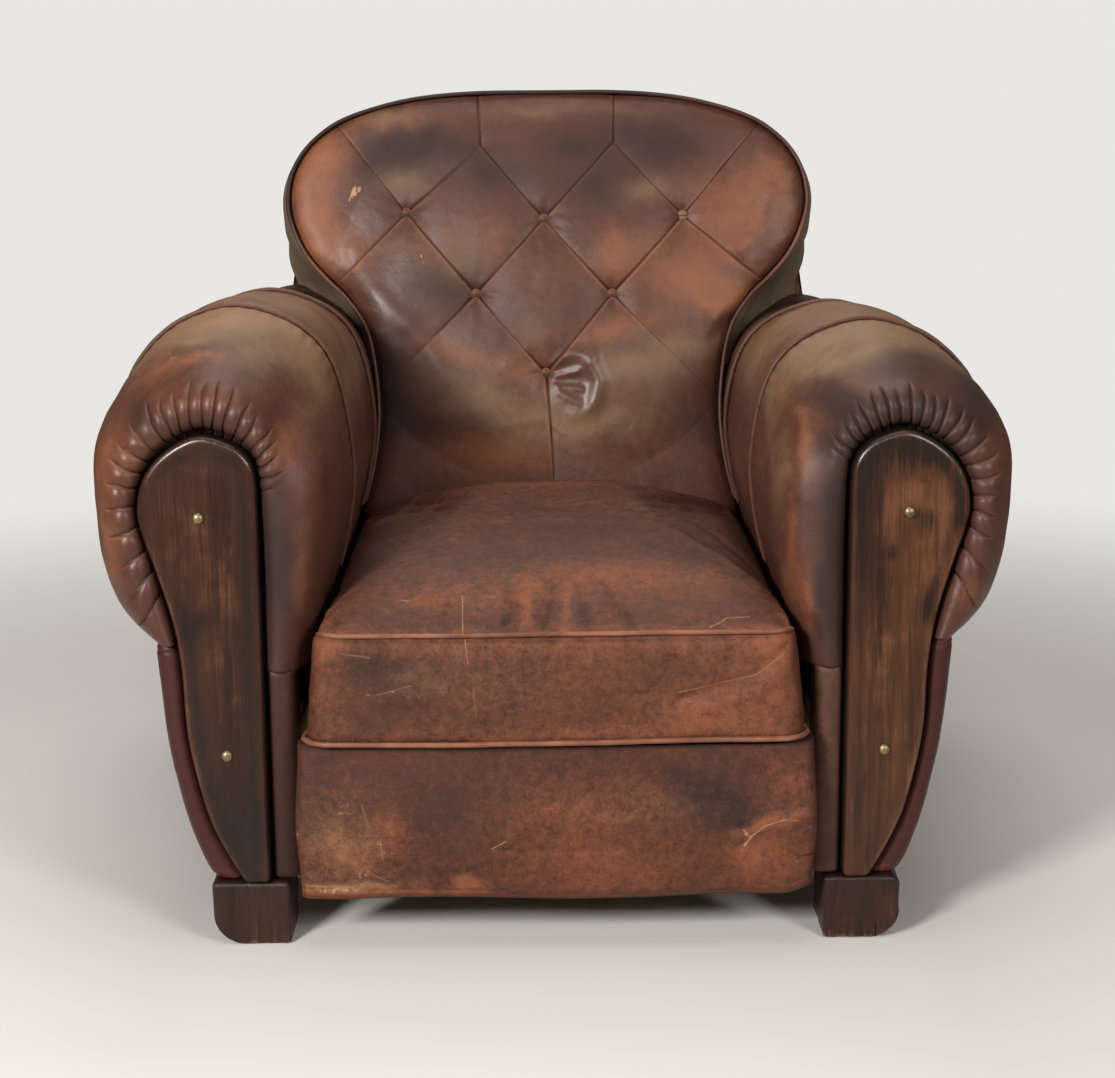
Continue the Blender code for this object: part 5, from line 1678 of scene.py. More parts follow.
    def end_rows(self, last: np.ndarray) -> np.ndarray:
        """Leather drawn flat over the rear end of the roll.

        Args:
            last: the roll's last row of places, with its grime and painted shade in the fourth column.

        Returns:
            Rows from beside the last one in to the straight line between its two ends.
        """
        along = np.linspace(0, 1, len(last))
        chord = last[0] + (last[-1] - last[0]) * along[:, None]
        out = np.array([0.985, 0.965, 0.93, 0.88, 0.82, 0.74, 0.64, 0.52, 0.38, 0.20, 0.0])[:, None, None]
        rows = chord + (last - chord) * out
        folds = np.sin(along * 190 + 3 * np.sin(along * 23))
        rows[..., 1] = self.rear_y - 0.0009 * (1 + folds) * bell(out[..., 0] - 0.93, 0.08)
        rows[..., 3] = 0.30 * bell(out[..., 0] - 0.97, 0.03) * (0.5 - 0.5 * folds)
        return rows

    def make_cord(self, kind: str, y: float) -> bpy.types.Object:
        """Cord in a seam of the arm, from the seat over the roll to the seam below it.

        Args:
            kind: first part of the piece's name.
            y: depth of the seam.

        Returns:
            The cord.
        """
        path = offset_line(self.roll_section(420), 0.0021)
        path = self.sunk(path, y)
        top = int(np.argmax(path[:, 1]))
        keep = np.where(np.arange(len(path)) < top, path[:, 1] > 0.345, path[:, 1] > self.panel_top + 0.002)
        path = respace(path[keep], 300)
        path = self.flip(np.column_stack([path[:, 0], np.full(len(path), y), path[:, 1]]))
        cord = add_cord(f"{kind}_{self.label}", path, self.cord_radius, uneven=0.07, seed=self.seed + 20)
        places = places_of(cord)
        paint = Paintwork(places)
        away = np.abs(places[:, 1] - y)
        paint.add(Tone.WORN, 0.65 * smoothstep(0.0024, 0.0012, away) + 0.2 * rolling_noise(places, 0.05, 3))
        paint.add(Tone.DUST, 0.35 * smoothstep(0.40, 0.55, places[:, 2]))
        # Grime and painted shade on the cord's flanks, where it meets the leather.
        paint.add(Tone.FOLD, 0.35 * smoothstep(0.0018, 0.0027, away))
        paint.store(cord)
        return cord

    def make_panel(self) -> bpy.types.Object:
        """Outer side panel, wrapped to the front beside the board."""
        rows = 150
        line = spline(self.panel_line, rows)
        edge = spline(self.board_curve, 900)
        lower = edge[edge[:, 1] < 0.44][::-1]
        board = np.interp(line[:, 1], lower[:, 1], lower[:, 0])
        z = line[:, 1]
        x = line[:, 0]
        front = self.board_back + 0.0003
        knots = []
        for b, w in zip(board, x):
            wide = w - b
            knots.append(np.array([
                (b + 0.0012, front + 0.004), (b + 0.0018, front - 0.006), (b + 0.22 * wide, front - 0.0115),
                (b + 0.5 * wide, front - 0.0130), (b + 0.80 * wide, front - 0.0095), (w - 0.0006, front - 0.001),
                (w + 0.0002, front + 0.010)]))
        wraps = np.stack([spline(k, 46) for k in knots])
        back = np.linspace(front + 0.014, self.rear_y, 150)
        sides = np.stack([np.column_stack([np.full(150, w), back]) for w in x])
        flat = np.concatenate([wraps, sides], axis=1)
        outer = np.stack([flat[..., 0], flat[..., 1], z[:, None] + 0 * flat[..., 0]], axis=-1)
        normal = surface_normals(outer)
        normal *= np.sign(normal[rows // 2, -20, 0])
        points = outer.reshape(-1, 3)
        to_top, to_low = self.panel_top - z[:, None], z[:, None] - LEATHER_LOW
        shape = outer.shape[:2]
        height = (0.0016 * rolling_noise(points, 0.13, self.seed + 31)
                  + 0.0003 * rolling_noise(points, 0.02, self.seed + 32)).reshape(shape)
        height -= 0.0022 * smoothstep(0.007, 0.0, to_top) + 0.0016 * smoothstep(0.006, 0.0, to_low)
        height -= 0.0010 * bell(to_top - 0.0075, 0.0016)
        pull = np.sin(outer[..., 1] * 120 + 3 * soft_noise(points, 0.08, self.seed + 33).reshape(shape))
        height += 0.0006 * pull * bell(to_top - 0.02, 0.018) * smoothstep(front, front + 0.04, outer[..., 1])
        outer = outer + normal * height[..., None]
        outer[0, :, 2], outer[-1, :, 2] = z[0], z[-1]
        inner = outer[[0, rows // 2, rows - 1]] - normal[[0, rows // 2, rows - 1]] * 0.0035
        inner[0, :, 2], inner[-1, :, 2] = z[0], z[-1]
        panel = add_skin("arm_side_" + self.label, self.flip(outer), self.flip(inner))
        paint = Paintwork(places_of(panel))
        from_board = np.arange(shape[1])[None, :] + 0 * z[:, None]
        # Painted shade in the gap beside the board; the top seam is darkened too.
        paint.add(Tone.FOLD, 0.9 * smoothstep(9, 0, from_board) + 0.5 * bell(to_top, 0.003))
        paint.add(Tone.WORN, 0.45 * bell(to_low - 0.004, 0.006) + 0.3 * bell(to_top - 0.003, 0.003) + 0 * from_board)
        paint.mark([*patches(Tone.WORN, (-200, 120, 120, 30, 0.5), (360, 200, 60, 100, 0.5), (50, 85, 200, 12, 0.6)),
                    *patches(Tone.DARK, (100, 220, 120, 60, 0.6), (-300, 270, 80, 50, 0.4)),
                    *patches(Tone.SCUFF, (220, 140, 12, 4, 0.6, 30))],
                   axes=(1, 2), seed=self.seed + 6, mask=smoothstep(-0.37, -0.33, paint.places[:, 1]))
        paint.store(panel)
        return panel

    def make_strip(self) -> bpy.types.Object:
        """Narrow leather strip between the board and the seat."""
        rows, top, low = 120, self.strip_top, LEATHER_LOW
        z = np.linspace(low, top, rows)[:, None]
        front = self.board_back + 0.0003
        line = spline([(0.2895, front + 0.0025), (0.2842, front + 0.0025), (0.2829, front - 0.001),
                       (0.2827, front - 0.006), (0.2790, front - 0.0105), (0.2700, front - 0.0120),
                       (0.2610, front - 0.0090), (0.2550, front - 0.002), (0.2527, front + 0.0075)], 60)
        outer = np.stack([line[None, :, 0] + 0 * z, line[None, :, 1] + 0 * z, z + 0 * line[None, :, 0]], axis=-1)
        points = outer.reshape(-1, 3)
        bulge = (0.0009 * rolling_noise(points, 0.06, self.seed + 41)).reshape(outer.shape[:2])
        bulge -= 0.0018 * smoothstep(0.007, 0.0, top - z) + 0.0012 * smoothstep(0.006, 0.0, z - low)
        outer[..., 1] -= bulge
        inner = outer[[0, rows // 2, rows - 1]].copy()
        middle = np.array([0.2700, front + 0.006])
        inner[..., 0] += (middle[0] - inner[..., 0]) * 0.12
        inner[..., 1] = np.maximum(inner[..., 1] + 0.004, front + 0.0035)
        strip = add_skin("arm_strip_" + self.label, self.flip(outer), self.flip(inner))
        paint = Paintwork(places_of(strip))
        column = np.arange(60)[None, :] + 0 * z
        # Painted shade on the edges that turn back beside the board and beside the seat.
        paint.add(Tone.FOLD, 0.85 * smoothstep(22, 10, column) + 0.7 * smoothstep(52, 59, column))
        worn, dust, dark = (0.22, 0.10, 0.50) if self.side < 0 else (0.40, 0.30, 0.15)
        # A lighter line along the top seam and a lighter band down the strip's rounded front: rubbing, and painted
        # highlight.
        paint.add(Tone.WORN, 0.95 * bell(top - z - 0.0025, 0.0028) + worn * bell(column - 36, 12))
        paint.add(Tone.DUST, dust + 0 * column)
        paint.add(Tone.DARK, 0.3 * smoothstep(0.16, 0.07, z) + dark + 0 * column)
        paint.store(strip)
        return strip

    def make_board(self) -> bpy.types.Object:
        """Shaped wooden board on the arm's front, with a softened edge, cracks and rubbed corners."""
        curve = spline(self.board_curve, 90)
        outline = np.vstack([[self.board_inner, self.board_low], curve])
        outline = self.flip(np.column_stack([outline[:, 0], 0 * outline[:, 0], outline[:, 1]]))
        deselect_all()
        bpy.ops.mesh.primitive_circle_add(vertices=len(outline), fill_type="NGON", radius=0.1,
                                          location=(0, 0, 0))
        board = bpy.context.object
        board.name = "arm_board_front_" + self.label
        order = outline if self.side > 0 else outline[::-1]
        order = order + [0, self.board_back, 0]
        board.data.vertices.foreach_set("co", np.ascontiguousarray(order).ravel())
        bpy.ops.object.mode_set(mode="EDIT")
        bpy.ops.mesh.select_all(action="SELECT")
        depth = self.board_back - self.board_front
        bpy.ops.mesh.extrude_region_move(TRANSFORM_OT_translate={"value": (0, -depth, 0)})
        bpy.ops.mesh.select_all(action="SELECT")
        bpy.ops.mesh.normals_make_consistent(inside=False)
        bpy.ops.object.mode_set(mode="OBJECT")
        self.soften_front(board)
        self.crack(board)
        for _, x, z in self.domes:
            self.drill(board, x * self.side, z)
        board.data.shade_smooth()
        board.data.set_sharp_from_angle(angle=math.radians(32))
        self.split_faces(board)
        places = places_of(board)
        paint = Paintwork(places)
        rim = line_distance(places[:, 0], places[:, 2], outline[:, [0, 2]])
        outer_edge = np.abs(places[:, 0]) > self.board_inner + 0.012
        low_half = smoothstep(0.46, 0.36, places[:, 2])
        paint.add(Tone.WORN, 0.7 * bell(rim - 0.0030, 0.0022) * outer_edge * low_half)
        paint.add(Tone.SCUFF, 0.40 * bell(rim - 0.0026, 0.0008) * outer_edge * low_half)
        ahead = smoothstep(self.board_front + 0.010, self.board_front + 0.005, places[:, 1])
        # Painted shade at the board's outer edge and in a band just inside its rounded rim.
        paint.add(Tone.DARK, 0.8 * bell(rim, 0.0014) + 0.45 * bell(rim - 0.012, 0.005))
        crown = smoothstep(0.40, 0.48, places[:, 2])
        paint.add(Tone.GLOSS, 0.8 * bell(rim - 0.0034, 0.0030) * (0.3 + 0.7 * crown))
        beyond = smoothstep(0.290, 0.306, np.abs(places[:, 0]))
        # Painted highlight: a thin pale line along the rounded top edge.
        paint.add(Tone.SCUFF, 0.46 * bell(rim - 0.0034, 0.0008) * ahead * crown * beyond)
        # Painted shade on the board's sides, behind its rounded front.
        paint.add(Tone.FOLD, 0.8 * smoothstep(self.board_front + 0.0055, self.board_front + 0.012, places[:, 1]))
        for _, x, z in self.domes:
            r = np.hypot(places[:, 0] - x * self.side, places[:, 2] - z)
            paint.add(Tone.FOLD, 0.5 * bell(r - 0.0070, 0.0018))
        paint.mark(self.board_marks(), seed=self.seed + 8)
        paint.store(board)
        return board

    def soften_front(self, board: bpy.types.Object) -> None:
        """Rounds the edge round the board's front face."""
        apply_modifier(board, "BEVEL", limit_method="ANGLE", angle_limit=math.radians(60), width=self.board_rounding,
                       segments=7, use_clamp_overlap=False)

    def crack(self, board: bpy.types.Object) -> None:
        """Cuts the drying cracks into the board.

        Args:
            board: the board.
        """
        lines = {
            "left": [((-0.2905, 0.300), (-0.2898, 0.235), 0.0010)],
            "right": [((0.3215, 0.385), (0.3262, 0.332), 0.0016), ((0.3262, 0.334), (0.3275, 0.310), 0.0012),
                      ((0.3190, 0.372), (0.3200, 0.350), 0.0009), ((0.3120, 0.375), (0.3116, 0.346), 0.0008),
                      ((0.3455, 0.330), (0.3448, 0.312), 0.0010)],
        }[self.label]
        for (x0, z0), (x1, z1), width in lines:
            deselect_all()
            middle = ((x0 + x1) / 2, self.board_front, (z0 + z1) / 2)
            lean = math.atan2(x1 - x0, z0 - z1)
            bpy.ops.mesh.primitive_cube_add(size=1.0, location=middle, rotation=(0, lean, 0))
            wedge = bpy.context.object
            wedge.scale = (width, 0.009, math.hypot(x1 - x0, z1 - z0))
            bpy.ops.object.transform_apply(location=False, rotation=False, scale=True)
            bpy.ops.object.mode_set(mode="EDIT")
            bpy.ops.mesh.select_all(action="SELECT")
            bpy.ops.mesh.subdivide(number_cuts=3)
            bpy.ops.object.mode_set(mode="OBJECT")
            half = math.hypot(x1 - x0, z1 - z0) / 2
            for vertex in wedge.data.vertices:
                taper = 1 - 0.85 * abs(vertex.co.z / half) ** 1.5
                deep = 1 if vertex.co.y < 0 else 0.25
                vertex.co.x = vertex.co.x * taper * deep + 0.0004 * math.sin(vertex.co.z * 190)
            self.subtract(board, wedge)

    def drill(self, board: bpy.types.Object, x: float, z: float) -> None:
        """Drills the board for a dome's shank.

        Args:
            board: the board.
            x: place of the hole across.
            z: its height.
        """
        deselect_all()
        bpy.ops.mesh.primitive_cylinder_add(vertices=24, radius=self.shank_radius, depth=0.06,
                                            location=(x, self.board_front, z), rotation=(math.pi / 2, 0, 0))
        self.subtract(board, bpy.context.object)

    def subtract(self, board: bpy.types.Object, tool: bpy.types.Object) -> None:
        """Cuts a tool's shape out of the board and removes the tool."""
        apply_modifier(board, "BOOLEAN", operation="DIFFERENCE", solver="EXACT", object=tool)
        bpy.data.objects.remove(tool, do_unlink=True)

    def split_faces(self, board: bpy.types.Object) -> None:
        """Gives the board's flat faces enough vertices to carry its wear, by slicing it in both directions.

        Args:
            board: the board.
        """
        activate(board)
        low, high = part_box("facing_" + self.label)
        bpy.ops.object.mode_set(mode="EDIT")
        for axis, pitch in ((2, 0.008), (0, 0.006)):
            start, end = low[axis], high[axis]
            for k in range(1, int((end - start) / pitch)):
                at = [0.0, 0.0, 0.0]
                at[axis] = start + k * pitch
                normal = [0.0, 0.0, 0.0]
                normal[axis] = 1.0
                bpy.ops.mesh.select_all(action="SELECT")
                bpy.ops.mesh.bisect(plane_co=at, plane_no=normal)
        bpy.ops.object.mode_set(mode="OBJECT")

    def board_marks(self) -> list[Mark | Stroke]:
        """Wear and blackening of the board, and painted shade low on the left board."""
        if self.label == "left":
            return [*patches(Tone.DARK, (-300, 400, 12, 120, 0.35), (-340, 500, 50, 12, 0.4),
                             # (-310, 120) and (-325, 230) are painted shade on the left board's lower half.
                             (-355, 335, 20, 30, 0.6), (-310, 120, 40, 60, 0.6), (-325, 230, 50, 110, 0.4)),
                    *patches(Tone.WORN, (-345, 420, 30, 60, 0.45), (-320, 280, 30, 60, 0.35),
                             (-330, 360, 20, 30, 0.4)),
                    *bands(Tone.WORN, (2.2, 0.35, -292.5, 460, -292.5, 100)),
                    *patches(Tone.FOLD, (-316, 146, 3, 3, 0.7)),
                    *patches(Tone.SCUFF, (-315.5, 147.5, 1.4, 1.4, 0.9))]
        return [*patches(Tone.DARK, (345, 500, 50, 22, 1), (300, 470, 20, 34, 0.6), (322, 360, 10, 35, 0.7),
                         (390, 445, 10, 35, 0.8), (352, 425, 12, 14, 0.7), (330, 405, 16, 10, 0.6),
                         (298, 400, 18, 60, 0.5), (362, 350, 8, 20, 0.7), (300, 150, 12, 50, 0.4),
                         (325, 215, 12, 10, 0.4)),
                *patches(Tone.WORN, (345, 455, 35, 22, 0.55), (370, 430, 18, 40, 0.7), (325, 425, 20, 30, 0.4),
                         (350, 385, 30, 20, 0.4), (320, 290, 30, 40, 0.6), (335, 200, 25, 50, 0.45)),
                *bands(Tone.SCUFF, (0.8, 0.42, 288, 160, 287.2, 75)),
                *bands(Tone.DARK, (2, 0.8, 303.5, 120, 307, 80))]

    def make_domes(self) -> list[bpy.types.Object]:
        """Brass dome heads, each with a shank in the board."""
        made = []
        for place, x, z in self.domes:
            deselect_all()
            middle = (x * self.side, self.board_front, z)
            bpy.ops.mesh.primitive_uv_sphere_add(segments=40, ring_count=24, radius=self.dome_radius, location=middle,
                                                 rotation=(math.pi / 2, 0, 0))
            dome = bpy.context.object
            dome.name = f"brass_dome_{place}_{self.label}"
            dome.scale = (1.0, 1.0, 0.66)
            bpy.ops.object.transform_apply(location=True, rotation=True, scale=True)
            bpy.ops.object.mode_set(mode="EDIT")
            bpy.ops.mesh.select_all(action="SELECT")
            bpy.ops.mesh.bisect(plane_co=(0, self.board_front - 0.0002, 0), plane_no=(0, 1, 0), clear_outer=True,
                                use_fill=True)
            bm = bmesh.from_edit_mesh(dome.data)
            for face in bm.faces:
                face.select_set(face.normal.y > 0.9 and face.calc_center_median().y > self.board_front - 0.0004)
            bmesh.update_edit_mesh(dome.data)
            bpy.ops.mesh.inset(thickness=0.0037)
            bpy.ops.mesh.extrude_region_move(TRANSFORM_OT_translate={"value": (0, 0.032, 0)})
            bpy.ops.object.mode_set(mode="OBJECT")
            dome.data.shade_smooth()
            dome.data.set_sharp_from_angle(angle=math.radians(40))
            made.append(dome)
        return made

    def build(self, book: "Finishes") -> None:
        """Makes and dresses every piece of the arm.

        Args:
            book: the materials.
        """
        label = self.label
        dress(self.make_front(), book.leather, "leather", "arm_cap_" + label)
        dress(self.make_body(), book.leather, "leather", "arm_body_" + label)
        dress(self.make_cord("arm_cord", self.seam_y), book.cord, "leather", "arm_welt_" + label)
        dress(self.make_cord("arm_end_cord", self.end_seam_y), book.cord, "leather", "arm_end_welt_" + label)
        dress(self.make_panel(), book.panel, "panel_leather", "outside_arm_" + label)
        dress(self.make_strip(), book.strip, "leather", "inside_strip_" + label)
        dress(self.make_board(), book.boards[label], "board_wood", "facing_" + label)
        for (place, _, _), dome in zip(self.domes, self.make_domes()):
            dress(dome, book.brass, "brass", f"facing_screw_{place}_{label}")


# ---------------------------------------------------------------- the seat

@dataclass
class Seat:
    """Loose cushion with its two cords, and the leather apron under it."""

    front_y: float = -0.4325
    rear_y: float = 0.118
    bow: float = 0.004
    front_corner: float = 0.028
    rear_corner: float = 0.045
    bottom_z: float = DECK_Z
    edge_z: float = 0.327
    rear_rise: float = 0.002
    crown_z: float = 0.385
    cord_radius: float = 0.0024
    inset: float = 0.0015
    apron_top: float = 0.2135
    apron_bottom: float = 0.054
    around: int = 220               # points of an outline in plan
    voxel: float = 0.0055
    swell_cap: float = 0.012        # how far the simulation may move a point

    def half_width(self, y: np.ndarray, low: np.ndarray | float) -> np.ndarray:
        """Half width at a depth; low is 1 at the bottom and 0 at the upper edge."""
        return 0.2235 + 0.0125 * smoothstep(-0.29, self.front_y + 0.02, y) + 0.010 * low

    def edge(self, y: np.ndarray) -> np.ndarray:
        """Height of the upper cord at a depth."""
        return self.edge_z + self.rear_rise * (y - self.front_y) / (self.rear_y - self.front_y)

    def plan(self, count: int, low: float, inset: float = 0.0) -> np.ndarray:
        """Closed outline in plan, from the middle of the front round the right side.

        Args:
            count: number of points.
            low: 1 at the bottom and 0 at the upper edge.
            inset: distance inside the cushion's own outline.

        Returns:
            Array (count, 2).
        """
        front, rear = self.front_y + inset, self.rear_y - inset
        half = [(0.0, front - self.bow), (0.08, front - self.bow * 0.9), (0.16, front - self.bow * 0.4)]
        for radius, middle, start in ((self.front_corner, front + self.front_corner, -90),
                                      (self.rear_corner, rear - self.rear_corner, 0)):
            for degrees in range(start, start + 91, 18):
                a = math.radians(degrees)
                y = middle + radius * math.sin(a)
                half.append((float(self.half_width(y, low)) - inset - radius * (1 - math.cos(a)), y))
            if start < 0:
                half += [(float(self.half_width(y, low)) - inset, y) for y in (-0.34, -0.25, -0.12, 0.0)]
        half += [(0.10, rear), (0.0, rear)]
        half = np.array(half)
        return spline(np.vstack([half, half[-2:0:-1] * [-1, 1]]), count, closed=True)

    def crown(self, x: np.ndarray, y: np.ndarray) -> np.ndarray:
        """Height of the stuffed top: steep at its sides, sloping up from the front, lower behind.

        Args:
            x: places across.
            y: depths.

        Returns:
            Heights.
        """
        along = np.clip((y - self.front_y) / (self.rear_y - self.front_y), 0, 1)
        boxy = 8 - 4.4 * smoothstep(0.30, 0.95, along)
        sides = np.sqrt(np.clip(1 - (np.abs(x) / (self.half_width(y, 0.0) - self.inset)) ** boxy, 0, 1))
        slope = 0.66 * (1 - (1 - np.clip(along / 0.26, 0, 1)) ** 2.2) + 0.34 * smoothstep(0.08, 0.72, along)
        behind = np.sqrt(np.clip(1 - np.clip((along - 0.82) / 0.18, 0, 1) ** 2.6, 0, 1))
        edge = self.edge(y) - 0.004
        return edge + (self.crown_z - 0.003 - edge) * sides * slope * behind

    def make_cushion(self) -> bpy.types.Object:
        """The stuffed seat cushion: blown up as cloth between its seams, then creased by use."""
        ring_count = self.around
        rings = []
        for share in np.linspace(0, 1, 17):
            low = 1 - share
            plan = self.plan(ring_count, low, self.inset)
            top = self.edge(plan[:, 1]) - 0.004
            rings.append(np.column_stack([plan, self.bottom_z + 0.002 + (top - self.bottom_z - 0.002) * share]))
        middle_y = (self.front_y + self.rear_y) / 2
        for scale in (0.994, 0.980, 0.955, 0.92, 0.87, 0.80, 0.70, 0.58, 0.45, 0.32, 0.20, 0.10):
            plan = self.plan(ring_count, 0.0, self.inset)
            x, y = plan[:, 0] * scale, middle_y + (plan[:, 1] - middle_y) * scale
            rings.append(np.column_stack([x, y, self.crown(x, y)]))
        places = np.vstack([*rings, [[0, middle_y, rings[-1][:, 2].max() + 0.001]],
                            [[0, middle_y, self.bottom_z + 0.002]]])
        faces = []
        for i in range(len(rings) - 1):
            a = i * ring_count + np.arange(ring_count)
            b = a + ring_count
            faces += np.stack([a, np.roll(a, -1), np.roll(b, -1), b], axis=-1).tolist()
        last = (len(rings) - 1) * ring_count
        faces += [(last + k, last + (k + 1) % ring_count, len(places) - 2) for k in range(ring_count)]
        faces += [((k + 1) % ring_count, k, len(places) - 1) for k in range(ring_count)]
        cushion = new_mesh("seat_cushion_leather", places, faces)
        apply_modifier(cushion, "REMESH", mode="VOXEL", voxel_size=self.voxel)
        self.inflate(cushion)
        apply_modifier(cushion, "SUBSURF", levels=1, render_levels=1)
        self.crease(cushion)
        cushion.data.shade_smooth()
        self.paint_cushion(cushion)
        return cushion

    def inflate(self, cushion: bpy.types.Object) -> None:
        """Blows the cushion up as cloth, held along its seams, and keeps the movement modest.

        Args:
            cushion: the cushion.
        """
        before = places_of(cushion)
        held = cushion.vertex_groups.new(name="seams")
        plan = self.plan(self.around, 0.0, self.inset)
        low_plan = self.plan(self.around, 1.0, self.inset)
        top_gap = self.to_ring(before, np.column_stack([plan, self.edge(plan[:, 1]) - 0.004]))
        low_gap = self.to_ring(before, np.column_stack([low_plan, np.full(self.around, self.bottom_z + 0.002)]))
        near = np.minimum(top_gap, low_gap)
        for index in np.nonzero((near < 0.009) | (before[:, 2] < self.bottom_z + 0.006))[0]:
            held.add([int(index)], 1.0, "REPLACE")
        cloth = cushion.modifiers.new("cloth", "CLOTH")
        cloth.settings.use_pressure = True
        cloth.settings.uniform_pressure_force = 4.0
        cloth.settings.vertex_group_mass = held.name
        cloth.settings.tension_stiffness = 22
        cloth.settings.bending_stiffness = 1.2
        cloth.settings.effector_weights.gravity = 0
        cloth.settings.quality = 4
        for number in range(1, 21):
            bpy.context.scene.frame_set(number)
        bpy.context.view_layer.update()
        moved = cushion.evaluated_get(bpy.context.evaluated_depsgraph_get()).to_mesh()
        after = np.array([v.co for v in moved.vertices])
        cushion.modifiers.remove(cloth)
        cushion.vertex_groups.clear()
        bpy.context.scene.frame_set(1)
        step = after - before
        size = np.linalg.norm(step, axis=1, keepdims=True)
        step *= np.minimum(1.0, self.swell_cap / np.maximum(size, 1e-9))
        cushion.data.vertices.foreach_set("co", (before + step).ravel())

    def to_ring(self, places: np.ndarray, ring: np.ndarray) -> np.ndarray:
        """Distance from each place to the nearest point of a ring.

        Args:
            places: array (n, 3).
            ring: array (m, 3) of the ring's points.

        Returns:
            n distances.
        """
        best = np.full(len(places), 1.0)
        for point in respace(np.vstack([ring, ring[:1]]), 420):
            best = np.minimum(best, np.linalg.norm(places - point, axis=1))
        return best

    def seam_gap(self, places: np.ndarray) -> np.ndarray:
        """Distance from each place to the upper seam."""
        plan = self.plan(self.around, 0.0)
        return self.to_ring(places, np.column_stack([plan, self.edge(plan[:, 1])]))

    def crease(self, cushion: bpy.types.Object) -> None:
        """Seam channels, soft creases and the hollow that sitting has left.

        Args:
            cushion: the cushion.
        """
        places = places_of(cushion)
        normals = normals_of(cushion)
        x, y, z = places.T
        top = smoothstep(0.55, 0.85, normals[:, 2])
        front = smoothstep(-0.55, -0.85, normals[:, 1])
        gap = self.seam_gap(places)
        height = -0.0030 * bell(gap - 0.0030, 0.0040)
        along = np.arctan2(y + 0.157, x)
        height += 0.0007 * np.sin(along * 70 + 3 * soft_noise(places, 0.05, 61)) * bell(gap - 0.014, 0.010)
        height += top * relief(x, y, (
            (-1.2, 5, -98, -425, -100, -375), (-1.6, 6, -45, -425, -40, -345), (1.6, 7, -30, -420, -22, -340),
            (-1.5, 6, -12, -422, -4, -350), (-1, 7, 30, -424, 26, -360), (-1.4, 8, 70, -424, 55, -355),
            (1.2, 9, 100, -424, 92, -370), (-1.2, 4, 125, -420, 165, -398), (2, 20, -20, -330, 110, -320),
            (-3, 50, -160, -120, 150, -90), (1.6, 9, 120, -200, 205, -330), (-1.4, 8, 140, -120, 215, -280),
            (1.6, 12, -120, 10, 60, 30), (1.4, 10, -200, -60, -150, 60)))
        height += front * relief(x, z, (
            (-2.2, 5, 232, 318, 190, 285, 120, 262), (1.6, 7, 232, 300, 196, 268, 140, 250),
            (1.2, 10, -225, 305, -170, 300), (-1, 4, 60, 270, 140, 262), (1, 7, -180, 262, -110, 268)))
        lumps = 0.0018 * rolling_noise(places, 0.09, 63) + 0.0004 * rolling_noise(places, 0.02, 65)
        height += lumps * smoothstep(0.004, 0.03, gap)
        moved = places + normals * height[:, None]
        moved[:, 2] = np.maximum(moved[:, 2], self.bottom_z)
        cushion.data.vertices.foreach_set("co", moved.ravel())
        cushion.data.update()

    def paint_cushion(self, cushion: bpy.types.Object) -> None:
        """Wear, bloom and grime of the cushion.

        Args:
            cushion: the cushion.
        """
        places = places_of(cushion)
        normals = normals_of(cushion)
        top = smoothstep(0.25, 0.70, normals[:, 2])
        front = smoothstep(-0.25, -0.70, normals[:, 1])
        gap = self.seam_gap(places)
        paint = Paintwork(places)
        paint.add(Tone.FOLD, 0.85 * bell(gap - 0.0035, 0.0022) + 0.4 * bell(gap, 0.009) * (1 - front))
        paint.add(Tone.WORN, 0.35 * bell(gap - 0.012, 0.010) * np.maximum(top, front))
        paint.mark([
            *patches(Tone.WORN, (10, -350, 150, 40, 0.6), (60, -315, 80, 30, 0.35), (-110, -370, 60, 30, 0.45),
                     (-130, -50, 100, 40, 0.55, 12), (30, -10, 90, 30, 0.5), (70, -120, 100, 35, 0.35),
                     (150, -340, 50, 30, 0.3)),
            *patches(Tone.DUST, (0, -150, 240, 220, 0.16), (160, -100, 60, 120, 0.25), (-150, -180, 60, 120, 0.2)),
            *patches(Tone.DARK, (-190, -300, 40, 80, 0.5), (0, -215, 130, 20, 0.35), (0, 85, 220, 35, 0.6),
                     (195, -380, 30, 40, 0.45)),
            *bands(Tone.DARK, (5, 0.9, -45, -415, -40, -355), (4, 0.8, -12, -415, -4, -350),
                   (4, 0.6, -100, -415, -100, -380), (4, 0.6, 30, -420, 26, -365), (6, 0.7, 70, -415, 55, -350)),
            *bands(Tone.WORN, (6, 0.7, -28, -415, -22, -345), (6, 0.6, 10, -415, 12, -360)),
            *patches(Tone.SCUFF, (-150, -375, 7, 6, 0.55))],
            axes=(0, 1), seed=71, mask=top)
        paint.mark([
            *patches(Tone.DARK, (-175, 300, 40, 25, 0.8), (-150, 260, 60, 30, 0.5), (110, 225, 30, 20, 0.45),
                     (50, 305, 50, 16, 0.4)),
            *patches(Tone.WORN, (-225, 300, 18, 50, 0.75), (190, 265, 60, 50, 0.6), (130, 245, 60, 20, 0.6),
                     (-40, 270, 60, 30, 0.35), (215, 310, 20, 20, 0.7), (30, 300, 50, 20, 0.3),
                     (20, 228, 200, 8, 0.5)),
            *patches(Tone.DUST, (-120, 285, 80, 30, 0.35)),
            *patches(Tone.SCUFF, (185, 268, 10, 2.2, 0.6, 35)),
            *bands(Tone.SCUFF, (1.2, 0.55, 125, 256.5, 165, 262), (1.2, 0.45, -185, 262, -160, 268, -125, 267))],
            seed=73, mask=front)
        paint.store(cushion)

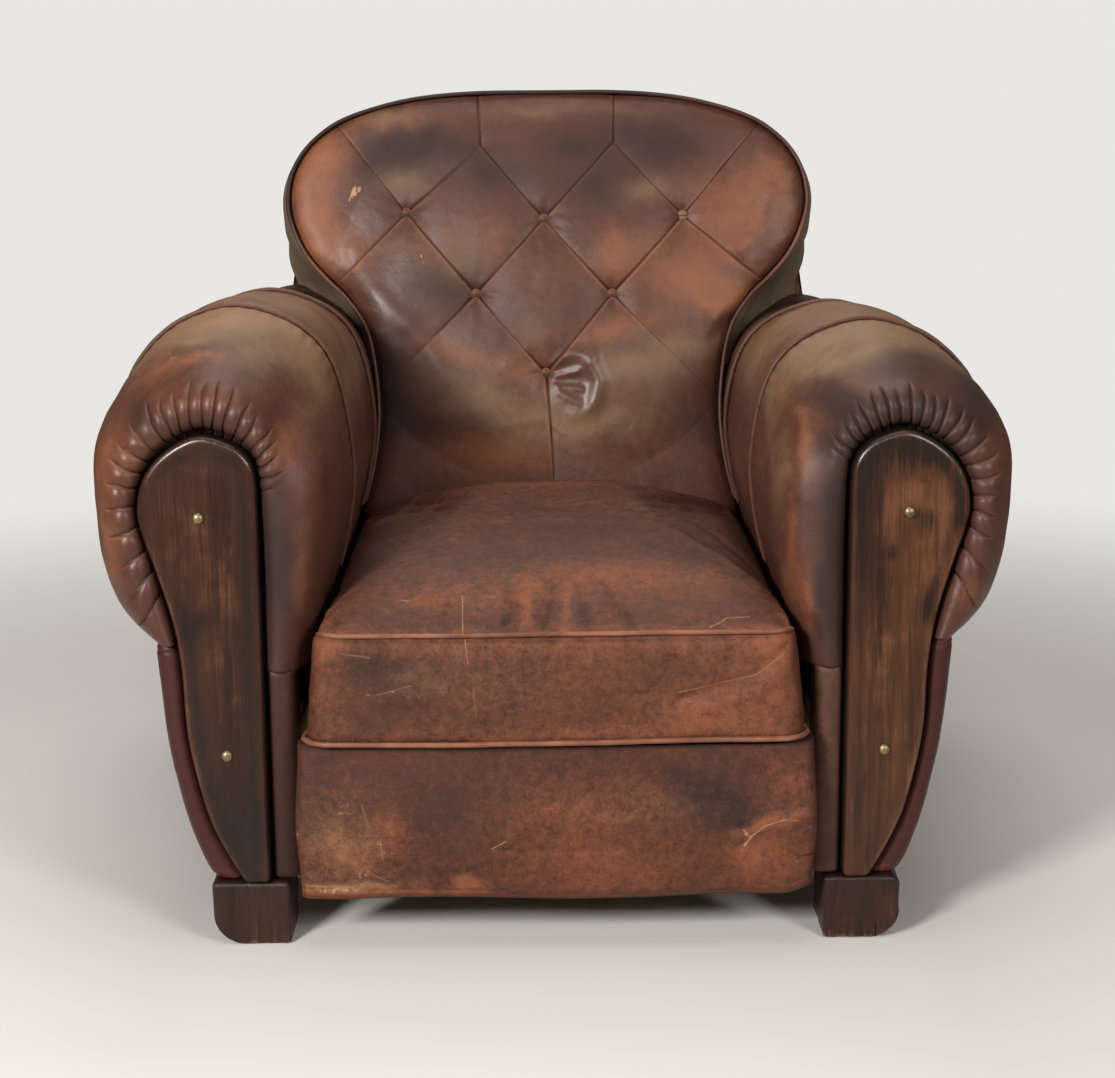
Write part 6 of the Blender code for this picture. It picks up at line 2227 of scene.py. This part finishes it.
    def make_cords(self) -> list[tuple[bpy.types.Object, str]]:
        """The cushion's upper and lower cords."""
        made = []
        for name, node, low in (("cushion_cord_upper", "cushion_welt_top", 0.0),
                                ("cushion_cord_lower", "cushion_welt_bottom", 1.0)):
            plan = self.plan(900, low, 0.0 if low else 0.0050)
            if low:
                z = np.full(len(plan), self.bottom_z + 0.0046)
                z = z + 0.0012 * np.sin(plan[:, 0] * 9)
            else:
                z = self.edge(plan[:, 1]) - 0.0003 + 0.0010 * np.sin(plan[:, 0] * 11 + 1)
                away = smoothstep(self.front_y + 0.012, self.front_y + 0.05, plan[:, 1])
                z -= 0.009 * away
                plan = plan - np.column_stack([np.sign(plan[:, 0]) * 0.0035 * away, 0 * away])
            path = np.column_stack([plan, z])
            path += 0.0006 * np.column_stack([soft_noise(path, 0.05, 80 + k) for k in range(3)])
            cord = add_cord(name, path, self.cord_radius + 0.0003 * low, closed=True, uneven=0.07, seed=83)
            places = places_of(cord)
            paint = Paintwork(places)
            ahead = smoothstep(self.front_y + 0.06, self.front_y + 0.01, places[:, 1])
            paint.add(Tone.WORN, (0.40 + 0.10 * low) * ahead + 0.5 * rolling_noise(places, 0.03, 85))
            paint.add(Tone.SCUFF, (0.06 + 0.12 * low) * ahead)
            paint.add(Tone.DUST, 0.5 * (1 - ahead))
            paint.store(cord)
            made.append((cord, node))
        return made

    def make_apron(self) -> bpy.types.Object:
        """Leather-covered front rail panel, slightly bowed, with its lower edge turned under."""
        rows = 110
        z = np.concatenate([[self.apron_bottom], np.linspace(self.apron_bottom + 0.0015, self.apron_top, rows - 1)])
        middle = smoothstep(self.apron_bottom, 0.13, z) * (1 - smoothstep(0.13, self.apron_top, z))
        half = 0.2525 + 0.004 * middle
        front = -0.429 + 0.004 * (1 - middle)
        outer = []
        for k in range(rows):
            low = z[k] < 0.099
            shoulder = -0.409 if low else -0.3965
            tight = 0.006 * smoothstep(0.012, 0.0, z[k] - self.apron_bottom)
            knots = [(half[k], shoulder), (half[k] + 0.0003, front[k] + 0.015 + tight),
                     (half[k] - 0.0035, front[k] + 0.0065 + tight), (half[k] - 0.014, front[k] + 0.0025 + tight),
                     (half[k] - 0.060, front[k] + 0.0005 + tight), (0.10, front[k] + tight),
                     (0.0, front[k] - 0.0004 + tight)]
            line = spline(knots, 130)
            line = np.vstack([line, line[-2::-1] * [-1, 1]])
            outer.append(np.column_stack([line, np.full(len(line), z[k])]))
        outer = np.stack(outer)
        points = outer.reshape(-1, 3)
        shape = outer.shape[:2]
        x = outer[..., 0]
        to_low = z[:, None] - self.apron_bottom
        bulge = (0.0022 * rolling_noise(points, 0.10, 91) + 0.0005 * rolling_noise(points, 0.02, 93)).reshape(shape)
        bulge += relief(x, z[:, None] + 0 * x, (
            (2.2, 6, 180, 120, 212, 136, 245, 141), (-2.2, 3, 182, 132, 186, 118, 180, 108),
            (-1, 4, -60, 108, 60, 106), (-1.6, 2.2, -250, 66, -50, 64), (1, 5, -250, 80, -160, 78),
            (1.2, 2.5, -50, 112, -62, 105), (-1.6, 14, 100, 180, 190, 140), (1.2, 15, -200, 170, -180, 100)))
        bulge -= 0.0030 * smoothstep(0.006, 0.0, to_low)
        facing = smoothstep(-0.405, -0.416, outer[..., 1])
        outer[..., 1] -= bulge * facing
        outer[..., 2] -= 0.0016 * smoothstep(0.02, 0.0, to_low) * np.sin(x * 21 + 1) * smoothstep(0.26, 0.20, np.abs(x))
        lift = smoothstep(0.215, 0.262, x) * smoothstep(0.045, 0.0, to_low)
        outer[..., 2] += 0.010 * lift ** 1.5
        inner = outer[[0, 4, rows - 1]].copy()
        inner[..., 1] = np.where(inner[..., 2] < 0.099, -0.4080, -0.3960)
        inner[..., 0] *= 0.985
        apron = add_skin("front_apron", outer, inner)
        paint = Paintwork(places_of(apron))
        paint.add(Tone.FOLD, 0.6 * smoothstep(self.apron_top - 0.006, self.apron_top, z)[:, None] + 0 * x)
        paint.add(Tone.WORN, 0.3 * bell(to_low - 0.003, 0.005) + 0 * x)
        paint.mark([
            *patches(Tone.WORN, (-215, 150, 35, 40, 0.28), (-235, 95, 30, 30, 0.3), (-170, 105, 40, 25, 0.4),
                     (-215, 64.5, 50, 9, 1.9), (-150, 62, 50, 5, 0.8), (-85, 66, 16, 8, 1.1),
                     (10, 145, 70, 30, 0.5), (40, 90, 80, 30, 0.65), (215, 100, 40, 40, 0.6),
                     (190, 95, 20, 15, 0.6), (225, 175, 30, 30, 0.45), (215, 131, 30, 6, 1.1, 14),
                     (-208, 110, 18, 22, 0.6), (-160, 140, 14, 22, 0.5)),
            *patches(Tone.SCUFF, (-222, 68, 36, 5, 0.7), (-252.5, 124, 3, 10, 0.55), (186.5, 119.5, 2.2, 3, 0.7),
                     (239.5, 92, 2, 6, 0.7, -15), (-172, 112, 7, 12, 0.4), (-195, 85, 14, 8, 0.38),
                     (-208, 150, 10, 14, 0.32)),
            *patches(Tone.DUST, (-205, 70, 50, 7, 0.9), (-210, 120, 50, 50, 0.5), (80, 150, 90, 30, 0.3)),
            *patches(Tone.DARK, (-110, 150, 45, 40, 0.6), (145, 165, 60, 22, 1, -30), (170, 140, 30, 20, 0.8),
                     (-230, 190, 20, 20, 0.4), (50, 120, 100, 12, 0.3), (-205, 165, 60, 50, 0.45),
                     (-150, 90, 40, 30, 0.35))],
            seed=95)
        paint.store(apron)
        return apron

    def build(self, book: "Finishes") -> None:
        """Makes and dresses the cushion, its cords and the apron.

        Args:
            book: the materials.
        """
        dress(self.make_cushion(), book.seat, "seat_leather", "seat_cushion")
        for cord, node in self.make_cords():
            dress(cord, book.seat_cord, "welt_leather", node)
        dress(self.make_apron(), book.apron, "seat_leather", "apron")


# ---------------------------------------------------------------- the feet

@dataclass
class Feet:
    """Four block feet, worn round at their edges."""

    inner: float = 0.266
    outer: float = 0.344
    top: float = 0.0657
    depths: tuple[tuple[str, float, float, float], ...] = (("front", -0.400, -0.320, 0.036),
                                                           ("rear", 0.345, 0.425, 0.015))
    wear: tuple[tuple[str, float], ...] = (("left", 1.0), ("right", 0.95))
    voxel: float = 0.0014

    def make_foot(self, end: str, front: float, back: float, corner: float, label: str, wear: float,
                  ) -> bpy.types.Object:
        """One foot: a block with rounded edges, its outer lower corner rounded most.

        Args:
            end: "front" or "rear".
            front: depth of its front face.
            back: depth of its rear face.
            corner: radius of its outer lower corner, when fully worn.
            label: "left" or "right".
            wear: how far the corner is worn.

        Returns:
            The foot.
        """
        side = SIDES[label]
        deselect_all()
        bpy.ops.mesh.primitive_cube_add(size=1.0, location=(side * (self.inner + self.outer) / 2,
                                                            (front + back) / 2, self.top / 2))
        foot = bpy.context.object
        foot.name = f"block_foot_{end}_{label}"
        foot.scale = (self.outer - self.inner, back - front, self.top)
        bpy.ops.object.transform_apply(location=True, rotation=True, scale=True)
        bpy.ops.object.mode_set(mode="EDIT")
        bpy.ops.mesh.select_all(action="SELECT")
        bpy.ops.mesh.bevel(offset=0.0030 + 0.0015 * wear, segments=4)
        bpy.ops.object.mode_set(mode="OBJECT")
        apply_modifier(foot, "REMESH", mode="VOXEL", voxel_size=self.voxel)
        self.wear_foot(foot, front, side, wear, corner * (0.55 + 0.45 * wear))
        return foot

    def wear_foot(self, foot: bpy.types.Object, front: float, side: float, wear: float, corner: float) -> None:
        """Rounds the lower corner, dents the edges, opens cracks in the front right foot and lays the wear on.

        Args:
            foot: the foot.
            front: depth of its front face.
            side: -1 on the left and 1 on the right.
            wear: how far it is worn.
            corner: radius of its outer lower corner.
        """
        places = places_of(foot)
        normals = normals_of(foot)
        across, up = self.outer - corner - places[:, 0] * side, places[:, 2] - corner
        over = np.hypot(across, up) / corner
        pull = np.where((across < 0) & (up < 0) & (over > 1), 1 / np.maximum(over, 1), 1.0)
        places[:, 0] = side * (self.outer - corner - across * pull)
        places[:, 2] = corner + up * pull
        x, y, z = (places * [side, 1, 1]).T
        dent = 0.0011 * np.clip(rolling_noise(places, 0.022, 101) + 0.15, 0, 1)
        dent += 0.0006 * np.clip(soft_noise(places * [1, 1, 0.12], 0.0022, 103), 0, 1) * (np.abs(normals[:, 1]) > 0.7)
        low, high = places.min(axis=0), places.max(axis=0)
        if side > 0 and front < 0:
            ahead = smoothstep(front + 0.01, front, y)
            crack = bell(x - 0.3190 - 0.0010 * np.sin(z * 90 + 1), 0.0009) * smoothstep(0.024, 0.012, z)
            crack += 0.5 * bell(x - 0.2790 - 0.0012 * np.sin(z * 140), 0.0008) * bell(z - 0.045, 0.016)
            ragged = np.clip(0.6 + soft_noise(places * [1, 1, 0.7], 0.006, 105), 0, 1.5)
            dent += 0.0040 * crack * ahead + 0.0011 * ragged * bell(x - self.outer, 0.005) * smoothstep(0.02, 0.04, z)
            dent += 0.0030 * bell(x - self.outer, 0.006) * bell(z - self.top, 0.005)
        places = np.clip(places - normals * dent[:, None], low, high)
        foot.data.vertices.foreach_set("co", places.ravel())
        foot.data.update()
        foot.data.shade_smooth()
        paint = Paintwork(places)
        edge = np.maximum(bell(z, 0.006), bell(x - self.outer, 0.004))
        paint.add(Tone.WORN, 0.5 * edge + 0.3 * bell(x - self.inner, 0.004))
        paint.add(Tone.SCUFF, 0.42 * bell(z - 0.002, 0.005) + 0.3 * bell(x - self.outer, 0.0022) * (1.4 - wear))
        paint.add(Tone.DARK, 0.6 * smoothstep(0.03, self.top, z))
        paint.store(foot)

    def build(self, book: "Finishes") -> None:
        """Makes and dresses the four feet.

        Args:
            book: the materials.
        """
        for end, front, back, corner in self.depths:
            for label, wear in self.wear:
                foot = self.make_foot(end, front, back, corner, label, wear)
                dress(foot, book.foot, "foot_wood", f"foot_{end}_{label}")


# ---------------------------------------------------------------- finishes by name, and the hidden frame

class Finishes:
    """Every material of the chair, made once."""

    def __init__(self) -> None:
        """Makes the materials."""
        seat_cuts = (
            (2, (-0.0905, -0.372), (-0.0890, -0.424), 0.0008, 0.50),
            (1, (-0.0868, 0.322), (-0.0842, 0.300), 0.0007, 0.50),
            (2, (0.149, -0.421), (0.166, -0.409), 0.0010, 0.45), (2, (0.166, -0.409), (0.188, -0.407), 0.0008, 0.45),
            (1, (0.117, 0.2690), (0.193, 0.2850), 0.0007, 0.36), (1, (0.193, 0.2850), (0.220, 0.3050), 0.0007, 0.34),
            (1, (-0.172, 0.2690), (-0.140, 0.2780), 0.0007, 0.28),
            (1, (-0.079, 0.2760), (-0.077, 0.2480), 0.0010, 0.16),
            (1, (-0.205, 0.3100), (-0.178, 0.3060), 0.0010, 0.20), (2, (0.030, -0.300), (0.070, -0.312), 0.0010, 0.16))
        apron_cuts = (
            (1, (0.183, 0.126), (0.190, 0.119), 0.0011, 0.75), (1, (0.190, 0.119), (0.184, 0.110), 0.0012, 0.75),
            (1, (0.190, 0.120), (0.204, 0.131), 0.0010, 0.65), (1, (0.204, 0.131), (0.222, 0.137), 0.0009, 0.60),
            (1, (0.222, 0.137), (0.236, 0.136), 0.0008, 0.45), (1, (-0.064, 0.1095), (-0.050, 0.1180), 0.0008, 0.55),
            (1, (-0.248, 0.0705), (-0.200, 0.0695), 0.0008, 0.40), (1, (-0.173, 0.120), (-0.171, 0.100), 0.0012, 0.22),
            (1, (-0.185, 0.085), (-0.166, 0.076), 0.0010, 0.20), (1, (-0.190, 0.156), (-0.184, 0.134), 0.0014, 0.15))
        self.leather = Leather("waxed_leather").make()
        # The side band's pale dust colour is partly bloom and partly painted light.
        self.band = Leather("bloom_and_painted_light_leather", dust=(0.240, 0.190, 0.125), worn=(0.16, 0.075, 0.040),
                            polish=0.50).make()
        self.cord = Leather("cord_leather", polish=0.42, rub=0.10, grain=0.8).make()
        self.panel = Leather("side_panel_leather", dark=(0.014, 0.0042, 0.0036), body=(0.042, 0.0102, 0.0078),
                             worn=(0.10, 0.030, 0.017), polish=0.46, cloud=0.3, grain=0.7).make()
        self.strip = Leather("strip_leather", dark=(0.012, 0.0046, 0.0038), body=(0.046, 0.0150, 0.0094),
                             worn=(0.15, 0.062, 0.044), polish=0.48, cloud=0.3).make()
        self.seat = Leather("seat_leather", body=(0.068, 0.0215, 0.0110), worn=(0.155, 0.0490, 0.0210), polish=0.60,
                            grain=1.5, rub=0.10, cloud=0.7, fleck=2.5, scratches=seat_cuts).make()
        self.seat_cord = Leather("seat_cord_leather", body=(0.100, 0.036, 0.020), worn=(0.24, 0.095, 0.052),
                                 polish=0.48, rub=0.18, grain=0.8).make()
        self.apron = Leather("apron_leather", body=(0.062, 0.0182, 0.0094), worn=(0.150, 0.046, 0.0190), polish=0.58,
                             rub=0.10, cloud=0.8, fleck=2.5, grain=1.2, scratches=apron_cuts).make()
        self.boards = {
            "left": Timber("dark_board_wood", (0.012, 0.0048, 0.0030), (0.040, 0.0138, 0.0070), (0.084, 0.034, 0.014),
                           streaks=0.7).make(),
            "right": Timber("brown_board_wood", (0.016, 0.0064, 0.0038), (0.078, 0.0285, 0.0122), (0.122, 0.050, 0.022),
                            streaks=1.3, relief=1.3).make()}
        self.foot = Timber("foot_wood", (0.010, 0.0044, 0.0030), (0.036, 0.0135, 0.0068), (0.10, 0.045, 0.025),
                           polish=0.42, relief=1.4).make()
        self.brass = PlainFinish("old_brass", (0.13, 0.10, 0.055), (0.30, 0.235, 0.13), 320.0, rough=0.44, metal=0.9,
                                 relief=0.0001).make()
        self.hidden = {
            "frame_wood": PlainFinish("beech_frame", (0.30, 0.19, 0.10), (0.46, 0.31, 0.17), 90.0,
                                      (1.0, 1.0, 0.25)).make(),
            "spring_steel": PlainFinish("spring_wire", (0.10, 0.075, 0.055), (0.26, 0.24, 0.22), 220.0, rough=0.5,
                                        metal=0.8).make(),
            "jute": PlainFinish("jute_cloth", (0.22, 0.15, 0.08), (0.40, 0.30, 0.17), 420.0, rough=0.9,
                                relief=0.0008, weave=True).make()}

    def dress_frame(self) -> None:
        """Gives the CAD nodes that stay their own finish."""
        for part in frame["record"]["subparts"]:
            material = self.hidden.get(part["material_slot"])
            if material:
                node = frame["nodes"][part["node"]]
                node.data.materials.clear()
                node.data.materials.append(material)


# ---------------------------------------------------------------- floor, light and camera

@dataclass
class Studio:
    """Pale floor, soft lights and the camera."""

    place: tuple[float, float, float] = (-0.0177, -2.467, 0.872)
    yaw: float = 0.57
    pitch: float = 12.5
    roll: float = -0.40
    lens: float = 71.03
    ambient: float = 0.15
    backdrop: float = 0.86
    lights: tuple[tuple[str, float, float, float, float, float, Colour], ...] = (
        ("left_softbox", -30.0, 19.0, 3.0, 0.60, 112.0, (1.0, 0.97, 0.93)),
        ("right_softbox", 32.0, 20.0, 3.0, 0.75, 47.0, (1.0, 0.97, 0.93)),
        ("top_softbox", 0.0, 80.0, 3.0, 2.0, 38.0, (1.0, 0.98, 0.96)),
        ("rear_softbox", 180.0, 58.0, 3.2, 1.8, 36.0, (1.0, 0.98, 0.96)))

    def build(self) -> None:
        """Makes the floor, lights, world and camera."""
        self.make_floor()
        for light in self.lights:
            self.make_light(*light)
        world = bpy.data.worlds.new("pale_room")
        world.use_nodes = True
        nodes, links = world.node_tree.nodes, world.node_tree.links
        ground, seen = nodes["Background"], nodes.new("ShaderNodeLightPath").outputs["Is Camera Ray"]
        tint, strength = nodes.new("ShaderNodeMix"), nodes.new("ShaderNodeMapRange")
        tint.data_type = "RGBA"
        tint.inputs[6].default_value, tint.inputs[7].default_value = (1.0, 0.84, 0.70, 1.0), (0.94, 0.93, 0.90, 1.0)
        strength.inputs["To Min"].default_value, strength.inputs["To Max"].default_value = self.ambient, self.backdrop
        for start, end in ((seen, tint.inputs[0]), (tint.outputs[2], ground.inputs["Color"]),
                           (seen, strength.inputs["Value"]), (strength.outputs[0], ground.inputs["Strength"])):
            links.new(start, end)
        bpy.context.scene.world = world
        bpy.context.scene.view_settings.view_transform = "Standard"
        self.make_camera()

    def make_floor(self) -> None:
        """Round plain pale floor that fades into the room."""
        deselect_all()
        bpy.ops.mesh.primitive_circle_add(vertices=96, radius=5.0, fill_type="NGON", location=(0, 0, 0))
        floor = bpy.context.object
        floor.name = "studio_floor"
        r = Recipe("pale_floor")
        away = r.node("ShaderNodeVectorMath", {"operation": "LENGTH"}, {0: r.place}, output="Value")
        tint = r.mix(r.noise(2.0, 3.0), (0.50, 0.49, 0.47), (0.54, 0.53, 0.51))
        ground = r.node("ShaderNodeBsdfPrincipled", None, {"Base Color": tint, "Roughness": 0.75,
                                                           "Specular IOR Level": 0.3})
        clear = r.node("ShaderNodeBsdfTransparent")
        r.node_out(r.node("ShaderNodeMixShader", None, {0: away.step(0.75, 2.2), 1: ground, 2: clear}))
        floor.data.materials.append(r.material)

    def make_light(self, name: str, azimuth: float, elevation: float, distance: float, size: float, power: float,
                   colour: Colour) -> None:
        """Soft rectangular light aimed at the chair.

        Args:
            name: name of the light.
            azimuth: degrees round from the front, positive to the right.
            elevation: degrees above the floor.
            distance: distance from the chair's middle.
            size: side of the light.
            power: watts.
            colour: its colour.
        """
        lamp = bpy.data.lights.new(name, "AREA")
        lamp.shape, lamp.size, lamp.energy, lamp.color = "SQUARE", size, power, colour
        a, e = math.radians(azimuth), math.radians(elevation)
        away = Vector((math.sin(a) * math.cos(e), -math.cos(a) * math.cos(e), math.sin(e)))
        item = bpy.data.objects.new(name, lamp)
        item.location = Vector((0, 0, 0.45)) + away * distance
        item.rotation_euler = (-away).to_track_quat("-Z", "Y").to_euler()
        bpy.context.scene.collection.objects.link(item)

    def make_camera(self) -> None:
        """Camera in front of the chair, looking slightly down."""
        yaw, pitch, roll = (math.radians(v) for v in (self.yaw, self.pitch, self.roll))
        ahead = Vector((math.sin(yaw) * math.cos(pitch), math.cos(yaw) * math.cos(pitch), -math.sin(pitch)))
        right = ahead.cross(Vector((0, 0, 1))).normalized()
        up = right.cross(ahead)
        right, up = right * math.cos(roll) + up * math.sin(roll), up * math.cos(roll) - right * math.sin(roll)
        data = bpy.data.cameras.new("camera")
        data.lens, data.sensor_width = self.lens, 36.0
        camera = bpy.data.objects.new("camera", data)
        camera.matrix_world = Matrix.Translation(self.place) @ Matrix((right, up, -ahead)).transposed().to_4x4()
        bpy.context.scene.collection.objects.link(camera)
        bpy.context.scene.camera = camera


def main() -> None:
    """Builds the chair, then the studio."""
    logging.basicConfig(level=logging.INFO, format="%(name)s %(message)s")
    book = Finishes()
    book.dress_frame()
    Back().build(book.leather, book.cord, book.band)
    for arm in (Arm("left", 0.008, 0.463, 0.363, 22, 200), Arm("right", -0.010, 0.486, 0.380, 21, 300)):
        arm.build(book)
    Seat().build(book)
    Feet().build(book)
    Studio().build()


if __name__ == "__main__":
    main()
